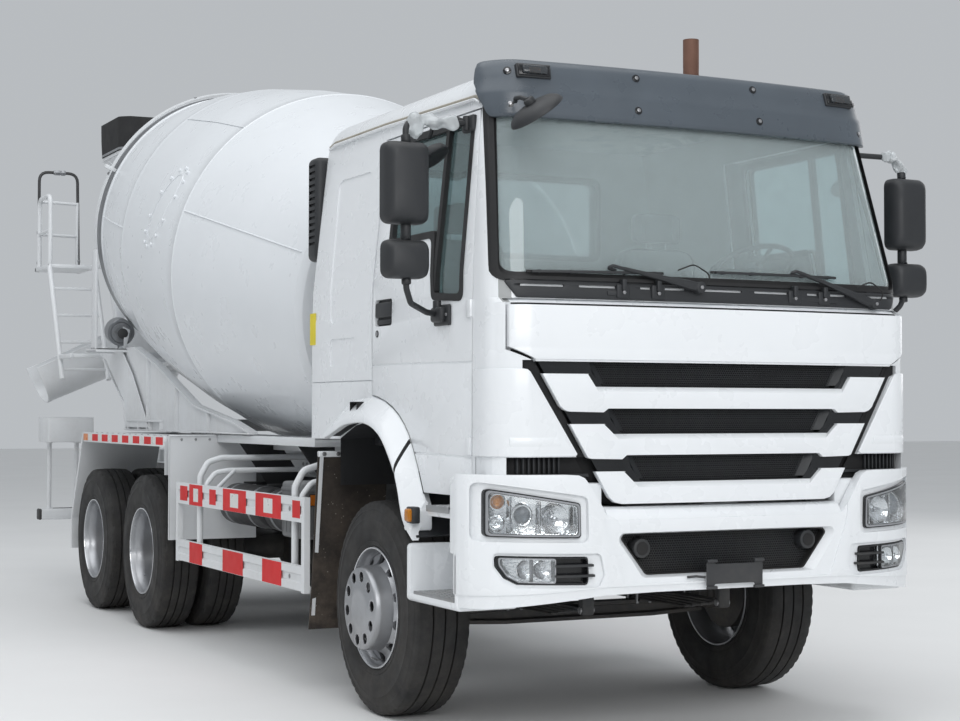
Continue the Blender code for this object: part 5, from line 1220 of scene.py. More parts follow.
# ---------------------------------------------------------------- mirrors
def mirror_set(side):
    flip = (lambda s: s) if side == "left" else mirror
    p = Piece("mirror_" + side + "_set", "door_" + side, "black_plastic", ("mirror_" + side,))

    def housing(x0, x1, y0, y1, z0, z1, r):
        """A rounded shell with a domed back, its glass sunk in the rear face."""
        rings = []
        for y, k in ((y0, 0.62), (y0 + 0.006, 0.74), (y0 + 0.020, 0.87), (y0 + 0.045, 0.97), (y0 + 0.070, 1.0), (y1, 1.0), (y1, 0.93), (y1 - 0.012, 0.92)):
            cx, cz = (x0 + x1) / 2, (z0 + z1) / 2
            hw, hh = (x1 - x0) / 2, (z1 - z0) / 2
            grow = hw - (1 - k) * min(hw, hh), hh - (1 - k) * min(hw, hh)
            outline = flat_round(((-grow[0], -grow[1]), (grow[0], -grow[1]), (grow[0], grow[1]), (-grow[0], grow[1])), min(r, 0.9 * min(grow)), 6)
            rings.append([(cx + u, y, cz + v) for u, v in outline])
        return loft(rings)

    for x0, x1, y0, y1, z0, z1 in ((1.312, 1.528, -1.030, -0.922, 2.355, 2.725), (1.312, 1.528, -1.030, -0.930, 2.110, 2.285)):
        p.add(PLASTIC, flip(housing(x0, x1, y0, y1, z0, z1, 0.045)))
        g = inset(((x0, z0), (x1, z0), (x1, z1), (x0, z1)), 0.014)
        p.add(MIRROR, flip(slab(flat_round(g, 0.034, 5), "Y", y1 - 0.014, y1 - 0.006)))
        p.add(SEAL, flip(cut(slab(flat_round(inset(g, -0.004), 0.037, 5), "Y", y1 - 0.013, y1 - 0.003), slab(flat_round(inset(g, 0.004), 0.03, 5), "Y", y1 - 0.05, y1 + 0.05))))
    # arms
    p.add(PLASTIC, flip(tube([(1.41, -0.965, 2.28), (1.41, -0.935, 2.32), (1.41, -0.935, 2.36)], 0.016, 14, bend=0.02)))
    p.add(PLASTIC, flip(tube([(1.41, -0.945, 2.70), (1.41, -0.94, 2.80), (1.36, -0.92, 2.838), (1.14, -0.90, 2.84), (1.062, -0.90, 2.84)], 0.014, 14, bend=0.05)))
    p.add(PLASTIC, flip(tube([(1.41, -0.955, 2.13), (1.405, -0.94, 2.07), (1.36, -0.89, 2.005), (1.24, -0.80, 1.972), (1.16, -0.76, 1.965)], 0.014, 14, bend=0.06)))
    for a, b, r in (((1.41, -0.945, 2.285), (1.41, -0.945, 2.355), 0.024), ((1.41, -0.945, 2.725), (1.41, -0.942, 2.760), 0.022), ((1.41, -0.955, 2.085), (1.41, -0.952, 2.112), 0.022)):
        p.add(PLASTIC, flip(rod(a, b, r, 20, edge=0.005)))
    # brackets at the door: the lower one a stepped block, the upper one at the window's corner
    p.add(PLASTIC, flip(shape_box(1.141, 1.160, -0.862, -0.700, 1.912, 2.010, 0.012, 3)))
    p.add(PLASTIC, flip(shape_box(1.150, 1.190, -0.835, -0.725, 1.928, 1.998, 0.014, 3)))
    p.add(PLASTIC, flip(rod((1.17, -0.765, 1.940), (1.17, -0.765, 2.030), 0.020, 18, edge=0.005)))
    for y in (-0.845, -0.715):
        p.add(BOLT, flip(rod((1.158, y, 1.962), (1.166, y, 1.962), 0.008, 6, edge=0.001)))
    p.add(PLASTIC, flip(shape_box(1.050, 1.085, -0.955, -0.845, 2.800, 2.878, 0.012, 3)))
    p.add(PLASTIC, flip(rod((1.085, -0.90, 2.805), (1.085, -0.90, 2.875), 0.017, 18, edge=0.004)))
    # kerb mirror: a drop-shaped bowl on its own arm above the door
    kerb = lathe([(0.0, 0.0), (0.004, 0.040), (0.018, 0.068), (0.040, 0.084), (0.052, 0.086), (0.056, 0.082), (0.052, 0.076), (0.050, 0.0)], 28)
    bmesh.ops.scale(kerb, vec=(0.85, 1.25, 1.0), verts=kerb.verts)
    kerb = moved(kerb, Matrix.Translation((1.21, -0.76 + Y0, 2.735)) @ Matrix.Rotation(math.radians(200), 4, "Y") @ Matrix.Rotation(math.radians(20), 4, "X"))
    p.add(PLASTIC, flip(kerb))
    p.add(PLASTIC, flip(tube([(1.075, -0.88, 2.852), (1.12, -0.86, 2.868), (1.20, -0.80, 2.86), (1.215, -0.77, 2.78)], 0.010, 12, bend=0.03)))
    made = p.done()
    # thin film left on the upper arm
    film = Piece("mirror_" + side + "_film", "door_" + side, "glass")
    local = random.Random(11 if side == "right" else 23)
    rings = []
    for k in range(22):
        t = k / 21
        if side == "right":
            base = Vector((1.405 - 0.27 * t, -0.925 + 0.02 * t, 2.79 + 0.055 * min(1, 3 * t)))
            r0 = 0.022 + 0.013 * math.sin(9 * t) ** 2 + (0.020 if 0.05 < t < 0.25 else 0.0)
        else:
            base = Vector((1.30 + 0.13 * t, -0.93 - 0.01 * t, 2.846 - 0.10 * max(0.0, t - 0.5) * 2))
            r0 = 0.022 + 0.008 * math.sin(11 * t) ** 2
        ring = []
        for j in range(14):
            a = TAU * j / 14
            r = r0 * (1 + 0.45 * (local.random() - 0.5) + 0.25 * math.sin(3 * a + 8 * t))
            ring.append((base.x + 0.3 * r * math.sin(a), base.y + r * math.cos(a), base.z + r * math.sin(a) - 0.012 * math.sin(math.pi * t)))
        rings.append(ring)
    crumple = loft(rings)
    film.add(FILM, flip(crumple))
    obj = film.done()
    sub = obj.modifiers.new("soft", "SUBSURF")
    sub.levels = sub.render_levels = 1


mirror_set("left")
mirror_set("right")

# round mirror on an arm below the visor's right corner
front_mirror = Piece("front_view_mirror", "truck", "black_plastic")
dish = lathe([(0.0, 0.0), (0.002, 0.050), (0.012, 0.084), (0.028, 0.104), (0.044, 0.112), (0.052, 0.112), (0.054, 0.106), (0.047, 0.104), (0.047, 0.0)], 36)
tilt = Matrix.Translation((-0.985, -1.345 + Y0, 2.872)) @ Vector((0.601, 0.028, -0.794)).to_track_quat("Z", "Y").to_matrix().to_4x4() @ Matrix.Diagonal((1.17, 1.17, 1.0, 1.0))
front_mirror.add(PLASTIC, moved(dish, tilt))
front_mirror.add(MIRROR, moved(lathe([(0.0475, 0.0), (0.0475, 0.101), (0.0495, 0.100), (0.056, 0.060), (0.0585, 0.0)], 36), tilt))
front_mirror.add(PLASTIC, tube([(-1.000, -1.340, 2.888), (-1.010, -1.290, 2.905), (-1.005, -1.235, 2.910), (-0.985, -1.195, 2.905)], 0.010, 12, bend=0.02))
front_mirror.add(PLASTIC, rod((-1.005, -1.345, 2.892), (-0.975, -1.345, 2.860), 0.026, 20, edge=0.010))
front_mirror.done()

# air intake behind the cab: louvred head over a duct
intake = Piece("air_intake_box", "truck", "black_plastic", ("air_intake",))
head = shape_box(-1.10, -0.88, 0.9755, 1.12, 2.35, 2.93, 0.035, 4)
for k in range(13):
    z = 2.44 + k * 0.036
    head = cut(head, shape_box(-1.13, -1.085, 1.00, 1.10, z, z + 0.016, 0), shape_box(-1.08, -0.90, 1.105, 1.15, z, z + 0.016, 0))
intake.add(PLASTIC, head)
intake.add(PLASTIC, shape_box(-1.02, -0.90, 0.985, 1.10, 1.62, 2.37, 0.022, 3))
for z in (1.75, 2.15):
    intake.add(CHASSIS, shape_box(-1.026, -0.894, 0.975, 1.106, z, z + 0.025, 0.004))
intake.add(RUBBER, tube([(-0.96, 1.04, 1.66), (-0.96, 1.04, 1.58), (-0.90, 1.06, 1.50), (-0.60, 1.08, 1.46)], 0.052, 16, bend=0.06))
for k in range(5):
    intake.add(RUBBER, rod((-0.96, 1.04, 1.585 + k * 0.016), (-0.96, 1.04, 1.593 + k * 0.016), 0.058, 20, edge=0.003))
intake.done()


# ---------------------------------------------------------------- front panel: top band, three slots, stepped blades
def v_edge(z):
    return 0.60 + (z - 1.105) * (0.385 / 0.65)


def both_ways(half):
    """A half outline given from the middle line outwards and back, closed on the other side."""
    return [(x, z) for x, z in half] + [(-x, z) for x, z in reversed(half)]


PANEL_FORM = both_ways([(1.085, PANEL_TOP), (1.085, 1.80), (0.985, 1.755), (0.722, 1.311), (0.640, 1.172), (0.618, 1.135), (0.590, 1.113), (0.555, 1.105)])
SLOTS = (
    [(1.02, 1.737), (0.985, 1.683), (0.722, 1.683), (0.700, 1.668), (0.676, 1.651), (0.640, 1.641)],
    [(0.622, 1.530), (0.645, 1.513), (0.812, 1.516), (0.838, 1.524), (0.858, 1.541), (0.872, 1.566), (0.93, 1.566), (0.86, 1.461), (0.640, 1.461), (0.620, 1.452), (0.590, 1.436), (0.541, 1.431)],
    [(0.530, 1.322), (0.552, 1.304), (0.706, 1.307), (0.732, 1.316), (0.750, 1.334), (0.762, 1.362), (0.82, 1.362), (0.75, 1.250), (0.540, 1.250), (0.518, 1.240), (0.490, 1.222), (0.440, 1.216)],
)
panel = keep(cut(cab_solid(out=0.012, z0=1.05), cab_solid(out=-0.015, z0=1.0)), slab(PANEL_FORM, "Y", -1.6, -1.15))
inner_form = both_ways([(0.965, 1.7405), (0.940, 1.7405), (0.705, 1.311), (0.622, 1.175), (0.600, 1.140), (0.570, 1.118)])
panel = join(panel, keep(cut(cab_solid(out=0.006, z0=1.05), cab_solid(out=-0.032, z0=1.0)), slab(inner_form, "Y", -1.6, -1.15)))
for slot in SLOTS:
    panel = cut(panel, slab(both_ways(slot), "Y", -1.7, -1.2))


def taper(pairs):
    """Levels of the front's outline with their own offsets, as one solid."""
    return loft([cab_ring(z, 1.14, -1.40, 0.975, out=o) for z, o in pairs])


for zb, x0, x1, end in ((1.641, 0.640, 0.735, 1.683), (1.431, 0.541, 0.655, 1.461), (1.216, 0.440, 0.555, 1.250)):
    # bright facet along each blade's upper edge
    form = both_ways([(x1 - 0.005, end + 0.003), (x0 + 0.02, zb - 0.040), (x0, zb - 0.046)])
    facet = keep(cut(cab_solid(out=0.05, z0=1.05), taper(((zb - 0.08, 0.0595), (zb - 0.037, 0.0125), (zb, -0.028), (zb + 0.03, -0.061), (zb + 0.08, -0.061)))), slab([(x, z) for x, z in both_ways([(x1 - 0.012, end - 0.002), (x0 + 0.03, zb - 0.036), (x0 + 0.005, zb - 0.045)])], "Y", -1.7, -1.2))
    panel = cut(panel, facet)
# the band's lower lip hangs over the first slot and the corner pads
lip = keep(cut(taper(((1.742, 0.010), (1.747, 0.020), (1.790, 0.013), (1.81, 0.0115))), taper(((1.70, 0.0), (1.85, 0.0)))), slab(both_ways([(1.083, 1.83), (1.083, 1.799), (0.987, 1.752), (0.96, 1.735)]), "Y", -1.6, -1.15))
panel = join(panel, lip)
panel = bevelled(panel, 0.003, 40)
grille = Piece("front_panel_skin", "front_panel", "white_paint", ("front_panel",))
grille.add(WHITE, panel)
grille.repaint(LINER, lambda x, y, z, n: n.y > 0.6 and z < 1.745)
# black backing: smooth at the slots' ends, open in the middle
back_plate = keep(cut(cab_solid(out=-0.012, z0=1.05), cab_solid(out=-0.019, z0=1.0)), slab(both_ways([(0.955, 1.740), (0.700, 1.311), (0.622, 1.185), (0.0, 1.185)]), "Y", -1.6, -1.15))
for z_hi, z_lo, xa, xb in ((1.745, 1.630, 0.690, 0.640), (1.535, 1.420, 0.595, 0.545), (1.328, 1.205, 0.495, 0.445)):
    back_plate = cut(back_plate, slab(both_ways([(xa + 0.02, z_hi), (xa, (z_hi + z_lo) / 2), (xb, z_lo)]), "Y", -1.6, -1.15))
grille.add(GLOSS_BLACK, back_plate)
# slanted cheeks between the smooth ends and the deeper mesh
for z_hi, z_lo, xa, xb in ((1.737, 1.641, 0.700, 0.640), (1.530, 1.431, 0.605, 0.545), (1.322, 1.216, 0.505, 0.445)):
    for sx in (1, -1):
        rings = []
        for t in (0.0, 0.5, 1.0):
            x = xa + 0.015 + (xb - xa) * t
            z = z_hi + (z_lo - z_hi) * t
            rings.append([(sx * x, front_y(x, z, -0.012), z), (sx * (x - 0.045), front_y(x, z, -0.040), z), (sx * (x - 0.045), front_y(x, z, -0.044), z), (sx * x, front_y(x, z, -0.018), z)])
        grille.add(PLASTIC, loft(rings))
grille.done()


def honeycomb(x0, x1, z0, z1, pitch, y_at, wall=0.22, deep=0.006, inside=None):
    """Open cells side by side; y_at(x, z) gives the face's place."""
    bm = bmesh.new()
    r = pitch / math.sqrt(3)
    row_h = 1.5 * r
    rows = int((z1 - z0) / row_h) + 1
    cols = int((x1 - x0) / pitch) + 1
    corners = [(math.sin(TAU * k / 6), math.cos(TAU * k / 6)) for k in range(6)]
    for j in range(rows):
        for i in range(cols):
            cx = x0 + (i + 0.5 * (j % 2)) * pitch
            cz = z0 + j * row_h
            if inside and not inside(cx, cz):
                continue
            y = y_at(cx, cz) + Y0
            outer_ = [bm.verts.new((cx + r * u, y, cz + r * v)) for u, v in corners]
            inner_ = [bm.verts.new((cx + r * (1 - wall) * u, y, cz + r * (1 - wall) * v)) for u, v in corners]
            back_ = [bm.verts.new((v_.co.x, y + deep, v_.co.z)) for v_ in inner_]
            for k in range(6):
                m = (k + 1) % 6
                bm.faces.new((outer_[k], outer_[m], inner_[m], inner_[k]))
                bm.faces.new((inner_[k], inner_[m], back_[m], back_[k]))
    return bm


mesh_piece = Piece("front_panel_mesh", "front_panel", "black_plastic", smooth=20)
for z_hi, z_lo, xa, xb in ((1.742, 1.634, 0.690, 0.630), (1.535, 1.424, 0.590, 0.535), (1.328, 1.209, 0.490, 0.435)):
    inside = lambda x, z, z_hi=z_hi, z_lo=z_lo, xa=xa, xb=xb: abs(x) < xb + (xa - xb) * (z - z_lo) / (z_hi - z_lo)
    mesh_piece.add(PLASTIC, honeycomb(-xa, xa, z_lo, z_hi, 0.0115, lambda x, z: front_y(x, max(z, 1.13), -0.036), inside=inside))
mesh_piece.done()
liner = Piece("radiator_face", "truck", "chassis_paint")
liner.add(LINER, shape_box(-0.90, 0.90, -1.318, -1.302, 1.12, 1.74, 0.004))
for k in range(34):
    z = 1.13 + k * 0.018
    w = min(0.90, v_edge(z) - 0.05)
    liner.add(CHASSIS, shape_box(-w, w, -1.3205, -1.3165, z, z + 0.006, 0))
liner.done()

# ---------------------------------------------------------------- raised pads on the cab's front corners, and the vents below them
pads = Piece("corner_pads", "truck", "white_paint")
PAD = ((0.9995, 1.690), (1.012, 1.701), (1.03, 1.704), (1.30, 1.704), (1.30, 1.318), (0.792, 1.318), (0.778, 1.322), (0.775, 1.330))
skin = keep(cut(cab_solid(out=0.013, z0=1.05), cab_solid(out=-0.002, z0=1.0)), slab(PAD, "Y", -1.7, -1.102))
skin = bevelled(skin, 0.006, 40, 3)
pads.both(WHITE, skin)
# a soft ledge across the pad's lower part
ledge = keep(cut(taper(((1.36, 0.012), (1.372, 0.0165), (1.392, 0.0175), (1.404, 0.012))), taper(((1.30, 0.009), (1.45, 0.009)))), slab(((0.83, 1.30), (0.89, 1.45), (1.085, 1.45), (1.085, 1.30)), "Y", -1.7, -1.15))
pads.both(WHITE, ledge)
pads.both(LINER, keep(cut(cab_solid(out=-0.045, z0=1.05), cab_solid(out=-0.065, z0=1.0)), slab(((0.690, 1.200), (0.770, 1.330), (1.20, 1.330), (1.20, 1.200)), "Y", -1.6, -1.10)))
for k in range(9):
    x = 0.845 + k * 0.024
    y = front_y(x, 1.3, -0.030)
    pads.both(PLASTIC, shape_box(x - 0.004, x + 0.004, y - 0.004, y + 0.03, 1.235, 1.317, 0.0015))
pads.both(PLASTIC, keep(cut(cab_solid(out=-0.022, z0=1.05), cab_solid(out=-0.05, z0=1.0)), slab(((0.70, 1.228), (0.706, 1.240), (1.10, 1.240), (1.10, 1.228)), "Y", -1.6, -1.10)))
# post at the vent's outer end, wrapping the corner
pads.both(WHITE, keep(cut(cab_solid(out=0.002, z0=1.05), cab_solid(out=-0.03, z0=1.0)), slab(((-1.50, 1.222), (-1.2505, 1.222), (-1.2505, 1.322), (-1.50, 1.322)), "X", 1.09, 1.3)))
pads.both(WHITE, keep(cut(cab_solid(out=-0.002, z0=1.05), cab_solid(out=-0.03, z0=1.0)), slab(((-1.2505, 1.15), (-1.102, 1.15), (-1.102, 1.322), (-1.2505, 1.322)), "X", 1.0, 1.3)))
pads.done()

# ---------------------------------------------------------------- bumper
PLAN = ((0.0, -1.450), (0.45, -1.445), (0.80, -1.425), (1.00, -1.375), (1.14, -1.285), (1.215, -1.20), (1.24, -1.13))
BUMPER_END = -1.092


def plan_line(steps=6):
    pts = [(-p[0], p[1]) for p in PLAN[:0:-1]] + list(PLAN)
    out = []
    for i in range(len(pts) - 1):
        p0, p1, p2, p3 = pts[max(i - 1, 0)], pts[i], pts[i + 1], pts[min(i + 2, len(pts) - 1)]
        for k in range(steps):
            t = k / steps
            out.append(tuple(0.5 * (2 * b + (c - a) * t + (2 * a - 5 * b + 4 * c - d) * t * t + (3 * b - a - 3 * c + d) * t ** 3) for a, b, c, d in zip(p0, p1, p2, p3)))
    out.append(pts[-1])
    return [(-1.24, BUMPER_END)] + out + [(1.24, BUMPER_END)]


CURVE = plan_line()


def offset_line(by):
    out = []
    for i, p in enumerate(CURVE):
        a, b = CURVE[max(i - 1, 0)], CURVE[min(i + 1, len(CURVE) - 1)]
        d = Vector((b[0] - a[0], b[1] - a[1])).normalized()
        n = Vector((d.y, -d.x))
        out.append((p[0] + n.x * by, p[1] + n.y * by))
    out[0] = (out[0][0], BUMPER_END)
    out[-1] = (out[-1][0], BUMPER_END)
    return out


def strip(out_by, in_by, z0, z1):
    """The bumper's plan as an upright strip between two offsets from its face."""
    return slab(offset_line(out_by) + offset_line(-in_by)[::-1], "Z", z0, z1)


def bumper_y(x, out_by=0.0):
    line = offset_line(out_by)
    for a, b in zip(line, line[1:]):
        if a[0] <= x <= b[0] and b[0] > a[0]:
            return a[1] + (b[1] - a[1]) * (x - a[0]) / (b[0] - a[0])
    return line[-1][1]


FACE = both_ways([(0.600, 1.037), (0.632, 1.041), (0.652, 1.060), (0.742, 1.200), (0.762, 1.224), (0.790, 1.236), (0.840, 1.239), (1.30, 1.239), (1.30, 0.652), (1.16, 0.652), (0.95, 0.676), (0.66, 0.706), (0.40, 0.712)])
LIGHT = ((0.779, 0.964), (0.783, 1.112), (1.166, 1.176), (1.166, 0.972))
LIGHT_POCKET = ((0.742, 0.940), (0.746, 1.142), (1.215, 1.210), (1.215, 0.948))
FOG = ((0.742, 0.757), (0.738, 0.800), (0.742, 0.876), (1.128, 0.884), (1.126, 0.840), (1.095, 0.790), (1.050, 0.764))
FOG_POCKET = ((0.690, 0.742), (0.664, 0.800), (0.684, 0.892), (1.142, 0.900), (1.142, 0.840), (1.110, 0.778), (1.060, 0.748))
OPEN_OUT = ((0.505, 0.768), (0.632, 0.938), (0.615, 0.985), (-0.615, 0.985), (-0.632, 0.938), (-0.505, 0.768))
OPEN_IN = ((0.430, 0.786), (0.560, 0.950), (0.545, 0.970), (-0.545, 0.970), (-0.560, 0.950), (-0.430, 0.786))

bumper = Piece("bumper_skin", "truck", "white_paint", ("bumper",))
body_b = keep(strip(0.0, 0.055, 0.50, 1.45), slab(FACE, "Y", -1.8, -0.9))
# lower skirt: its face falls back below a soft crease
body_b = cut(body_b, keep(strip(0.05, 0.006, 0.60, 0.742), slab(((-1.4, 0.60), (1.4, 0.60), (1.4, 0.700), (0.95, 0.722), (0.60, 0.745), (-0.60, 0.745), (-0.95, 0.722), (-1.4, 0.700)), "Y", -1.8, -0.9)))
# V lines running down from the grille's edges: the middle lies 9 mm deeper than the corners
middle = both_ways([(0.640, 1.06), (0.663, 1.045), (0.560, 0.745), (0.0, 0.745)])
body_b = cut(body_b, keep(strip(0.05, 0.007, 0.70, 1.08), slab(both_ways([(0.668, 1.08), (0.668, 1.045), (0.652, 0.985), (0.560, 0.752)]), "Y", -1.8, -0.9)))
for sx in (1, -1):
    flipped = lambda o: [(sx * x, z) for x, z in o]
    body_b = cut(body_b, keep(strip(0.05, 0.020, 0.60, 1.30), slab(flipped(flat_round(LIGHT_POCKET, 0.032, 4)), "Y", -1.8, -1.10)))
    body_b = cut(body_b, slab(flipped(flat_round(inset(LIGHT, -0.004), 0.022, 4)), "Y", -1.8, -1.10))
    body_b = cut(body_b, keep(strip(0.05, 0.016, 0.60, 1.30), slab(flipped(flat_round(FOG_POCKET, 0.026, 4)), "Y", -1.8, -1.10)))
    body_b = cut(body_b, slab(flipped(flat_round(inset(FOG, -0.003), 0.016, 3)), "Y", -1.8, -1.10))
body_b = cut(body_b, loft([[(x, -1.475, z) for x, z in flat_round(OPEN_OUT, 0.03, 4)], [(x, -1.395, z) for x, z in flat_round(OPEN_IN, 0.03, 4)]]))
body_b = cut(body_b, slab(flat_round(OPEN_IN, 0.03, 4), "Y", -1.44, -1.30))
body_b = bevelled(body_b, 0.005, 32, 3)
bumper.add(WHITE, body_b)
# shelf under the grille's foot
bumper.add(WHITE, slab(((-1.432, 1.018), (-1.428, 1.036), (-1.398, 1.080), (-1.375, 1.092), (-1.30, 1.094), (-1.30, 1.018)), "X", -0.640, 0.640, 0.003))
bumper.both(WHITE, shape_box(0.640, 0.78, -1.37, -1.30, 1.03, 1.20, 0.01))
# black inner shell behind the bumper, its mesh and towing sleeves
bumper.add(LINER, cut(slab(flat_round(inset(OPEN_IN, -0.02), 0.03, 4), "Y", -1.40, -1.335), slab(flat_round(inset(OPEN_IN, 0.004), 0.026, 4), "Y", -1.45, -1.345)))
for x, z in ((-0.457, 0.905), (0.452, 0.918)):
    bumper.add(PLASTIC, rod((x, -1.412, z), (x, -1.35, z), 0.044, 28, edge=0.006))
    bumper.add(LINER, rod((x, -1.415, z), (x, -1.405, z), 0.030, 28, edge=0.002))
bumper.add(CHASSIS, shape_box(-0.93, 0.93, -1.335, -1.28, 0.86, 1.00, 0.01))
# number plate's bracket, bare: a plate with four tabs on two stays, and a short stub beside it
bumper.add(PLATE, slab(flat_round(((-0.160, 0.728), (-0.120, 0.728), (-0.112, 0.738), (0.098, 0.738), (0.106, 0.726), (0.146, 0.726), (0.146, 0.836), (0.106, 0.836), (0.098, 0.826), (-0.112, 0.828), (-0.120, 0.838), (-0.160, 0.838)), 0.006, 3), "Y", -1.480, -1.4755, 0.0012, 1))
for x0, x1, z0, z1 in ((-0.162, -0.108, 0.836, 0.850), (0.094, 0.148, 0.834, 0.848), (-0.162, -0.108, 0.716, 0.730), (0.094, 0.148, 0.714, 0.728)):
    bumper.add(PLATE, shape_box(x0, x1, -1.494, -1.476, z0, z1, 0.004))
for x in (-0.09, 0.07):
    bumper.add(PLATE, shape_box(x - 0.015, x + 0.015, -1.478, -1.43, 0.745, 0.775, 0.003))
bumper.add(PLATE, tube([(-0.162, -1.472, 0.770), (-0.205, -1.462, 0.775), (-0.245, -1.452, 0.772)], 0.006, 10, bend=0.02))

TREAD_MARKS = []


def chequer(x0, x1, y0, y1, z, body_piece):
    """A plate with small raised lozenges in two directions."""
    body_piece.add(ALU, shape_box(x0, x1, y0, y1, z - 0.004, z, 0.001, 1))
    n = 0
    pitch = 0.026
    bm = bmesh.new()
    for i in range(int((x1 - x0) / pitch)):
        for j in range(int((y1 - y0) / pitch)):
            cx, cy = x0 + (i + 0.5) * pitch + 0.003, y0 + (j + 0.5) * pitch
            a = math.pi / 4 if (i + j) % 2 else -math.pi / 4
            ca, sa = math.cos(a), math.sin(a)
            ring = [(0.010, 0.0), (0.0, 0.0032), (-0.010, 0.0), (0.0, -0.0032)]
            low = [bm.verts.new((cx + u * ca - v * sa, cy + Y0 + u * sa + v * ca, z - 0.0005)) for u, v in ring]
            top = [bm.verts.new((cx + (u * ca - v * sa) * 0.55, cy + Y0 + (u * sa + v * ca) * 0.55, z + 0.0022)) for u, v in ring]
            for k in range(4):
                m = (k + 1) % 4
                bm.faces.new((low[k], low[m], top[m], top[k]))
            bm.faces.new(top)
            bm.faces.new(low[::-1])
    body_piece.add(ALU, bm)


STEER = ((0.88, -0.658), (0.985, -0.632), (1.07, -0.605), (1.15, -0.564), (1.15, -0.50), (0.88, -0.50))
steps_bm = shape_box(0.93, 1.24, -1.135, -0.57, 0.63, 0.90, 0.022, 4)
steps_bm = cut(steps_bm, slab(flat_round(((1.30, -1.105), (1.30, -0.625), (1.12, -0.625), (1.02, -0.655), (0.985, -0.72), (0.985, -1.105)), 0.05, 5), "Z", 0.668, 0.872), slab(((1.30, -1.105), (1.30, -0.625), (1.12, -0.625), (1.05, -0.64), (1.05, -1.105)), "Z", 0.85, 0.95))
steps_bm = cut(steps_bm, slab(STEER, "Z", 0.5, 1.2))
steps_bm = bevelled(steps_bm, 0.004, 45)
bumper.both(WHITE, steps_bm)
upper = shape_box(1.0, 1.232, -1.13, -1.03, 0.88, 1.222, 0.012, 3)
upper = join(upper, shape_box(0.93, 1.0, -1.125, -0.75, 0.85, 1.115, 0.01, 2), shape_box(0.935, 1.222, -1.12, -0.77, 1.035, 1.078, 0.010, 3))
upper = join(upper, shape_box(0.96, 1.10, -1.10, -0.80, 0.86, 1.05, 0.02, 3))
bumper.both(WHITE, upper)
for sx in (1, -1):
    xs = sorted((sx * 1.035, sx * 1.222))
    chequer(xs[0], xs[1], -1.02, -0.79, 1.086, bumper)
    xs = sorted((sx * 1.00, sx * 1.233))
    chequer(xs[0], xs[1], -1.09, -0.66, 0.682, bumper)
    bumper.add(ALU, shape_box(sx * 1.228, sx * 1.236, -1.02, -0.79, 1.058, 1.087, 0.002))
    bumper.add(ALU, shape_box(sx * 1.2335, sx * 1.2395, -1.09, -0.66, 0.664, 0.683, 0.002))
    # lower stays and the bumper's cross tube
    bumper.add(CHASSIS, shape_box(sx * 0.36, sx * 0.42, -1.40, -1.0003, 0.99, 1.055, 0.006))
    bumper.add(CHASSIS, shape_box(sx * 0.40, sx * 0.96, -1.08, -1.02, 0.88, 0.95, 0.008))
    bumper.add(CHASSIS, shape_box(sx * 0.38, sx * 0.46, -1.09, -1.0003, 0.88, 1.045, 0.006))
    bumper.add(BOLT, bolt((sx * 1.10, -1.06, 1.078), (0, 0, 1), 0.007, 0.006))
bumper.done()
lower_mesh = Piece("bumper_mesh", "truck", "black_plastic", smooth=20)
lower_mesh.add(PLASTIC, honeycomb(-0.56, 0.56, 0.780, 0.972, 0.0125, lambda x, z: -1.378 + 0.02 * (x / 0.6) ** 2, inside=lambda x, z: abs(x) < 0.424 + (z - 0.78) * 0.78 and min(math.hypot(x + 0.457, z - 0.905), math.hypot(x - 0.452, z - 0.918)) > 0.05))
lower_mesh.done()


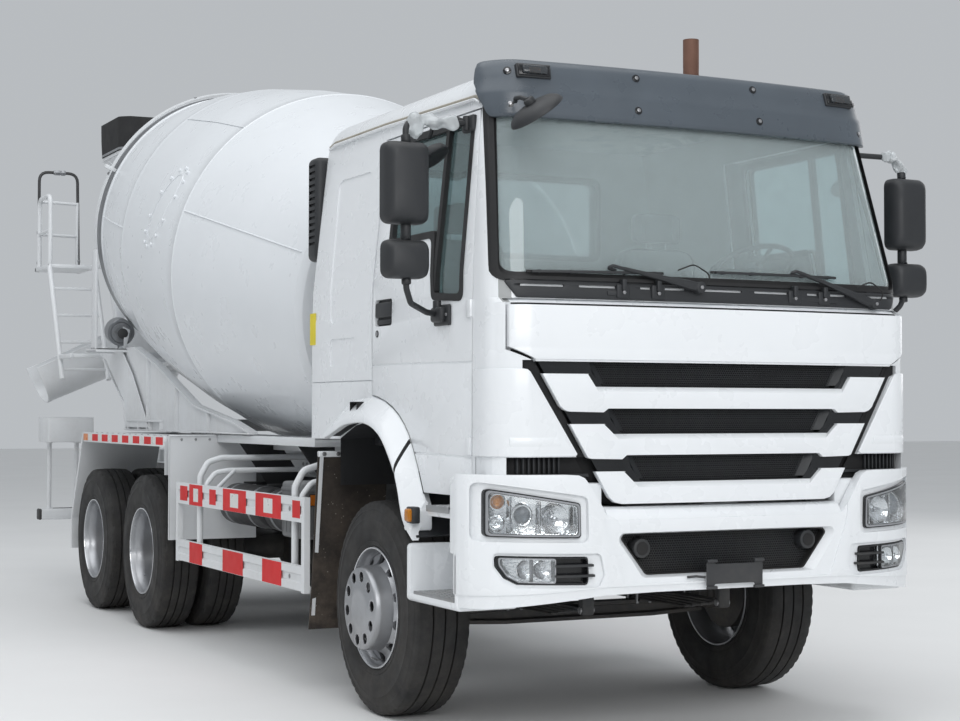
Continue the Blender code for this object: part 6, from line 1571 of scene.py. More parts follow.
# ---------------------------------------------------------------- headlamps and fog lamps
def headlamp(side):
    flip = (lambda s: s) if side == "left" else mirror
    p = Piece("headlight_" + side + "_unit", "truck", "lamp", ("headlight_" + side,))
    form = lambda by, r=0.018: flat_round(inset(LIGHT, by), r, 4)
    ring = lambda a, b, o, d: cut(keep(strip(o, d, 0.90, 1.25), slab(form(a), "Y", -1.8, -1.12)), slab(form(b), "Y", -1.9, -1.0))
    p.add(GLOSS_BLACK, flip(ring(-0.003, 0.003, -0.006, 0.05)))
    p.add(SILVER, flip(ring(0.002, 0.010, -0.002, 0.045)))
    p.add(GLOSS_BLACK, flip(ring(0.0098, 0.0125, -0.004, 0.045)))
    p.add(CLEAR, flip(bevelled(keep(strip(-0.002, 0.006, 0.90, 1.25), slab(form(0.0122, 0.014), "Y", -1.8, -1.12)), 0.0015, 50)))
    # bright bowl behind, open where the lamps sit
    p.add(BOWL, flip(keep(strip(-0.046, 0.052, 0.90, 1.25), slab(form(0.001), "Y", -1.8, -1.10))))
    side_wall = cut(keep(strip(-0.008, 0.048, 0.90, 1.25), slab(form(0.011), "Y", -1.8, -1.10)), slab(form(0.016, 0.012), "Y", -1.9, -1.0))
    p.add(BOWL, flip(side_wall))

    def facing(x, z, back, bm, look):
        """Puts a turned shape on the bowl, looking out across the bumper's face."""
        y = bumper_y(x, -back)
        e = 0.01
        d = Vector((2 * e, bumper_y(x + e, -back) - bumper_y(x - e, -back), 0)).normalized()
        n = Vector((d.y, -d.x, 0))
        n = (n + Vector((0, -1, 0)) * 1.2).normalized()
        m = Matrix.Translation((x, y + Y0, z)) @ n.to_track_quat("Z", "Y").to_matrix().to_4x4()
        p.add(look, flip(moved(bm, m)))

    facing(1.022, 1.062, 0.040, lathe([(0.0, 0.0), (0.0, 0.046), (0.012, 0.048), (0.016, 0.044), (0.014, 0.038), (0.006, 0.036), (0.006, 0.0)], 40), BOWL)
    facing(1.022, 1.062, 0.034, lathe([(0.0, 0.0), (0.0, 0.036), (0.008, 0.034), (0.016, 0.027), (0.022, 0.016), (0.024, 0.0)], 40), lens_dark)
    facing(1.110, 1.118, 0.040, lathe([(0.0, 0.0), (0.0, 0.030), (0.014, 0.034), (0.016, 0.030), (0.004, 0.020), (0.003, 0.0)], 32), BOWL)
    facing(1.110, 1.118, 0.038, lathe([(0.0, 0.0), (0.0, 0.020), (0.012, 0.018), (0.022, 0.010), (0.025, 0.0)], 28), AMBER)
    facing(1.112, 1.030, 0.040, lathe([(0.0, 0.0), (0.0, 0.030), (0.014, 0.034), (0.016, 0.030), (0.004, 0.020), (0.003, 0.0)], 32), BOWL)
    facing(1.112, 1.030, 0.038, lathe([(0.0, 0.0), (0.0, 0.008), (0.016, 0.008), (0.020, 0.005), (0.021, 0.0)], 20), CLEAR)
    facing(0.885, 1.045, 0.044, lathe([(0.0, 0.0), (0.0, 0.050), (0.022, 0.062), (0.026, 0.060), (0.022, 0.052), (0.006, 0.030), (0.002, 0.012), (0.002, 0.0)], 40), BOWL)
    facing(0.885, 1.045, 0.040, lathe([(0.0, 0.0), (0.0, 0.010), (0.018, 0.010), (0.020, 0.006), (0.020, 0.0)], 20), CHROME)
    # fins between the bowls
    for x in (0.955, 0.962, 1.078, 0.812):
        y = bumper_y(x)
        p.add(BOWL, flip(shape_box(x - 0.0015, x + 0.0015, y + 0.010, y + 0.042, 0.985, 1.10 if x < 0.9 else 1.125, 0.0006, 1)))
    p.done()
    f = Piece("fog_lamp_" + side, "truck", "lamp")
    lens_form = ((0.893, 0.766), (0.893, 0.873), (1.120, 0.878), (1.116, 0.842), (1.088, 0.797), (1.046, 0.772))
    round_form = lambda by, r=0.012: flat_round(inset(lens_form, by), r, 4)
    f.add(GLOSS_BLACK, flip(cut(keep(strip(-0.010, 0.050, 0.70, 0.95), slab(flat_round(FOG, 0.016, 3), "Y", -1.8, -1.12)), keep(strip(0.02, 0.044, 0.70, 0.95), slab(flat_round(inset(FOG, 0.006), 0.012, 3), "Y", -1.8, -1.0)))))
    f.add(SILVER, flip(cut(keep(strip(-0.006, 0.030, 0.70, 0.95), slab(round_form(-0.001), "Y", -1.8, -1.12)), slab(round_form(0.004), "Y", -1.9, -1.0))))
    f.add(CLEAR, flip(keep(strip(-0.007, 0.013, 0.70, 0.95), slab(round_form(0.0038), "Y", -1.8, -1.12))))
    f.add(BOWL, flip(keep(strip(-0.038, 0.044, 0.70, 0.95), slab(round_form(-0.001), "Y", -1.8, -1.10))))
    for x in (1.015, 0.945):
        y = bumper_y(x, -0.040)
        f.add(BOWL, flip(moved(lathe([(0.0, 0.0), (0.0, 0.034), (0.016, 0.040), (0.020, 0.038), (0.006, 0.020), (0.003, 0.0)], 32), Matrix.Translation((x, y + Y0, 0.824)) @ Matrix.Rotation(math.radians(90), 4, "X"))))
        f.add(CLEAR, flip(moved(lathe([(0.003, 0.0), (0.003, 0.008), (0.020, 0.008), (0.024, 0.0)], 16), Matrix.Translation((x, y + Y0, 0.824)) @ Matrix.Rotation(math.radians(90), 4, "X"))))
    f.add(SILVER, flip(shape_box(0.988, 0.9915, bumper_y(0.99, -0.034), bumper_y(0.99, -0.008), 0.772, 0.874, 0.001, 1)))
    # two fins that stand past the louvre's inner end
    for z, x_end in ((0.842, 0.722), (0.797, 0.716)):
        line = [(x, bumper_y(x, -0.006), z) for x in (x_end, 0.75, 0.80, 0.85, 0.895)]
        f.add(PLASTIC, flip(sweep(line, [(-0.010, -0.0055), (0.014, -0.0055), (0.014, 0.0045), (-0.010, 0.0055)], first_up=(0, 0, 1))))
    f.done()


lens_dark = lens("projector_lens", (0.42, 0.46, 0.50), 0.02, 0.55)
headlamp("left")
headlamp("right")


# ---------------------------------------------------------------- mixing drum, turned about its leaning line
TILT = math.radians(11.31)
DRUM_M = Matrix.Translation((0, 3.325 + Y0, 2.497)) @ Matrix.Rotation(TILT - math.pi / 2, 4, "X")
DRUM_FORM = ((-1.70, 0.972), (0, 1.226), (0.60, 1.233), (1.30, 1.214), (1.85, 1.174), (2.36, 1.105), (2.56, 1.085), (3.00, 0.80), (3.34, 0.545), (3.44, 0.53))


def on_drum(s, r, deg):
    """A place by length along the drum, radius, and angle from its lowest line."""
    a = math.radians(deg)
    p = DRUM_M @ Vector((r * math.sin(a), r * math.cos(a), s))
    return (p.x, p.y - Y0, p.z)


def drum_r(s):
    for (a, ra), (b, rb) in zip(DRUM_FORM, DRUM_FORM[1:]):
        if a <= s <= b:
            return ra + (rb - ra) * (s - a) / (b - a)
    return DRUM_FORM[-1][1]


def local_tube(points, section, closed=False):
    """A section carried along points (s, r, deg) near the drum's skin."""
    return sweep([on_drum(*p) for p in points], section, closed)


outer_line = [(-1.80, 0.0), (-1.80, 0.445), (-1.795, 0.452), (-1.752, 0.90), (-1.742, 0.935), (-1.722, 0.958), (-1.698, 0.973)]
outer_line += [(s, drum_r(s)) for s in [-1.69 + 0.13 * k for k in range(13)]]
outer_line += [(-0.010, drum_r(-0.010)), (-0.006, 1.2275), (0.0, 1.2290), (0.006, 1.2275), (0.010, drum_r(0.010))]
outer_line += [(s, drum_r(s)) for s in (0.15, 0.30, 0.45, 0.60, 0.75, 0.9, 1.05, 1.2, 1.30, 1.358)]
outer_line += [(1.364, drum_r(1.364) + 0.0015), (1.37, drum_r(1.37) + 0.0030), (1.376, drum_r(1.376) + 0.0015), (1.382, drum_r(1.382))]
outer_line += [(s, drum_r(s)) for s in (1.5, 1.62, 1.74, 1.85, 1.98, 2.11, 2.24, 2.355)]
outer_line += [(2.362, 1.108), (2.366, 1.112), (2.385, 1.112), (2.389, 1.1085), (2.505, 1.1085), (2.509, 1.112), (2.528, 1.112), (2.545, 1.094), (2.552, 1.090)]
outer_line += [(2.56 + 0.44 * t, 1.085 - 0.285 * t) for t in (0.02, 0.25, 0.5, 0.75, 1.0)]
outer_line += [(3.00 + 0.34 * t, 0.80 - 0.255 * t) for t in (0.25, 0.5, 0.75, 0.96)]
outer_line += [(3.335, 0.548), (3.35, 0.548), (3.40, 0.540), (3.436, 0.536), (3.442, 0.531), (3.442, 0.518), (3.436, 0.514)]
inner_line = [(3.335, 0.530), (2.995, 0.782), (2.55, 1.07), (1.85, 1.160), (1.30, 1.201), (0.60, 1.220), (0, 1.213), (-1.69, 0.958), (-1.735, 0.918), (-1.785, 0.45), (-1.785, 0)]
drum = Piece("drum_skin", "drum", "white_paint", ("drum",), smooth=24)
drum.add(WHITE_DRUM, lathe(outer_line + inner_line, 176, DRUM_M))
INV = DRUM_M.inverted()


def drum_local(x, y, z):
    return INV @ Vector((x, y + Y0, z))


def track(x, y, z, n):
    p = drum_local(x, y, z)
    return 2.386 < p.z < 2.508 and math.hypot(p.x, p.y) > 1.106


def inner_side(x, y, z, n):
    p = drum_local(x, y, z)
    r = math.hypot(p.x, p.y)
    s = min(max(p.z, -1.7), 3.44)
    return -1.79 < p.z < 3.434 and r < drum_r(s) - 0.0085 and not (p.z < -1.7 and r < 0.95 and n.dot(DRUM_M.to_3x3() @ Vector((0, 0, 1))) < -0.2)


drum.repaint(STEEL, track)
drum.repaint(CAST, inner_side)
# flat welded seams along the skin
for deg, s0, s1 in ((-107.5, -1.66, -0.02), (12.5, -1.66, -0.02), (132.5, -1.66, -0.02), (-140.5, 0.02, 1.355), (-20.5, 0.02, 1.355), (99.5, 0.02, 1.355), (-95, 1.385, 2.34), (25, 1.385, 2.34), (145, 1.385, 2.34), (-60, 2.58, 3.32), (60, 2.58, 3.32), (180, 2.58, 3.32)):
    n = 10
    pts = [(s0 + (s1 - s0) * k / n, drum_r(s0 + (s1 - s0) * k / n) + 0.0005, deg) for k in range(n + 1)]
    drum.add(WHITE_DRUM, local_tube(pts, [(-0.008, -0.002), (0.008, -0.002), (0.005, 0.0016), (0.0, 0.0028), (-0.005, 0.0016)]))


def drum_bolt(s, deg, r=0.014, h=0.016, look=WHITE_DRUM):
    slope = math.atan2(drum_r(s + 0.02) - drum_r(s - 0.02), 0.04)
    a = math.radians(deg)
    n_local = Vector((math.sin(a) * math.cos(slope), math.cos(a) * math.cos(slope), -math.sin(slope)))
    n = DRUM_M.to_3x3() @ n_local
    p = on_drum(s, drum_r(s) - 0.003, deg)
    drum.add(look, bolt(p, n, r, h + 0.003))


# the inspection hatch: a curved plate on a flange with its bolts, long across the drum
HATCH = (0.47, -107.0 + 0.0)


def hatch_at(u, v):
    """u along the drum, v round it, both metres from the hatch's middle."""
    return (0.475 + u, math.degrees(v / 1.23) - 106.5)


for k in range(14):
    t = TAU * (k + 0.5) / 14
    cu, cv = math.cos(t), math.sin(t)
    u = 0.165 * (abs(cu) ** 0.8) * (1 if cu > 0 else -1)
    v = 0.300 * (abs(cv) ** 0.8) * (1 if cv > 0 else -1)
    lean = 0.42 * v
    s, deg = hatch_at(u + lean, v)
    drum_bolt(s, deg, 0.013, 0.014)
rim = []
for k in range(40):
    t = TAU * k / 40
    cu, cv = math.cos(t), math.sin(t)
    u = 0.120 * (abs(cu) ** 0.8) * (1 if cu > 0 else -1)
    v = 0.252 * (abs(cv) ** 0.8) * (1 if cv > 0 else -1)
    s, deg = hatch_at(u + 0.42 * v, v)
    rim.append((s, drum_r(s) - 0.0004, deg))
drum.add(WHITE_DRUM, local_tube(rim, [(-0.005, -0.002), (0.005, -0.002), (0.003, 0.0018), (-0.003, 0.0018)], closed=True))
# bolts of the front flange on the gearbox side
for k in range(12):
    a = TAU * k / 12
    p = DRUM_M @ Vector((0.40 * math.cos(a), 0.40 * math.sin(a), -1.798))
    drum.add(BOLT, bolt((p.x, p.y - Y0, p.z), DRUM_M.to_3x3() @ Vector((0, 0, -1)), 0.015, 0.006))
# two spiral blades that can be seen through the mouth
for start in (0.0, 180.0):
    rings = []
    for k in range(64):
        t = k / 63
        s = 3.36 - 1.70 * t
        deg = start + 470 * t
        outer_r = min(drum_r(min(s, 3.34)) - 0.016, 1.16)
        inner_r = max(outer_r - 0.16 - 0.20 * min(1.0, t * 2.2), 0.33)
        a = math.radians(deg)
        d = 0.004
        rings.append([tuple(DRUM_M @ Vector((r * math.sin(a), r * math.cos(a), s + o))) for r, o in ((outer_r, -d), (inner_r, -d + 0.03), (inner_r, d + 0.03), (outer_r, d))])
    drum.add(CAST, loft(rings, add=0.0))
drum.done()

# ---------------------------------------------------------------- gearbox with the hydraulic motor on its front
gearbox = Piece("drum_gearbox_unit", "truck", "cast_metal", ("drum_gearbox",))
gearbox.add(CAST, lathe([(-2.235, 0.0), (-2.235, 0.10), (-2.215, 0.16), (-2.20, 0.165), (-2.185, 0.245), (-2.175, 0.268), (-2.135, 0.268), (-2.125, 0.255), (-2.06, 0.252), (-2.05, 0.266), (-1.985, 0.266), (-1.975, 0.255), (-1.955, 0.255), (-1.945, 0.196), (-1.82, 0.192), (-1.807, 0.196), (-1.807, 0.0)], 64, DRUM_M))
for k in range(16):
    a = TAU * k / 16
    for s, r, d in ((-2.135, 0.259, 1), (-2.175, 0.257, -1)):
        p = DRUM_M @ Vector((0.246 * math.cos(a), 0.246 * math.sin(a), s))
        q = DRUM_M.to_3x3() @ Vector((0, 0, d))
        if d < 0:
            gearbox.add(BOLT, bolt((p.x, p.y - Y0, p.z), q, 0.011, 0.012))
for k in range(18):
    a = TAU * k / 18
    d = DRUM_M.to_3x3() @ Vector((math.cos(a), math.sin(a), 0))
    gearbox.add(CAST, rod(on_drum(-2.13, 0.25, math.degrees(a)), on_drum(-1.99, 0.25, math.degrees(a)), 0.012, 8))
gearbox.done()

# ---------------------------------------------------------------- subframe, pedestal and the chute's post
sub = Piece("drum_subframe_unit", "truck", "white_paint", ("drum_subframe",))
for sx in (1, -1):
    web = slab(((0.357, 1.0806), (0.423, 1.0806), (0.423, 1.0900), (0.3665, 1.0900), (0.3665, 1.1904), (0.423, 1.1904), (0.423, 1.1995), (0.357, 1.1995)), "Y", 1.16, 7.29, 0.002, 1)
    sub.add(WHITE_LOW, web if sx > 0 else mirror(web))
for y in (1.30, 2.4, 3.6, 4.9, 6.2, 7.2):
    sub.add(WHITE_LOW, shape_box(-0.36, 0.36, y - 0.035, y + 0.035, 1.095, 1.185, 0.006))
for sx in (1, -1):
    for y in (1.6, 2.2, 2.9, 3.5, 4.1, 5.8, 6.5, 7.0):
        x = sorted((sx * 0.423, sx * 0.4295))
        sub.add(WHITE_LOW, shape_box(x[0], x[1], y - 0.06, y + 0.06, 1.09, 1.19, 0.004))
        for dy in (-0.035, 0.035):
            sub.add(BOLT, bolt((sx * 0.4285, y + dy, 1.115), (sx, 0, 0), 0.009, 0.008), bolt((sx * 0.4285, y + dy, 1.165), (sx, 0, 0), 0.009, 0.008))
leg = ((0.416, 1.122), (0.367, 1.122), (0.205, 1.750), (0.296, 1.750))
for y0, y1 in ((1.185, 1.215), (1.365, 1.395)):
    sub.both(WHITE_LOW, slab(leg, "Y", y0, y1, 0.003))
sub.both(WHITE_LOW, slab(((0.385, 1.125), (0.372, 1.125), (0.228, 1.745), (0.244, 1.745)), "Y", 1.20, 1.38, 0.002))
sub.add(WHITE_LOW, shape_box(-0.318, 0.318, 1.165, 1.415, 1.752, 1.773, 0.004), shape_box(-0.29, 0.29, 1.19, 1.39, 1.70, 1.755, 0.01))
sub.add(WHITE_LOW, shape_box(-0.29, 0.29, 1.24, 1.34, 1.36, 1.42, 0.008))
for x in (-0.25, -0.1, 0.1, 0.25):
    sub.add(BOLT, bolt((x, 1.20, 1.772), (0, 0, 1), 0.014, 0.016), bolt((x, 1.395, 1.772), (0, 0, 1), 0.014, 0.016))
sub.add(WHITE_USED, rod((0, 7.45, 1.10), (0, 7.45, 1.8798), 0.054, 40, edge=0.006), rod((0, 7.45, 1.845), (0, 7.45, 1.8798), 0.068, 40, edge=0.004), rod((0, 7.45, 1.10), (0, 7.45, 1.135), 0.085, 32, edge=0.006))
sub.add(WHITE_USED, shape_box(-0.058, 0.058, 7.16, 7.46, 1.092, 1.148, 0.006))
for sx in (1, -1):
    sub.add(WHITE_USED, slab(((7.20, 1.148), (7.405, 1.148), (7.405, 1.42)), "X", sx * 0.035, sx * 0.047, 0.002))
sub.done()

# ---------------------------------------------------------------- rollers under the track
for side, sx in (("left", 1), ("right", -1)):
    c = on_drum(2.45, 1.228, sx * 47)
    place = Matrix.Translation((c[0], c[1] + Y0, c[2])) @ DRUM_M.to_3x3().to_4x4()
    roller = Piece("roller_" + side + "_wheel", "roller_" + side, "cast_metal", ("drum_roller_" + side,))
    roller.add(STEEL, lathe([(-0.069, 0.0), (-0.069, 0.030), (-0.055, 0.034), (-0.052, 0.080), (-0.060, 0.088), (-0.060, 0.105), (-0.055, 0.1095), (0.055, 0.1095), (0.060, 0.105), (0.060, 0.088), (0.052, 0.080), (0.055, 0.034), (0.069, 0.030), (0.069, 0.0)], 56, place))
    for k in range(6):
        a = TAU * k / 6
        for d in (-1, 1):
            p = place @ Vector((0.056 * math.cos(a), 0.056 * math.sin(a), d * 0.052))
            roller.add(BOLT, bolt((p.x, p.y - Y0, p.z), place.to_3x3() @ Vector((0, 0, d)), 0.007, 0.006))
    roller.done()


# ---------------------------------------------------------------- rear support: side plates, saddle, uprights and hoop
def line_box(points, w, h, look_points=None):
    """A square bar along points."""
    return sweep(points, [(-w / 2, -h / 2), (w / 2, -h / 2), (w / 2, h / 2), (-w / 2, h / 2)])


support = Piece("rear_support_unit", "truck", "white_paint", ("rear_support",))
SIDE_PLATE = ((2.60, 1.366), (5.62, 1.366), (5.67, 1.59), (6.40, 2.00), (6.40, 2.018), (5.35, 2.018), (4.74, 1.865), (3.80, 1.56), (2.96, 1.45))
support.both(WHITE_USED, slab(SIDE_PLATE, "X", 0.888, 0.896, 0.001, 1))
# flanges along the plate's edges give it its depth
upper = [(0.895, y, z) for y, z in ((2.62, 1.378), (2.96, 1.444), (3.80, 1.554), (4.74, 1.859), (5.35, 2.012))]
support.both(WHITE_USED, sweep(rounded(upper, 0.08, 4), [(-0.034, -0.005), (0.034, -0.005), (0.034, 0.005), (-0.034, 0.005)], first_up=(0, 0, 1)))
lower = [(0.895, y, z) for y, z in ((5.60, 1.372), (5.66, 1.585), (6.395, 1.995))]
support.both(WHITE_USED, sweep(rounded(lower, 0.05, 4), [(-0.034, -0.005), (0.034, -0.005), (0.034, 0.005), (-0.034, 0.005)], first_up=(0, 0, 1)))
support.both(WHITE_USED, shape_box(0.861, 0.929, 2.62, 5.62, 1.3655, 1.375, 0.002))
for y, z0, z1 in ((3.5, 1.372, 1.50), (4.25, 1.372, 1.70), (5.0, 1.372, 1.92)):
    support.both(WHITE_USED, shape_box(0.866, 0.925, y - 0.005, y + 0.005, z0, z1, 0.001))
# outer gusset beside the track, standing on the plate
gusset = [(4.95, 1.39), (5.60, 1.39), (5.66, 1.60), (6.26, 1.95), (6.24, 2.00), (5.72, 1.99), (5.42, 1.80)]
support.both(WHITE_USED, slab(gusset, "X", 0.912, 0.922, 0.002, 1))
# cross saddle and its feet on the frame
support.add(WHITE_USED, shape_box(-0.929, 0.929, 4.63, 5.54, 1.433, 1.449, 0.003), shape_box(-0.929, 0.929, 4.63, 5.54, 1.3635, 1.373, 0.003))
for y in (4.64, 4.93, 5.24, 5.53):
    support.add(WHITE_USED, shape_box(-0.925, 0.925, y - 0.006, y + 0.006, 1.370, 1.437, 0.001))
support.both(WHITE_USED, shape_box(0.357, 0.423, 4.66, 5.49, 1.2006, 1.369, 0.008))
for sx in (1, -1):
    for y in (4.72, 4.92, 5.08, 5.24, 5.43):
        support.add(BOLT, bolt((sx * 0.421, y, 1.235), (sx, 0, 0), 0.012, 0.010), bolt((sx * 0.421, y, 1.33), (sx, 0, 0), 0.012, 0.010))
# roller stands
for sx in (1, -1):
    c = on_drum(2.45, 1.228, sx * 47)
    for s in (2.352, 2.548):
        p = on_drum(s, 1.228, sx * 47)
        foot_y = p[1]
        cheek = [(p[0] - 0.075, p[2] - 0.02), (p[0] - 0.045, p[2] + 0.045), (p[0] + 0.045, p[2] + 0.045), (p[0] + 0.075, p[2] - 0.02)]
        edge = 0.885 if sx > 0 else -0.885
        if sx > 0:
            form = [(p[0] - 0.06, p[2] + 0.03), (p[0] + 0.0, p[2] + 0.055), (0.889, p[2] + 0.02), (0.889, p[2] - 0.19), (p[0] - 0.02, p[2] - 0.16)]
        else:
            form = [(p[0] + 0.06, p[2] + 0.03), (p[0] - 0.0, p[2] + 0.055), (-0.889, p[2] + 0.02), (-0.889, p[2] - 0.19), (p[0] + 0.02, p[2] - 0.16)]
        support.add(WHITE_USED, slab(form, "Y", foot_y - 0.008, foot_y + 0.008, 0.002))
        q = on_drum(s - (0.014 if s < 2.4 else -0.014), 1.228, sx * 47)
        support.add(CAST, rod(p, q, 0.042, 24, edge=0.004))
# hopper uprights, square tubes with cross bars
up = ((6.285, 1.935), (6.395, 1.935), (7.055, 3.295), (6.945, 3.295))
support.both(WHITE_USED, bevelled(slab(up, "X", 0.703, 0.777), 0.010, 40, 3))
support.both(WHITE_USED, shape_box(0.722, 0.918, 6.255, 6.385, 1.942, 2.013, 0.006))
support.both(WHITE_USED, slab(((6.29, 2.01), (6.385, 2.01), (6.50, 2.26), (6.44, 2.26)), "X", 0.776, 0.786, 0.001))
support.add(WHITE_USED, shape_box(-0.739, 0.739, 6.963, 7.017, 3.185, 3.275, 0.010, 3))
support.add(WHITE_USED, shape_box(-0.899, 0.899, 6.275, 6.355, 1.953, 2.007, 0.010, 3))
for sx in (1, -1):
    support.add(BOLT, bolt((sx * 0.739, 6.952, 3.23), (0, -1, 0), 0.012, 0.012), bolt((sx * 0.739, 6.956, 3.19), (0, -1, 0), 0.010, 0.010))
# fender stays with their brackets
support.both(WHITE_USED, shape_box(0.884, 1.143, 5.67, 6.01, 2.001, 2.013, 0.002), shape_box(0.884, 1.143, 5.67, 5.679, 1.982, 2.012, 0.001), shape_box(0.884, 1.143, 6.001, 6.01, 1.982, 2.012, 0.001))
support.both(WHITE_USED, shape_box(1.121, 1.143, 5.71, 5.83, 2.002, 2.80, 0.006))
for sx in (1, -1):
    for y in (5.735, 5.805):
        support.add(BOLT, bolt((sx * 1.135, y, 2.012), (0, 0, 1), 0.010, 0.010))
# hoop over the track: a flat band
arc = []
for k in range(81):
    deg = 80.5 + 199 * k / 80
    arc.append((2.45, 1.139, deg))
rings = []
for s, r, deg in arc:
    rings.append([tuple(Vector(on_drum(s + ds, r + dr, deg)) + Vector((0, Y0, 0))) for ds, dr in ((-0.029, -0.0045), (0.029, -0.0045), (0.029, 0.0045), (-0.029, 0.0045))])
support.add(WHITE_USED, loft(rings, add=0.0))
for deg in (112, 160, 200, 248):
    for s in (2.437, 2.463):
        p = on_drum(s, 1.1425, deg)
        q = Vector(on_drum(s, 1.3, deg)) - Vector(p)
        support.add(BOLT, bolt(p, q, 0.008, 0.007))
p = on_drum(2.45, 1.150, -114)
support.add(WHITE_USED, moved(merged(shape_box(-0.045, 0.045, -0.03 - Y0, 0.03 - Y0, -0.012, 0.020, 0.006)), Matrix.Translation((p[0], p[1] + Y0, p[2])) @ DRUM_M.to_3x3().to_4x4() @ Matrix.Rotation(math.radians(114 - 90), 4, "Z") @ Matrix.Rotation(math.radians(90), 4, "X")))
support.done()

# ---------------------------------------------------------------- charge hopper, its collar, and the discharge funnel
hopper = Piece("charge_hopper_shell", "truck", "white_paint", ("charge_hopper",), smooth=28)


def funnel(levels, wall, cut_front=None):
    """Rounded-corner openings at rising heights with a wall's thickness."""
    def ring(half, y0, y1, z, r, by):
        h, a, b = half - by, y0 + by, y1 - by
        return [(x, y, z) for x, y in flat_round(((-h, a), (h, a), (h, b), (-h, b)), max(r - by, 0.01), 5)]
    return cut(loft([ring(*lv, 0.0) for lv in levels]), loft([ring(levels[0][0], levels[0][1], levels[0][2], levels[0][3] - 0.05, levels[0][4], wall)] + [ring(*lv, wall) for lv in levels] + [ring(levels[-1][0], levels[-1][1], levels[-1][2], levels[-1][3] + 0.05, levels[-1][4], wall)]))


shell = funnel([(0.262, 6.84, 7.14, 3.322, 0.05), (0.595, 6.972, 7.715, 3.770, 0.10)], 0.008)
hopper.add(WHITE_USED, shell)
rim_line = [(x, y, 3.785) for x, y in flat_round(((-0.598, 6.975), (0.598, 6.975), (0.598, 7.715), (-0.598, 7.715)), 0.10, 5)]
hopper.add(WHITE_USED, sweep(rim_line, [(-0.012, -0.014), (0.004, -0.014), (0.004, 0.014), (-0.012, 0.014)], closed=True, first_up=(0, 0, 1)))
hopper.add(WHITE_USED, shape_box(-0.618, 0.618, 7.022, 7.048, 3.285, 3.395, 0.006))
for sx in (1, -1):
    hopper.add(WHITE_USED, shape_box(sx * 0.535, sx * 0.615, 7.022, 7.055, 3.285, 3.735, 0.008))
    for z in (3.31, 3.37, 3.66):
        hopper.add(BOLT, bolt((sx * 0.59, 7.055, z), (0, 1, 0), 0.010, 0.012))
    # pressed ribs down the sides
    for t in (0.33, 0.66):
        a = Vector((sx * 0.262, 6.84 + 0.30 * t, 3.36)); b = Vector((sx * 0.585, 6.98 + 0.72 * t, 3.75))
        hopper.add(WHITE_USED, sweep([tuple(a.lerp(b, k)) for k in (0.15, 1.0)], [(-0.010, -0.004), (0.010, -0.004), (0.006, 0.006), (-0.006, 0.006)]))
hopper.done()

collar = Piece("hopper_collar_skirt", "truck", "rubber", ("hopper_collar",), smooth=30)
ring_xy = [(0.62, 7.02), (0.53, 6.93), (-0.53, 6.93), (-0.62, 7.02), (-0.62, 7.65), (-0.53, 7.74), (0.53, 7.74), (0.62, 7.65)]
levels = []
for z, by in ((3.801, 0.010), (3.86, 0.006), (3.95, 0.002), (4.04, 0.0005), (4.094, 0.0)):
    levels.append((z, by))
outer_rings = [[(x, y, z + 0.006 * math.sin(x * 9.0 + y * 4.0) * (z > 4.0)) for x, y in flat_round(inset(ring_xy, by), 0.09, 5)] for z, by in levels]
inner_rings = [[(x, y, z + 0.006 * math.sin(x * 9.0 + y * 4.0) * (z > 4.0)) for x, y in flat_round(inset(ring_xy, by + 0.010), 0.085, 5)] for z, by in levels][::-1]
shape = loft(outer_rings + inner_rings, caps=False)
bottom_a, bottom_b = outer_rings[0], inner_rings[-1]
shape2 = loft([bottom_b, bottom_a], caps=False)
both_shape = merged(shape, shape2)
bmesh.ops.remove_doubles(both_shape, verts=both_shape.verts, dist=1e-5)
bmesh.ops.recalc_face_normals(both_shape, faces=both_shape.faces)
collar.add(RUBBER, both_shape)
clamp = [(x, y, 3.815) for x, y in flat_round(inset(ring_xy, 0.008), 0.09, 5)]
collar.add(STEEL, sweep(clamp, [(-0.001, -0.010), (0.005, -0.010), (0.005, 0.010), (-0.001, 0.010)], closed=True, first_up=(0, 0, 1)))
collar.done()

discharge = Piece("discharge_funnel_shell", "truck", "white_paint", ("discharge_funnel",), smooth=28)
discharge.add(WHITE_USED, funnel([(0.132, 7.32, 7.58, 2.502, 0.04), (0.20, 7.22, 7.60, 2.60, 0.05), (0.595, 6.804, 7.655, 3.020, 0.09), (0.597, 6.802, 7.657, 3.048, 0.09)], 0.007))
discharge.both(WHITE_USED, shape_box(0.50, 0.6985, 6.845, 6.875, 2.935, 2.995, 0.005))
lip_line = [(x, y, 3.040) for x, y in flat_round(((-0.597, 6.803), (0.597, 6.803), (0.597, 7.657), (-0.597, 7.657)), 0.09, 5)]
discharge.add(WHITE_USED, sweep(lip_line, [(-0.010, -0.009), (0.003, -0.009), (0.003, 0.009), (-0.010, 0.009)], closed=True, first_up=(0, 0, 1)))
for sx in (1, -1):
    discharge.add(BOLT, bolt((sx * 0.64, 6.846, 2.965), (0, -1, 0), 0.010, 0.008), bolt((sx * 0.55, 6.846, 2.965), (0, -1, 0), 0.010, 0.008))
discharge.done()

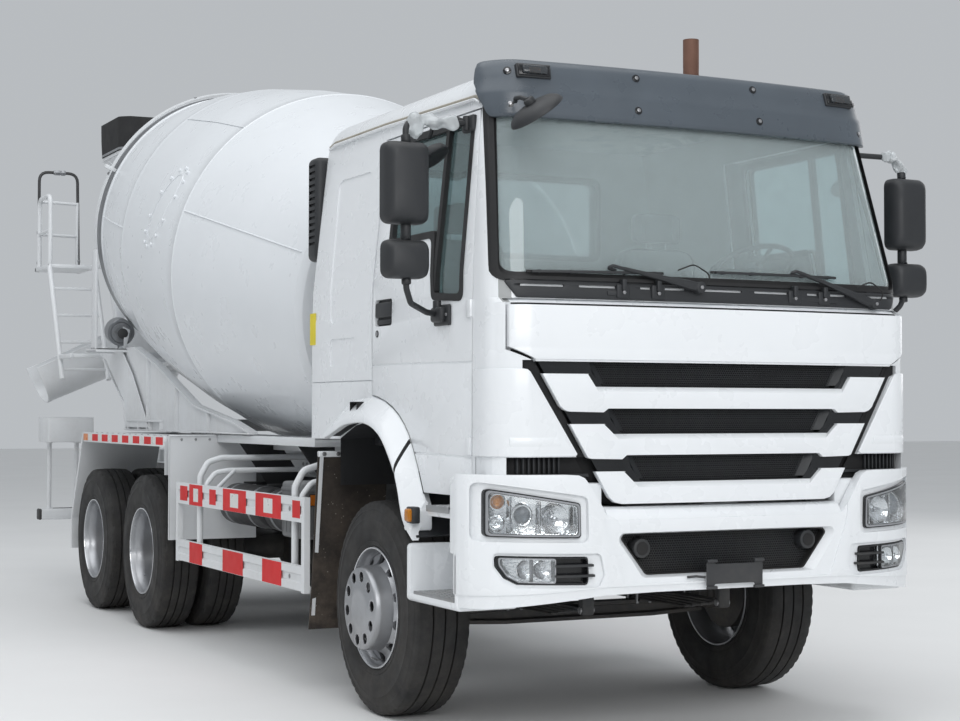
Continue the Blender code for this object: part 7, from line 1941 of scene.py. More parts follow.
# ---------------------------------------------------------------- chute and its swivel
swivel = Piece("chute_swivel_unit", "chute_swivel", "white_paint", ("chute_swivel_bracket",))
swivel.add(WHITE_USED, rod((0, 7.45, 1.8806), (0, 7.45, 1.929), 0.109, 48, edge=0.006), rod((0, 7.45, 1.925), (0, 7.45, 1.958), 0.075, 40, edge=0.005))
swivel.add(WHITE_USED, shape_box(-0.099, 0.099, 7.155, 7.745, 1.922, 1.958, 0.008, 3))
for y in (7.165, 7.735):
    swivel.add(WHITE_USED, slab(flat_round(((-0.06, 1.93), (0.06, 1.93), (0.06, 2.21), (0.05, 2.27), (-0.05, 2.27), (-0.06, 2.21)), 0.02, 3), "Y", y - 0.0145, y + 0.0145, 0.003))
    swivel.add(BOLT, rod((0, y - 0.0149, 2.20), (0, y + 0.0149, 2.20), 0.024, 20, edge=0.002))
for k in range(8):
    a = TAU * k / 8
    swivel.add(BOLT, bolt((0.092 * math.cos(a), 7.45 + 0.092 * math.sin(a), 1.927), (0, 0, 1), 0.008, 0.008))
swivel.done()

ca, sa = math.cos(math.radians(25)), math.sin(math.radians(25))


def on_chute(along, across, up):
    """The trough's own lengths from the tilt hinge."""
    return (-along * ca - up * sa, 7.45 + across, 2.20 - along * sa + up * ca)


def trough(half, n=18, rise=0.14):
    line = [(-half, 0.11 + rise)]
    for k in range(n + 1):
        a = math.pi * k / n
        line.append((-half * math.cos(a), 0.11 - half * 0.9 * math.sin(a)))
    line.append((half, 0.11 + rise))
    return line


def trough_solid(stations, wall=0.0085, lift=0.0):
    rings = []
    for along, half in stations:
        out_ = trough(half)
        in_ = trough(half - wall)[::-1]
        rings.append([on_chute(along, u, v + lift) for u, v in out_ + in_])
    return loft(rings)


chute = Piece("chute_trough", "chute", "white_paint", ("chute",), smooth=34)
stations = ((-0.24, 0.262), (0.0, 0.2558), (0.25, 0.2496), (0.5, 0.245), (0.75, 0.2335), (1.0, 0.2225), (1.28, 0.210))
chute.add(WHITE_USED, trough_solid(stations))
for sx in (1, -1):
    line = [on_chute(a, sx * (h - 0.004), 0.246) for a, h in stations]
    chute.add(WHITE_USED, tube(line, 0.0055, 10))
for a0, a1 in ((-0.238, -0.205), (0.49, 0.515), (1.245, 1.278)):
    h0 = 0.262 - (a0 + 0.24) * 0.034
    ring_station = [(a0, 0.0), (a1, 0.0)]
    rings = []
    for along in (a0, a1):
        base = 0.262 - (along + 0.24) * (0.023 if along < 0.5 else 0.0) if along < 0.5 else 0.245 - (along - 0.5) * 0.0449
        out_ = trough(base + 0.0, rise=0.135)
        in_ = trough(base - 0.003, rise=0.135)[::-1]
        out_ = [(u * 1.012, v - 0.003 if v < 0.11 else v) for u, v in out_]
        rings.append([on_chute(along, u, v) for u, v in out_ + in_])
    chute.add(WHITE_USED, loft(rings))
# hinge block under the trough, its side plates reach the swivel's pins
chute.add(WHITE_USED, rod((0, 7.185, 2.20), (0, 7.715, 2.20), 0.022, 24, edge=0.003))
for y in (7.225, 7.675):
    chute.add(WHITE_USED, slab([(on_chute(a, 0, u)[0], on_chute(a, 0, u)[2]) for a, u in ((-0.10, 0.10), (-0.045, -0.03), (0.045, -0.03), (0.10, 0.10))], "Y", y - 0.006, y + 0.006, 0.001))
chute.done()

# ---------------------------------------------------------------- ladder, platform with its rails, and the wash pipe
ladder = Piece("ladder_platform_unit", "truck", "white_paint", ("ladder_platform",))
# platform: a frame of angle with an open grate
for x0, x1, y0, y1 in ((-1.198, -1.158, 7.10, 7.66), (-0.832, -0.792, 7.10, 7.66), (-1.198, -0.792, 7.102, 7.142), (-1.198, -0.792, 7.618, 7.658)):
    ladder.add(WHITE_USED, shape_box(x0, x1, y0, y1, 2.751, 2.784, 0.004))
ladder.add(WHITE_USED, shape_box(-1.17, -0.82, 7.13, 7.63, 2.753, 2.757, 0.001))
for k in range(12):
    y = 7.155 + k * 0.041
    ladder.add(ALU, shape_box(-1.165, -0.825, y - 0.003, y + 0.003, 2.755, 2.783, 0.001))
for k in range(5):
    x = -1.13 + k * 0.067
    ladder.add(ALU, shape_box(x - 0.002, x + 0.002, 7.135, 7.625, 2.762, 2.778, 0.001))
# ladder stiles and rungs
for x in (-1.19, -0.80):
    a, b = Vector((x, 6.60, 1.78)), Vector((x, 7.115, 2.765))
    ladder.add(WHITE_USED, tube([tuple(a), tuple(b)], 0.0215, 16))
for k in range(4):
    t = (k + 0.35) / 4.2
    y, z = 6.60 + 0.515 * t, 1.78 + 0.985 * t
    ladder.add(WHITE_USED, sweep([(-1.19, y, z), (-0.80, y, z)], flat_round(((-0.014, -0.011), (0.014, -0.011), (0.014, 0.011), (-0.014, 0.011)), 0.005, 3)))
    for x in (-1.10, -1.04, -0.98, -0.92, -0.86):
        ladder.add(WHITE_USED, shape_box(x - 0.018, x + 0.018, y - 0.009, y + 0.009, z + 0.010, z + 0.0135, 0.001))
ladder.add(WHITE_USED, shape_box(-1.201, -0.936, 6.291, 6.329, 1.954, 1.986, 0.006), shape_box(-1.204, -1.176, 6.285, 6.715, 1.951, 1.989, 0.006))
for x in (-1.19,):
    ladder.add(WHITE_USED, tube([(x, 6.69, 1.965), (x, 6.60, 1.78)], 0.018, 12))
# rails: two posts with a bent top rail and a middle rail
ladder.add(WHITE_USED, tube([(-1.178, 7.150, 2.76), (-1.178, 7.150, 3.385), (-1.178, 7.57, 3.385), (-1.178, 7.57, 2.76)], 0.0195, 16, bend=0.085))
ladder.add(WHITE_USED, tube([(-1.178, 7.150, 3.08), (-1.178, 7.57, 3.08)], 0.0165, 12))
ladder.add(WHITE_USED, tube([(-1.178, 7.57, 3.08), (-0.83, 7.635, 3.08)], 0.0150, 12), tube([(-1.178, 7.57, 3.37), (-0.83, 7.635, 3.37)], 0.0150, 12))
ladder.add(WHITE_USED, tube([(-0.83, 7.635, 2.76), (-0.83, 7.635, 3.385)], 0.0165, 12))
# bracket box at the platform's inner end
ladder.add(WHITE_USED, shape_box(-0.829, -0.7815, 6.94, 7.245, 2.747, 2.788, 0.005))
# wash pipe: dark tube with a bright union
ladder.add(CAST, tube([(-1.17, 7.635, 2.77), (-1.17, 7.635, 3.645), (-0.83, 7.635, 3.645), (-0.815, 7.635, 2.77)], 0.0135, 14, bend=0.085))
ladder.add(STEEL, rod((-1.035, 7.635, 3.645), (-0.985, 7.635, 3.645), 0.024, 6, edge=0.003), rod((-0.975, 7.635, 3.645), (-0.945, 7.635, 3.645), 0.026, 6, edge=0.003), rod((-1.045, 7.635, 3.645), (-0.935, 7.635, 3.645), 0.0185, 20, edge=0.002))
for x, z in ((-1.17, 3.10), (-1.17, 2.83), (-0.817, 2.86)):
    ladder.add(STEEL, rod((x, 7.635, z - 0.012), (x, 7.635, z + 0.012), 0.0185, 20, edge=0.002))
ladder.done()

# ---------------------------------------------------------------- underrun bar and drip tray
bar = Piece("rear_underrun_unit", "truck", "white_paint", ("rear_underrun",))
bar.add(WHITE_USED, bevelled(shape_box(-1.175, 1.175, 7.412, 7.508, 0.562, 0.658, 0.012, 3), 0.002, 60))
for sx in (1, -1):
    bar.add(PLASTIC, shape_box(sx * 1.170, sx * 1.199, 7.4115, 7.5085, 0.5615, 0.6585, 0.014, 3))
    bar.add(WHITE_USED, slab(flat_round(((7.355, 1.035), (7.42, 1.035), (7.455, 0.66), (7.415, 0.62)), 0.01, 2), "X", sx * 0.366, sx * 0.376, 0.002), slab(flat_round(((7.355, 1.035), (7.42, 1.035), (7.455, 0.66), (7.415, 0.62)), 0.01, 2), "X", sx * 0.404, sx * 0.414, 0.002), shape_box(sx * 0.362, sx * 0.418, 7.353, 7.362, 0.90, 1.038, 0.002))
    for z in (0.93, 1.01):
        for x in (0.375, 0.405):
            bar.add(BOLT, bolt((sx * x, 7.361, z), (0, 1, 0), 0.008, 0.008))
    # lamps on the bar
    bar.add(PLASTIC, shape_box(sx * 0.70, sx * 1.10, 7.445, 7.495, 0.655, 0.662, 0.002))
for k in range(13):
    x = -1.08 + k * 0.18
    look = RED_TAPE if k % 2 == 0 else PALE_TAPE
    bar.add(look, shape_box(x - 0.072, x + 0.072, 7.5075, 7.5095, 0.585, 0.635, 0.0008, 1))
tray = cut(shape_box(-1.168, -0.772, 7.202, 7.598, 1.242, 1.458, 0.010, 3), shape_box(-1.160, -0.780, 7.210, 7.590, 1.250, 1.60, 0.008, 3))
bar.add(WHITE_USED, tray)
rim_line = [(x, y, 1.452) for x, y in flat_round(((-1.166, 7.204), (-0.774, 7.204), (-0.774, 7.596), (-1.166, 7.596)), 0.012, 2)]
bar.add(WHITE_USED, sweep(rim_line, [(-0.004, -0.006), (0.002, -0.006), (0.002, 0.006), (-0.004, 0.006)], closed=True, first_up=(0, 0, 1)))
for x in (-1.10, -0.86):
    bar.add(WHITE_USED, rod((x, 7.46, 0.64), (x, 7.46, 1.25), 0.0195, 18))
    bar.add(WHITE_USED, rod((x, 7.46, 0.655), (x, 7.46, 0.668), 0.034, 20, edge=0.003), rod((x, 7.46, 1.232), (x, 7.46, 1.244), 0.034, 20, edge=0.003))
bar.done()


# ---------------------------------------------------------------- side guards: two ribbed rails, end posts, bent tubes
def ribbed(z0, z1, y0, y1):
    """A rail pressed with two grooves along it, open to the inside."""
    h = z1 - z0
    face = [(1.2155, 0.0), (1.2155, 0.012), (1.2385, 0.018), (1.2385, 0.32), (1.230, 0.37), (1.230, 0.63), (1.2385, 0.68), (1.2385, 0.982), (1.2155, 0.988), (1.2155, 1.0)]
    back = [(1.2185, 1.0), (1.2185, 0.955), (1.2345, 0.95), (1.2345, 0.69), (1.226, 0.64), (1.226, 0.36), (1.2345, 0.31), (1.2345, 0.05), (1.2185, 0.045), (1.2185, 0.0)]
    outline = [(x, z0 + h * min(max(t, 0.0), 1.0)) for x, t in face + back]
    return slab(outline, "Y", y0, y1, 0.0)


def tape(piece, y0, y1, z, half, look, x=1.2382):
    """A reflector block standing a little off a face."""
    piece.both(look, shape_box(x, x + 0.0014, y0, y1, z - half, z + half, 0.0006, 1))


for side, sx in (("left", 1), ("right", -1)):
    guard = Piece("side_guard_" + side + "_rails", "truck", "white_paint", ("side_guard_" + side,))
    flip = (lambda s: s) if sx > 0 else mirror
    for z0, z1 in ((0.911, 1.049), (0.541, 0.679)):
        guard.add(WHITE_LOW, flip(ribbed(z0, z1, 0.80, 3.12)))
    for y0, y1, open_to in ((0.772, 0.818, 1), (3.102, 3.148, -1)):
        c = [(1.206, y0), (1.239, y0), (1.239, y1), (1.206, y1)]
        inner_c = [(1.200, y0 + 0.006), (1.233, y0 + 0.006), (1.233, y1 - 0.006), (1.200, y1 - 0.006)]
        guard.add(WHITE_LOW, flip(cut(slab(c, "Z", 0.535, 1.052), slab(inner_c, "Z", 0.50, 1.10))))
    for y in (1.02, 2.75):
        guard.add(WHITE_LOW, flip(tube([(1.20, y, 0.585), (1.20, y, 1.10), (1.15, y, 1.19), (1.06, y, 1.215), (0.4325, y, 1.215)], 0.0195, 16, bend=0.06)))
        guard.add(WHITE_LOW, flip(shape_box(0.4325, 0.442, y - 0.05, y + 0.05, 1.17, 1.26, 0.003)))
        for z in (0.61, 0.98):
            guard.add(WHITE_LOW, flip(shape_box(1.196, 1.2165, y - 0.03, y + 0.03, z - 0.035, z + 0.035, 0.004)))
            guard.add(BOLT, flip(bolt((1.2295, y, z), (1, 0, 0), 0.009, 0.006)))
    for y in (0.90, 2.60):
        guard.add(WHITE_LOW, flip(tube([(1.205, y, 0.95), (1.205, y, 1.055), (1.15, y, 1.125), (1.06, y, 1.140), (0.4335, y, 1.140)], 0.0165, 14, bend=0.06)))
    guard.add(WHITE_LOW, flip(tube([(1.20, 2.42, 1.03), (1.02, 2.60, 1.140)], 0.013, 10)))
    # reflectors: on the upper rail small red squares between red blocks that hold a pale square; plain blocks below
    for y0, y1, w in ((1.14, 1.57, 0.075), (1.74, 2.17, 0.075), (2.58, 2.86, 0.050)):
        guard.add(RED_TAPE, flip(shape_box(1.2378, 1.2392, y0, y1, 0.914, 1.046, 0.0006, 1)))
        m = (y0 + y1) / 2
        guard.add(PALE_TAPE, flip(shape_box(1.2388, 1.2399, m - w, m + w, 0.938, 1.022, 0.0004, 1)))
    for y0, y1 in ((1.13, 1.45), (1.79, 2.17), (2.58, 2.85)):
        guard.add(RED_TAPE, flip(shape_box(1.2378, 1.2392, y0, y1, 0.545, 0.676, 0.0006, 1)))
    for y0, y1 in ((0.84, 0.96), (2.31, 2.44), (2.90, 3.06)):
        guard.add(RED_TAPE, flip(shape_box(1.2378, 1.2392, y0, y1, 0.935, 1.030, 0.0006, 1)))
    guard.done()

    # ---------------------------------------------------------------- rear mudguards
    fender = Piece("rear_fender_" + side + "_shell", "truck", "white_paint", ("rear_fender_" + side,))
    f_line = [(3.431, 1.085), (3.431, 1.342), (5.695, 1.342), (6.055, 0.66), (6.055, 0.415)]
    sheet_line = [(0.92, y, z) for y, z in f_line]
    sheet_line = rounded(sheet_line, 0.055, 6)
    fender.add(WHITE_LOW, flip(sweep(sheet_line, [(-0.318, -0.004), (0.312, -0.004), (0.318, 0.002), (0.318, 0.007), (0.312, 0.004), (-0.318, 0.004)], first_up=(0, -1, 0))))
    fender.add(WHITE_LOW, flip(shape_box(1.2155, 1.2375, 3.43, 5.68, 1.274, 1.349, 0.004)))
    fender.add(WHITE_LOW, flip(shape_box(0.62, 1.22, 3.60, 3.606, 1.30, 1.342, 0.001)), flip(shape_box(0.62, 1.22, 5.50, 5.506, 1.30, 1.342, 0.001)))
    fender.add(WHITE_LOW, flip(shape_box(0.431, 0.64, 4.655, 4.745, 1.21, 1.34, 0.006)))
    for z in (1.235, 1.315):
        fender.add(BOLT, flip(bolt((0.60, 4.655, z), (0, -1, 0), 0.009, 0.008)))
    for y0, w, look in [(5.535, 0.13, ORANGE_TAPE)] + [(3.47 + 0.292 * k, 0.17, RED_TAPE) for k in range(7)]:
        fender.add(look, flip(shape_box(1.2368, 1.2389, y0, y0 + w, 1.286, 1.338, 0.0008, 1)))
        if look is RED_TAPE:
            fender.add(PALE_TAPE, flip(shape_box(1.2368, 1.2386, y0 + 0.176, y0 + 0.284, 1.286, 1.338, 0.0008, 1)))
    for k in range(14):
        fender.add(BOLT, flip(bolt((1.19, 3.52 + k * 0.16, 1.3465), (0, 0, 1), 0.006, 0.005)))
    fender.done()

    # ---------------------------------------------------------------- boxes behind the guards
    box = Piece("side_box_" + side + "_set", "truck", "white_paint", ("side_box_" + side,))
    wall = flat_round(((0.622, 0.655), (1.232, 0.655), (1.232, 1.357), (0.622, 1.357)), 0.006, 2)
    box.add(WHITE_LOW, flip(slab(wall, "Y", 3.330, 3.336, 0.0015, 1)))
    box.add(WHITE_LOW, flip(shape_box(1.226, 1.232, 3.330, 3.356, 0.66, 1.352, 0.002)), flip(shape_box(0.622, 1.232, 3.318, 3.356, 1.347, 1.357, 0.003)), flip(shape_box(0.622, 1.232, 3.331, 3.356, 0.655, 0.662, 0.002)))
    for k in range(6):
        box.add(BOLT, flip(bolt((0.66 + 0.098 * k, 3.330, 1.325), (0, -1, 0), 0.006, 0.005)))
    # walkway over the frame's outer side, with its turned-down lip
    box.add(WHITE_LOW, flip(shape_box(0.622, 0.90, 1.502, 3.34, 1.346, 1.358, 0.004)), flip(shape_box(0.893, 0.901, 1.502, 3.34, 1.306, 1.358, 0.003)), flip(shape_box(0.622, 0.90, 1.502, 1.510, 1.306, 1.358, 0.003)))
    for k in range(11):
        y = 1.60 + k * 0.16
        box.add(ALU, flip(shape_box(0.66, 0.87, y - 0.030, y + 0.030, 1.3575, 1.3598, 0.0008, 1)))
    # two air tanks with straps on brackets
    for y0, y1 in ((1.52, 2.34), (2.44, 3.22)):
        box.add(CHASSIS, flip(rod((0.80, y0, 0.90), (0.80, y1, 0.90), 0.135, 48, edge=0.045)))
        for y in (y0 + 0.16, y1 - 0.16):
            box.add(STEEL, flip(rod((0.80, y - 0.018, 0.90), (0.80, y + 0.018, 0.90), 0.1366, 48, edge=0.002)))
            box.add(CHASSIS, flip(shape_box(0.64, 0.80, y - 0.016, y + 0.016, 1.03, 1.048, 0.003)))
        box.add(BRASS, flip(rod((0.80, y0 + 0.008, 0.90), (0.80, y0 - 0.014, 0.90), 0.016, 6)), flip(rod((0.85, y0 + 0.020, 0.94), (0.85, y0 - 0.006, 0.94), 0.011, 6)))
    box.add(CHASSIS, flip(tube([(0.80, 1.50, 0.90), (0.80, 1.475, 0.90), (0.72, 1.47, 0.98), (0.64, 1.48, 1.10), (0.60, 1.56, 1.14)], 0.007, 10, bend=0.03)))
    for y in (1.8, 2.9):
        box.add(CHASSIS, flip(shape_box(0.4305, 0.68, y + 0.002, y + 0.098, 0.862, 0.958, 0.006)))
        box.add(CHASSIS, flip(slab(((0.4305, 0.95), (0.62, 0.95), (0.90, 1.340), (0.62, 1.340), (0.4305, 1.06)), "Y", y + 0.040, y + 0.050, 0.002)))
    box.add(WHITE_LOW, flip(shape_box(0.60, 0.64, 1.502, 3.34, 1.26, 1.352, 0.004)))
    box.done()

    # ---------------------------------------------------------------- flaps behind the front wheels
    flap = Piece("front_mudflap_" + side + "_sheet", "truck", "rubber", ("front_mudflap_" + side,))
    sheet = []
    for k in range(25):
        t = k / 24
        z = 1.298 - 0.956 * t
        y = 0.6475 + 0.135 * t + 0.004 * math.sin(t * 7.0)
        sheet.append([(0.802, y - 0.004, z), (1.208, y - 0.004 + 0.004 * math.sin(t * 5 + 1), z), (1.208, y + 0.004 + 0.004 * math.sin(t * 5 + 1), z), (0.802, y + 0.004, z)])
    flap.add(FLAP, flip(loft(sheet)))
    flap.add(WHITE_LOW, flip(sweep([(1.190, 0.650, 1.29), (1.190, 0.772, 0.42)], [(-0.010, -0.010), (0.010, -0.010), (0.010, -0.006), (-0.010, -0.006)], first_up=(0, 1, 0))))
    flap.add(WHITE_LOW, flip(shape_box(0.4305, 1.208, 0.632, 0.668, 1.272, 1.303, 0.005)))
    flap.add(CHASSIS, flip(shape_box(0.4305, 0.458, 0.622, 0.718, 1.022, 1.298, 0.006)))
    for x in (0.86, 0.98, 1.10, 1.18):
        flap.add(BOLT, flip(bolt((x, 0.632, 1.288), (0, -1, 0), 0.008, 0.006)))
    flap.done()

# ---------------------------------------------------------------- battery box (right) with its lamp, and an air tank below
battery = Piece("battery_box_case", "truck", "grey_metal", ("battery_box",))
BATTERY = coarse("grey_plastic_case", (0.17, 0.175, 0.18), 0.55, grain=300, height=0.0006, strength=0.3, low=0.3, high=1.4, amount=0.5)
battery.add(BATTERY, shape_box(-1.136, -0.564, 1.064, 1.416, 0.80, 1.118, 0.022, 4))
battery.add(BATTERY, shape_box(-1.1385, -0.562, 1.062, 1.418, 1.06, 1.085, 0.006, 2))
for k in range(6):
    y = 1.10 + k * 0.058
    battery.add(BATTERY, shape_box(-1.1395, -1.130, y - 0.006, y + 0.006, 0.83, 1.04, 0.003))
for k in range(9):
    x = -1.08 + k * 0.06
    battery.add(BATTERY, shape_box(x - 0.006, x + 0.006, 1.0605, 1.07, 0.83, 1.04, 0.003))
battery.add(STEEL, shape_box(-1.1395, -1.13, 1.225, 1.255, 0.98, 1.10, 0.003), rod((-1.12, 1.24, 1.1155), (-0.58, 1.24, 1.1155), 0.004, 8))
battery.add(PLASTIC, shape_box(-1.10, -1.02, 1.0600, 1.07, 0.985, 1.055, 0.004))
battery.add(ORANGE_TAPE, shape_box(-1.095, -1.025, 1.0590, 1.066, 0.990, 1.050, 0.005, 2))
battery.add(CHASSIS, rod((-0.86, 1.068, 0.732), (-0.86, 1.412, 0.732), 0.070, 36, edge=0.022))
for y in (1.14, 1.34):
    battery.add(STEEL, rod((-0.86, y - 0.012, 0.732), (-0.86, y + 0.012, 0.732), 0.0716, 36, edge=0.002))
battery.add(BRASS, rod((-0.86, 1.0635, 0.755), (-0.86, 1.072, 0.755), 0.012, 6), rod((-0.90, 1.0635, 0.715), (-0.90, 1.072, 0.715), 0.010, 6), rod((-0.82, 1.0635, 0.715), (-0.82, 1.072, 0.715), 0.010, 6))
battery.add(CHASSIS, shape_box(-0.565, -0.4305, 1.152, 1.298, 0.822, 0.918, 0.006))
battery.done()

# ---------------------------------------------------------------- fuel tank (left)
tank = Piece("fuel_tank_shell", "truck", "grey_metal", ("fuel_tank",))
TANK = coarse("tank_aluminium", (0.46, 0.47, 0.48), 0.34, 0.85, grain=90, strength=0.12, low=0.1, high=1.4, amount=0.55)
tank_form = flat_round(((0.562, 0.582), (1.158, 0.582), (1.158, 1.158), (0.562, 1.158)), 0.09, 8)
tank.add(TANK, slab(tank_form, "Y", 1.072, 1.428, 0.010, 3))
tank.add(TANK, cut(slab(inset(tank_form, -0.0012), "Y", 1.064, 1.078, 0.002), slab(inset(tank_form, 0.012), "Y", 1.0, 1.2)), cut(slab(inset(tank_form, -0.0012), "Y", 1.422, 1.436, 0.002), slab(inset(tank_form, 0.012), "Y", 1.3, 1.5)))
for y in (1.15, 1.35):
    tank.add(STEEL, cut(slab(inset(tank_form, -0.0018), "Y", y - 0.022, y + 0.022, 0.001), slab(inset(tank_form, 0.002), "Y", y - 0.1, y + 0.1)))
tank.add(PLASTIC, rod((1.02, 1.25, 1.150), (1.02, 1.25, 1.159), 0.045, 32, edge=0.003))
tank.add(CHASSIS, shape_box(0.4305, 0.57, 1.12, 1.17, 0.80, 1.0, 0.006), shape_box(0.4305, 0.57, 1.33, 1.38, 0.80, 1.0, 0.006))
tank.done()

# ---------------------------------------------------------------- tall exhaust pipe behind the cab
stack = Piece("exhaust_stack_pipe", "truck", "exhaust_steel", ("exhaust_stack",))
EXH = ((1.20, 0.72, 3.60), (1.20, 0.72, 1.66), (1.20, 0.78, 1.54), (1.17, 1.07, 1.47), (1.10, 1.11, 1.44), (0.55, 1.11, 1.44), (0.50, 1.11, 1.38), (0.50, 1.11, 1.24))
stack.add(RUST, tube(EXH, 0.0475, 28, bend=0.05))
tip = cut(tube([(1.20, 0.72, 3.58), (1.20, 0.72, 3.748)], 0.0478, 32), tube([(1.20, 0.72, 3.60), (1.20, 0.72, 3.80)], 0.0445, 32))
stack.add(RUST, tip)
stack.add(RUST, rod((1.20, 0.72, 3.502), (1.20, 0.72, 3.528), 0.061, 36, edge=0.003), rod((1.20, 0.72, 2.30), (1.20, 0.72, 2.32), 0.055, 32, edge=0.003), rod((1.20, 0.72, 3.05), (1.20, 0.72, 3.065), 0.0535, 32, edge=0.003))
# a heat shield along the pipe's outer side
shield = []
for k in range(9):
    a = math.radians(-70 + 140 * k / 8)
    shield.append((0.0615 * math.cos(a), 0.0615 * math.sin(a)))
for k in range(9):
    a = math.radians(70 - 140 * k / 8)
    shield.append((0.0590 * math.cos(a), 0.0590 * math.sin(a)))
stack.add(STEEL, slab([(1.20 - 0.014 + u, 0.72 + v) for u, v in shield], "Z", 1.95, 2.90))
for z in (2.05, 2.80):
    stack.add(STEEL, rod((1.20, 0.72, z - 0.012), (1.20, 0.72, z + 0.012), 0.0500, 28, edge=0.002))
stack.add(CHASSIS, shape_box(0.4305, 0.558, 1.062, 1.148, 1.022, 1.258, 0.008))
stack.add(STEEL, rod((0.50, 1.11, 1.25), (0.50, 1.11, 1.275), 0.058, 28, edge=0.003))
stack.done()


# ---------------------------------------------------------------- frame: channel rails, crossmembers, bolts
frame_piece = Piece("chassis_frame_unit", "truck", "chassis_paint", ("chassis_frame",))
rail_form = [(0.3505, 0.7805), (0.4295, 0.7805), (0.4295, 1.0795), (0.3505, 1.0795), (0.3505, 1.0705), (0.4200, 1.0705), (0.4200, 0.7895), (0.3505, 0.7895)]
frame_piece.both(CHASSIS, slab(rail_form, "Y", -0.998, 7.348, 0.0015, 1))
for y in (-0.92, 1.55, 2.7, 3.35, 4.7, 6.1, 7.28):
    c_form = [(y - 0.055, 0.852), (y + 0.055, 0.852), (y + 0.055, 0.861), (y - 0.046, 0.861), (y - 0.046, 0.989), (y + 0.055, 0.989), (y + 0.055, 0.998), (y - 0.055, 0.998)]
    frame_piece.add(CHASSIS, slab(c_form, "X", -0.421, 0.421, 0.001, 1))
    for sx in (1, -1):
        for dz in (0.89, 0.96):
            for dy in (-0.035, 0.035):
                frame_piece.add(BOLT, rod((sx * 0.4285, min(max(y + dy, -0.97), 7.32), dz), (sx * 0.4298, min(max(y + dy, -0.97), 7.32), dz), 0.010, 12))
frame_piece.done()

# ---------------------------------------------------------------- engine and gearbox
engine = Piece("engine_gearbox", "truck", "cast_metal", ("engine_block",))
engine.add(CAST, shape_box(-0.20, 0.20, -0.58, 0.60, 0.90, 1.34, 0.03, 3), shape_box(-0.17, 0.17, -0.55, 0.56, 0.67, 0.92, 0.05, 4))
engine.add(CAST, shape_box(-0.14, 0.14, -0.54, 0.55, 1.33, 1.452, 0.03, 3))
for k in range(6):
    y = -0.48 + k * 0.185
    engine.add(CAST, shape_box(0.19, 0.30, y - 0.055, y + 0.055, 1.10, 1.30, 0.03, 3), shape_box(-0.30, -0.19, y - 0.045, y + 0.045, 1.16, 1.28, 0.025, 3))
    engine.add(BOLT, bolt((0.10, y, 1.450), (0, 0, 1), 0.010, 0.008), bolt((-0.10, y, 1.450), (0, 0, 1), 0.010, 0.008))
    for z in (0.93,):
        engine.add(BOLT, bolt((0.168, y, z - 0.02), (1, 0, 0), 0.008, 0.008), bolt((-0.168, y, z - 0.02), (-1, 0, 0), 0.008, 0.008))
engine.add(RUST, tube([(0.31, -0.50, 1.22), (0.31, 0.40, 1.22)], 0.024, 16), rod((0.27, 0.42, 1.15), (0.27, 0.58, 1.15), 0.062, 28, edge=0.02))
engine.add(ALU, tube([(-0.29, -0.50, 1.25), (-0.29, 0.50, 1.25)], 0.040, 18))
engine.add(CAST, rod((0, -0.615, 0.98), (0, -0.585, 0.98), 0.12, 36, edge=0.006), rod((0, -0.60, 1.20), (0, -0.575, 1.20), 0.085, 32, edge=0.006), rod((0.22, -0.46, 0.98), (0.22, -0.22, 0.98), 0.075, 28, edge=0.012), rod((-0.23, -0.30, 0.86), (-0.23, 0.12, 0.86), 0.055, 24, edge=0.014))
engine.add(PLASTIC, rod((-0.25, 0.20, 0.86), (-0.25, 0.20, 1.06), 0.048, 24, edge=0.012), rod((-0.25, 0.34, 0.86), (-0.25, 0.34, 1.06), 0.048, 24, edge=0.012))
engine.add(CAST, lathe([(0.56, 0.0), (0.56, 0.24), (0.585, 0.25), (0.62, 0.24), (0.72, 0.195), (0.95, 0.175), (1.10, 0.16), (1.12, 0.12), (1.197, 0.08), (1.197, 0.0)], 48, Matrix.Translation((0, Y0, 0.93)) @ Matrix.Rotation(math.radians(-90), 4, "X")))
for k in range(14):
    a = TAU * k / 14
    engine.add(BOLT, bolt((0.228 * math.cos(a), 0.585, 0.93 + 0.22 * math.sin(a)), (0, 1, 0), 0.009, 0.040))
for k in range(8):
    y = 0.66 + k * 0.055
    engine.add(CAST, shape_box(-0.21, 0.21, y - 0.004, y + 0.004, 0.84, 1.02, 0.002))
engine.done()


# ---------------------------------------------------------------- front axle with its leaf springs
def leaves(x0, x1, y0, y1, z_top, z_bottom, count, step):
    out = []
    h = (z_top - z_bottom) / count
    for k in range(count):
        d = step * k
        out.append(shape_box(x0 + 0.001, x1 - 0.001, y0 + d, y1 - d, z_top - (k + 1) * h + 0.0008, z_top - k * h - 0.0008, 0.0025, 1))
    return out


front = Piece("front_axle_unit", "truck", "cast_metal", ("front_axle",))
beam = []
for x, z0, z1, half in ((-0.765, 0.435, 0.500, 0.040), (-0.62, 0.428, 0.505, 0.042), (-0.44, 0.420, 0.510, 0.045), (-0.33, 0.420, 0.510, 0.045), (0.33, 0.420, 0.510, 0.045), (0.44, 0.420, 0.510, 0.045), (0.62, 0.428, 0.505, 0.042), (0.765, 0.435, 0.500, 0.040)):
    w = 0.014
    beam.append([(x, -half, z0), (x, half, z0), (x, half, z0 + 0.018), (x, w, z0 + 0.026), (x, w, z1 - 0.026), (x, half, z1 - 0.018), (x, half, z1), (x, -half, z1), (x, -half, z1 - 0.018), (x, -w, z1 - 0.026), (x, -w, z0 + 0.026), (x, -half, z0 + 0.018)])
front.add(CAST, loft(beam))
front.both(CAST, shape_box(0.745, 0.815, -0.038, 0.038, 0.450, 0.575, 0.014, 3), rod((0.84, 0, 0.4875), (0.84, 0, 0.5825), 0.0375, 28, edge=0.004))
for part in leaves(0.355, 0.425, -0.80, 0.82, 0.579, 0.512, 5, 0.075):
    front.both(CHASSIS, part)
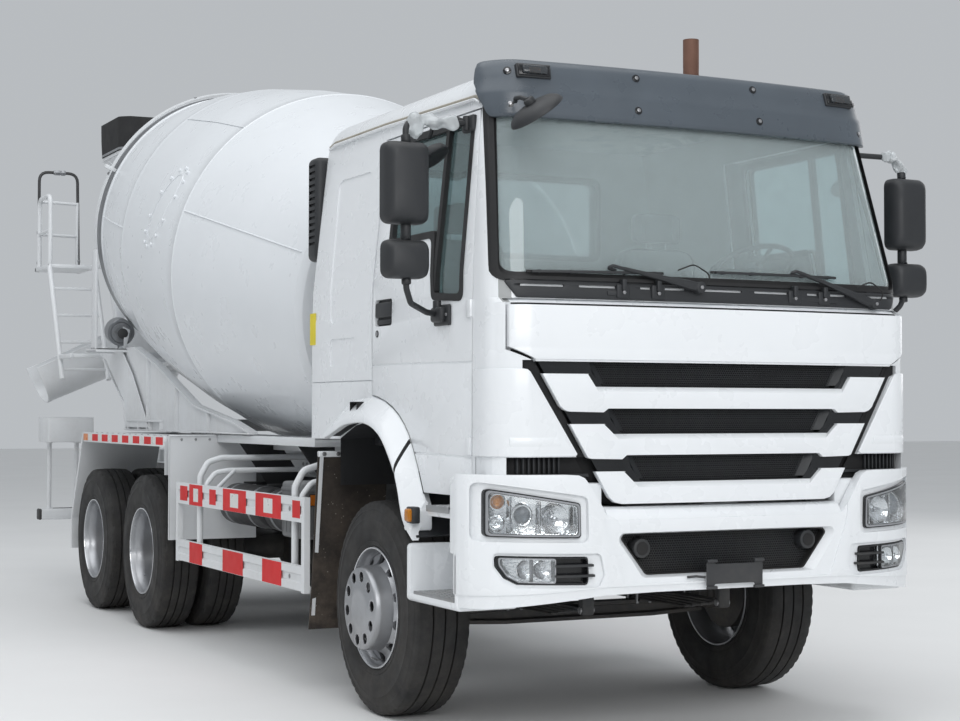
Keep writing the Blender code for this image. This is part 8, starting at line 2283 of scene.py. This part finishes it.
front.both(CHASSIS, shape_box(0.350, 0.430, -0.075, 0.075, 0.500, 0.515, 0.004), shape_box(0.352, 0.428, -0.07, 0.07, 0.578, 0.592, 0.004))
for sx in (1, -1):
    for y in (-0.045, 0.045):
        front.add(STEEL, tube([(sx * 0.351, y, 0.49), (sx * 0.351, y, 0.600), (sx * 0.429, y, 0.600), (sx * 0.429, y, 0.49)], 0.0085, 10, bend=0.02))
    for y0, y1 in ((-0.815, -0.765), (0.785, 0.835)):
        front.add(CHASSIS, shape_box(sx * 0.357, sx * 0.423, y0, y1, 0.54, 0.7795, 0.010, 2))
        front.add(BOLT, rod((sx * 0.352, (y0 + y1) / 2, 0.565), (sx * 0.428, (y0 + y1) / 2, 0.565), 0.017, 16, edge=0.003))
front.done()
for side, sx in (("left", 1), ("right", -1)):
    knuckle = Piece("knuckle_" + side + "_forging", "steer_" + side, "cast_metal", ("knuckle_" + side,))
    flip = (lambda s: s) if sx > 0 else mirror
    knuckle.add(CAST, flip(shape_box(0.886, 0.905, -0.046, 0.046, 0.438, 0.632, 0.012, 3)), flip(shape_box(0.801, 0.898, -0.043, 0.043, 0.591, 0.629, 0.012, 3)), flip(shape_box(0.801, 0.898, -0.043, 0.043, 0.441, 0.479, 0.012, 3)))
    knuckle.add(STEEL, flip(rod((0.84, 0, 0.440), (0.84, 0, 0.486), 0.020, 20)), flip(rod((0.84, 0, 0.584), (0.84, 0, 0.631), 0.020, 20)))
    knuckle.add(BOLT, flip(bolt((0.9, 0.030, 0.606), (0, 1, 0), 0.007, 0.007)))
    knuckle.done()

# ---------------------------------------------------------------- rear axles and the bogie
for name, y in (("rear_axle_1", 4.025), ("rear_axle_2", 5.375)):
    axle = Piece(name + "_unit", "truck", "cast_metal", (name,))
    M = Matrix.Translation((0, y + Y0, 0.535)) @ Matrix.Rotation(math.radians(90), 4, "Y")
    axle.add(CAST, lathe([(-0.789, 0.0), (-0.789, 0.060), (-0.780, 0.074), (-0.60, 0.0745), (-0.36, 0.0745), (-0.30, 0.085), (0.30, 0.085), (0.36, 0.0745), (0.60, 0.0745), (0.780, 0.074), (0.789, 0.060), (0.789, 0.0)], 36, M))
    axle.add(CAST, lathe([(-0.239, 0.0), (-0.239, 0.10), (-0.232, 0.128), (-0.20, 0.15), (-0.06, 0.205), (-0.03, 0.2095), (0.03, 0.2095), (0.10, 0.19), (0.17, 0.14), (0.205, 0.09), (0.219, 0.085), (0.219, 0.0)], 44, Matrix.Translation((0, y + Y0, 0.535)) @ Matrix.Rotation(math.radians(-90), 4, "X")))
    for k in range(14):
        a = TAU * k / 14
        axle.add(BOLT, rod((0.196 * math.cos(a), y - 0.058, 0.535 + 0.196 * math.sin(a)), (0.196 * math.cos(a), y - 0.040, 0.535 + 0.196 * math.sin(a)), 0.009, 6))
    for sx in (1, -1):
        axle.add(CAST, rod((sx * 0.62, y, 0.535), (sx * 0.66, y, 0.535), 0.0749, 32, edge=0.003))
    axle.done()
bogie = Piece("bogie_springs_unit", "truck", "cast_metal", ("bogie_springs",))
bogie.add(CAST, rod((-0.544, 4.70, 0.685), (0.544, 4.70, 0.685), 0.0445, 30, edge=0.008))
for part in leaves(0.45, 0.53, 3.97, 5.43, 0.7395, 0.6110, 8, 0.012):
    bogie.both(CHASSIS, part)
for sx in (1, -1):
    bogie.add(CAST, slab(flat_round(((4.60, 0.775), (4.80, 0.775), (4.775, 0.64), (4.74, 0.622), (4.66, 0.622), (4.625, 0.64)), 0.015, 3), "X", sx * 0.362, sx * 0.418, 0.004))
    for y in (4.62, 4.78):
        bogie.add(STEEL, rod((sx * 0.449, y, 0.613), (sx * 0.449, y, 0.739), 0.008, 10))
    bogie.add(CAST, shape_box(sx * 0.447, sx * 0.533, 4.60, 4.80, 0.728, 0.7400, 0.004))
    for k in range(4):
        bogie.add(BOLT, bolt((sx * 0.4175, 4.635 + 0.044 * k, 0.755), (sx, 0, 0), 0.010, 0.009))
bogie.done()
# propeller shafts turn with nothing in the model: fixed to the frame between gearbox and axles
shaft = Piece("propeller_shafts", "truck", "chassis_paint")
shaft.add(CHASSIS, rod((0, 1.21, 0.905), (0, 3.72, 0.56), 0.042, 24, edge=0.006))
for a, b in (((0, 1.19, 0.907), (0, 1.28, 0.895)), ((0, 3.68, 0.566), (0, 3.785, 0.552))):
    shaft.add(CAST, rod(a, b, 0.062, 24, edge=0.010))
shaft.add(CHASSIS, rod((0, 4.25, 0.56), (0, 5.13, 0.56), 0.040, 24, edge=0.006))
for a, b in (((0, 4.235, 0.56), (0, 4.33, 0.56)), ((0, 5.05, 0.56), (0, 5.145, 0.56))):
    shaft.add(CAST, rod(a, b, 0.060, 24, edge=0.010))
shaft.done()


# ---------------------------------------------------------------- inside the cab: cushions with welts and sewn channels
def cushion(x0, x1, y0, y1, z0, z1, face, crown, channels=(), cuts=26, power=5.0, pull=0.05):
    """A stuffed form. face is the crowned side: 'top' or 'front'; channels run across it at shares of its length."""
    bm = bmesh.new()
    bmesh.ops.create_cube(bm, size=2.0)
    bmesh.ops.subdivide_edges(bm, edges=bm.edges[:], cuts=cuts, use_grid_fill=True)
    c = Vector(((x0 + x1) / 2, (y0 + y1) / 2, (z0 + z1) / 2))
    h = Vector(((x1 - x0) / 2, (y1 - y0) / 2, (z1 - z0) / 2))
    for v in bm.verts:
        q = v.co.copy()
        top = max(abs(q.x), abs(q.y), abs(q.z))
        p = (abs(q.x) ** power + abs(q.y) ** power + abs(q.z) ** power) ** (1 / power)
        q *= top / p
        # long sides pull in between the corners
        if face == "top":
            a, b, up = q.x, q.y, q.z
        else:
            a, b, up = q.x, q.z, -q.y
        free = (1 - a * a) * (1 - b * b)
        swell = 0.0
        if up > 0.2:
            share = min(1.0, (up - 0.2) / 0.5)
            swell = -crown * (1 - free) * share
            for at in channels:
                swell -= 0.016 * math.exp(-((b - at) / 0.035) ** 2) * share * (1 - a ** 8)
            for at in (-0.62, 0.62):
                swell -= 0.012 * math.exp(-((a - at) / 0.03) ** 2) * share * (1 - b ** 8)
        ka = 1 - pull * (1 - b * b)
        kb = 1 - pull * (1 - a * a)
        a, b = a * (ka + pull * 0.0), b * (kb + pull * 0.0)
        if face == "top":
            v.co = Vector((c.x + a * h.x, c.y + b * h.y + Y0, c.z + up * h.z + swell))
        else:
            v.co = Vector((c.x + a * h.x, c.y - up * h.y - swell + Y0, c.z + b * h.z))
    bmesh.ops.recalc_face_normals(bm, faces=bm.faces)
    return bm


def welt(x0, x1, a0, a1, level, face, pull=0.05, r=0.0045, n=56, power=5.0):
    """The piped seam round a cushion's crowned side."""
    pts = []
    cx, hx = (x0 + x1) / 2, (x1 - x0) / 2
    ca_, ha = (a0 + a1) / 2, (a1 - a0) / 2
    for k in range(n):
        t = TAU * k / n
        u, v = math.cos(t), math.sin(t)
        p = (abs(u) ** power + abs(v) ** power) ** (1 / power)
        u, v = u / p, v / p
        u, v = u * (1 - pull * (1 - v * v)), v * (1 - pull * (1 - u * u))
        pts.append((cx + u * hx * 0.985, ca_ + v * ha * 0.985, level) if face == "top" else (cx + u * hx * 0.985, level, ca_ + v * ha * 0.985))
    return tube(pts, r, 8, closed=True)


CLOTH_DARK = coarse("seat_piping", (0.035, 0.037, 0.040), 0.7, grain=500, height=0.0004, strength=0.2, low=-1, high=0.0, amount=0.1)
base = Piece("cab_floor_mat", "truck", "seat_fabric", ("seats_and_bunk",))
base.add(TRIM, shape_box(-0.858, 0.858, -0.318, 0.898, 1.5405, 1.598, 0.012, 3))
base.add(TRIM, shape_box(-1.018, 1.018, 0.425, 0.90, 1.585, 1.80, 0.015, 3))
for sx in (1, -1):
    base.add(TRIM, shape_box(sx * 0.40, sx * 0.80, -0.27, 0.10, 1.58, 1.74, 0.03, 3))
    base.add(PLASTIC, shape_box(sx * 0.355, sx * 0.385, -0.22, 0.14, 1.76, 1.86, 0.012, 3), shape_box(sx * 0.815, sx * 0.845, -0.22, 0.14, 1.76, 1.86, 0.012, 3))
for k in range(10):
    y = -0.28 + k * 0.028
    base.add(RUBBER, shape_box(-0.30, 0.30, y - 0.004, y + 0.004, 1.597, 1.6005, 0.001, 1))
base.done()
for side, sx in (("left", 1), ("right", -1)):
    lo, hi = sorted((sx * 0.345, sx * 0.855))
    seat = Piece("seat_cushion_" + side, "truck", "seat_fabric", smooth=60)
    seat.add(CLOTH, cushion(lo, hi, -0.335, 0.14, 1.745, 1.995, "top", 0.035, (-0.45, 0.0, 0.45)))
    seat.add(CLOTH_DARK, welt(lo, hi, -0.335, 0.14, 1.935, "top"))
    seat.done()
    back = Piece("seat_back_" + side, "truck", "seat_fabric", smooth=60)
    back.add(CLOTH, cushion(lo + 0.005, hi - 0.005, 0.102, 0.252, 1.905, 2.425, "front", 0.022, (-0.5, 0.0, 0.5)))
    back.add(CLOTH_DARK, welt(lo + 0.005, hi - 0.005, 1.905, 2.425, 0.140, "front"))
    back.done()
    rest = Piece("head_rest_" + side, "truck", "seat_fabric", smooth=60)
    m = (lo + hi) / 2
    rest.add(CLOTH, cushion(m - 0.15, m + 0.15, 0.115, 0.215, 2.445, 2.612, "front", 0.016, (), 16))
    rest.add(CLOTH_DARK, welt(m - 0.15, m + 0.15, 2.445, 2.612, 0.140, "front", r=0.0035))
    rest.add(STEEL, rod((m - 0.06, 0.165, 2.39), (m - 0.06, 0.165, 2.46), 0.006, 10), rod((m + 0.06, 0.165, 2.39), (m + 0.06, 0.165, 2.46), 0.006, 10))
    rest.done()
bunk = Piece("bunk_mattress", "truck", "seat_fabric", smooth=60)
bunk.add(CLOTH, cushion(-1.015, 1.015, 0.425, 0.900, 1.795, 2.015, "top", 0.026, (-0.33, 0.33), 34, pull=0.015))
bunk.add(CLOTH_DARK, welt(-1.015, 1.015, 0.425, 0.900, 1.960, "top", pull=0.015, n=96))
bunk.done()

# ---------------------------------------------------------------- dashboard, instruments and steering wheel
dash = Piece("dashboard_unit", "truck", "black_plastic", ("dashboard",))
room = cab_solid(out=-0.058, z0=1.55)
top_form = [(-1.298, 2.085), (-1.27, 2.108), (-1.05, 2.118), (-0.935, 2.112), (-0.905, 2.09), (-0.90, 2.06), (-0.925, 1.96), (-0.885, 1.90), (-0.87, 1.80), (-0.90, 1.755), (-1.298, 1.755)]
dash.add(TRIM, bevelled(keep(slab(top_form, "X", -1.095, 1.095), room), 0.008, 50))
# hood over the instruments, their dials in a black panel
hood = [(-0.900, 2.100), (-0.875, 2.100), (-0.868, 2.09), (-0.885, 1.955), (-0.915, 1.955)]
dash.add(PLASTIC, slab([(-1.00, 2.100), (-0.88, 2.118), (-0.864, 2.110), (-0.866, 2.100), (-0.91, 2.094), (-0.94, 2.04), (-1.00, 2.04)], "X", 0.38, 0.82, 0.006))
dash.add(GLOSS_BLACK, slab([(-0.925, 1.97), (-0.905, 1.97), (-0.885, 2.088), (-0.905, 2.088)], "X", 0.41, 0.79, 0.004))
for x, r in ((0.50, 0.042), (0.70, 0.042), (0.60, 0.028)):
    n_at = Matrix.Translation((x, -0.894 + Y0, 2.03)) @ Matrix.Rotation(math.radians(-80), 4, "X")
    dash.add(STEEL, lathe([(-0.002, r), (0.004, r), (0.004, r - 0.003), (-0.002, r - 0.003)], 36, n_at, closed=True))
    for k in range(9):
        a = math.radians(-220 + 32 * k)
        m = n_at @ Matrix.Rotation(a, 4, "Z")
        tick = shape_box(r * 0.72, r * 0.88, -0.001 - Y0, 0.001 - Y0, 0.0005, 0.0022, 0)
        dash.add(PALE_TAPE, moved(tick, m))
for x in (-0.75, -0.30, 0.10, 0.98):
    dash.add(PLASTIC, shape_box(x - 0.07, x + 0.07, -0.915, -0.892, 2.00, 2.055, 0.006))
    for k in range(5):
        z = 2.009 + k * 0.009
        dash.add(GLOSS_BLACK, shape_box(x - 0.062, x + 0.062, -0.8925, -0.889, z - 0.0015, z + 0.0015, 0.0005, 1))
dash.add(GLOSS_BLACK, shape_box(-0.08, 0.28, -0.905, -0.882, 1.80, 1.93, 0.008, 3))
for i in range(3):
    for j in range(5):
        dash.add(PLASTIC, shape_box(-0.055 + j * 0.065, -0.005 + j * 0.065, -0.884, -0.876, 1.815 + i * 0.038, 1.842 + i * 0.038, 0.003))
dash.add(TRIM_LIGHT, shape_box(-0.90, -0.40, -0.905, -0.872, 1.79, 1.93, 0.02, 3))
WC = Vector((0.60, -0.74, 2.24))
LEAN = math.radians(28)


def on_wheel(r, a, up=0.0):
    return tuple(WC + Vector((r * math.cos(a), r * math.sin(a) * math.cos(LEAN) - up * math.sin(LEAN) * -1, -r * math.sin(a) * math.sin(LEAN) + up * math.cos(LEAN))))


dash.add(PLASTIC, tube([on_wheel(0.2195, TAU * k / 64) for k in range(64)], 0.0135, 12, closed=True))
for a in (0.0, math.pi, -math.pi / 2):
    line = [on_wheel(0.04, a, -0.012), on_wheel(0.12, a, -0.014), on_wheel(0.212, a, 0.0)]
    dash.add(PLASTIC, tube(line, 0.0095, 10, bend=0.04))
a_, b_ = Vector(on_wheel(0.0, 0.0, -0.030)), Vector(on_wheel(0.0, 0.0, 0.012))
dash.add(PLASTIC, rod(tuple(a_), tuple(b_), 0.062, 32, edge=0.014))
dash.add(PLASTIC, rod((0.60, -0.975, 1.905), tuple(Vector(on_wheel(0, 0, -0.02))), 0.0345, 24, edge=0.004))
dash.add(PLASTIC, rod((0.615, -0.815, 2.145), (0.76, -0.81, 2.17), 0.008, 10, edge=0.003), rod((0.585, -0.815, 2.145), (0.44, -0.81, 2.17), 0.008, 10, edge=0.003))
dash.done()
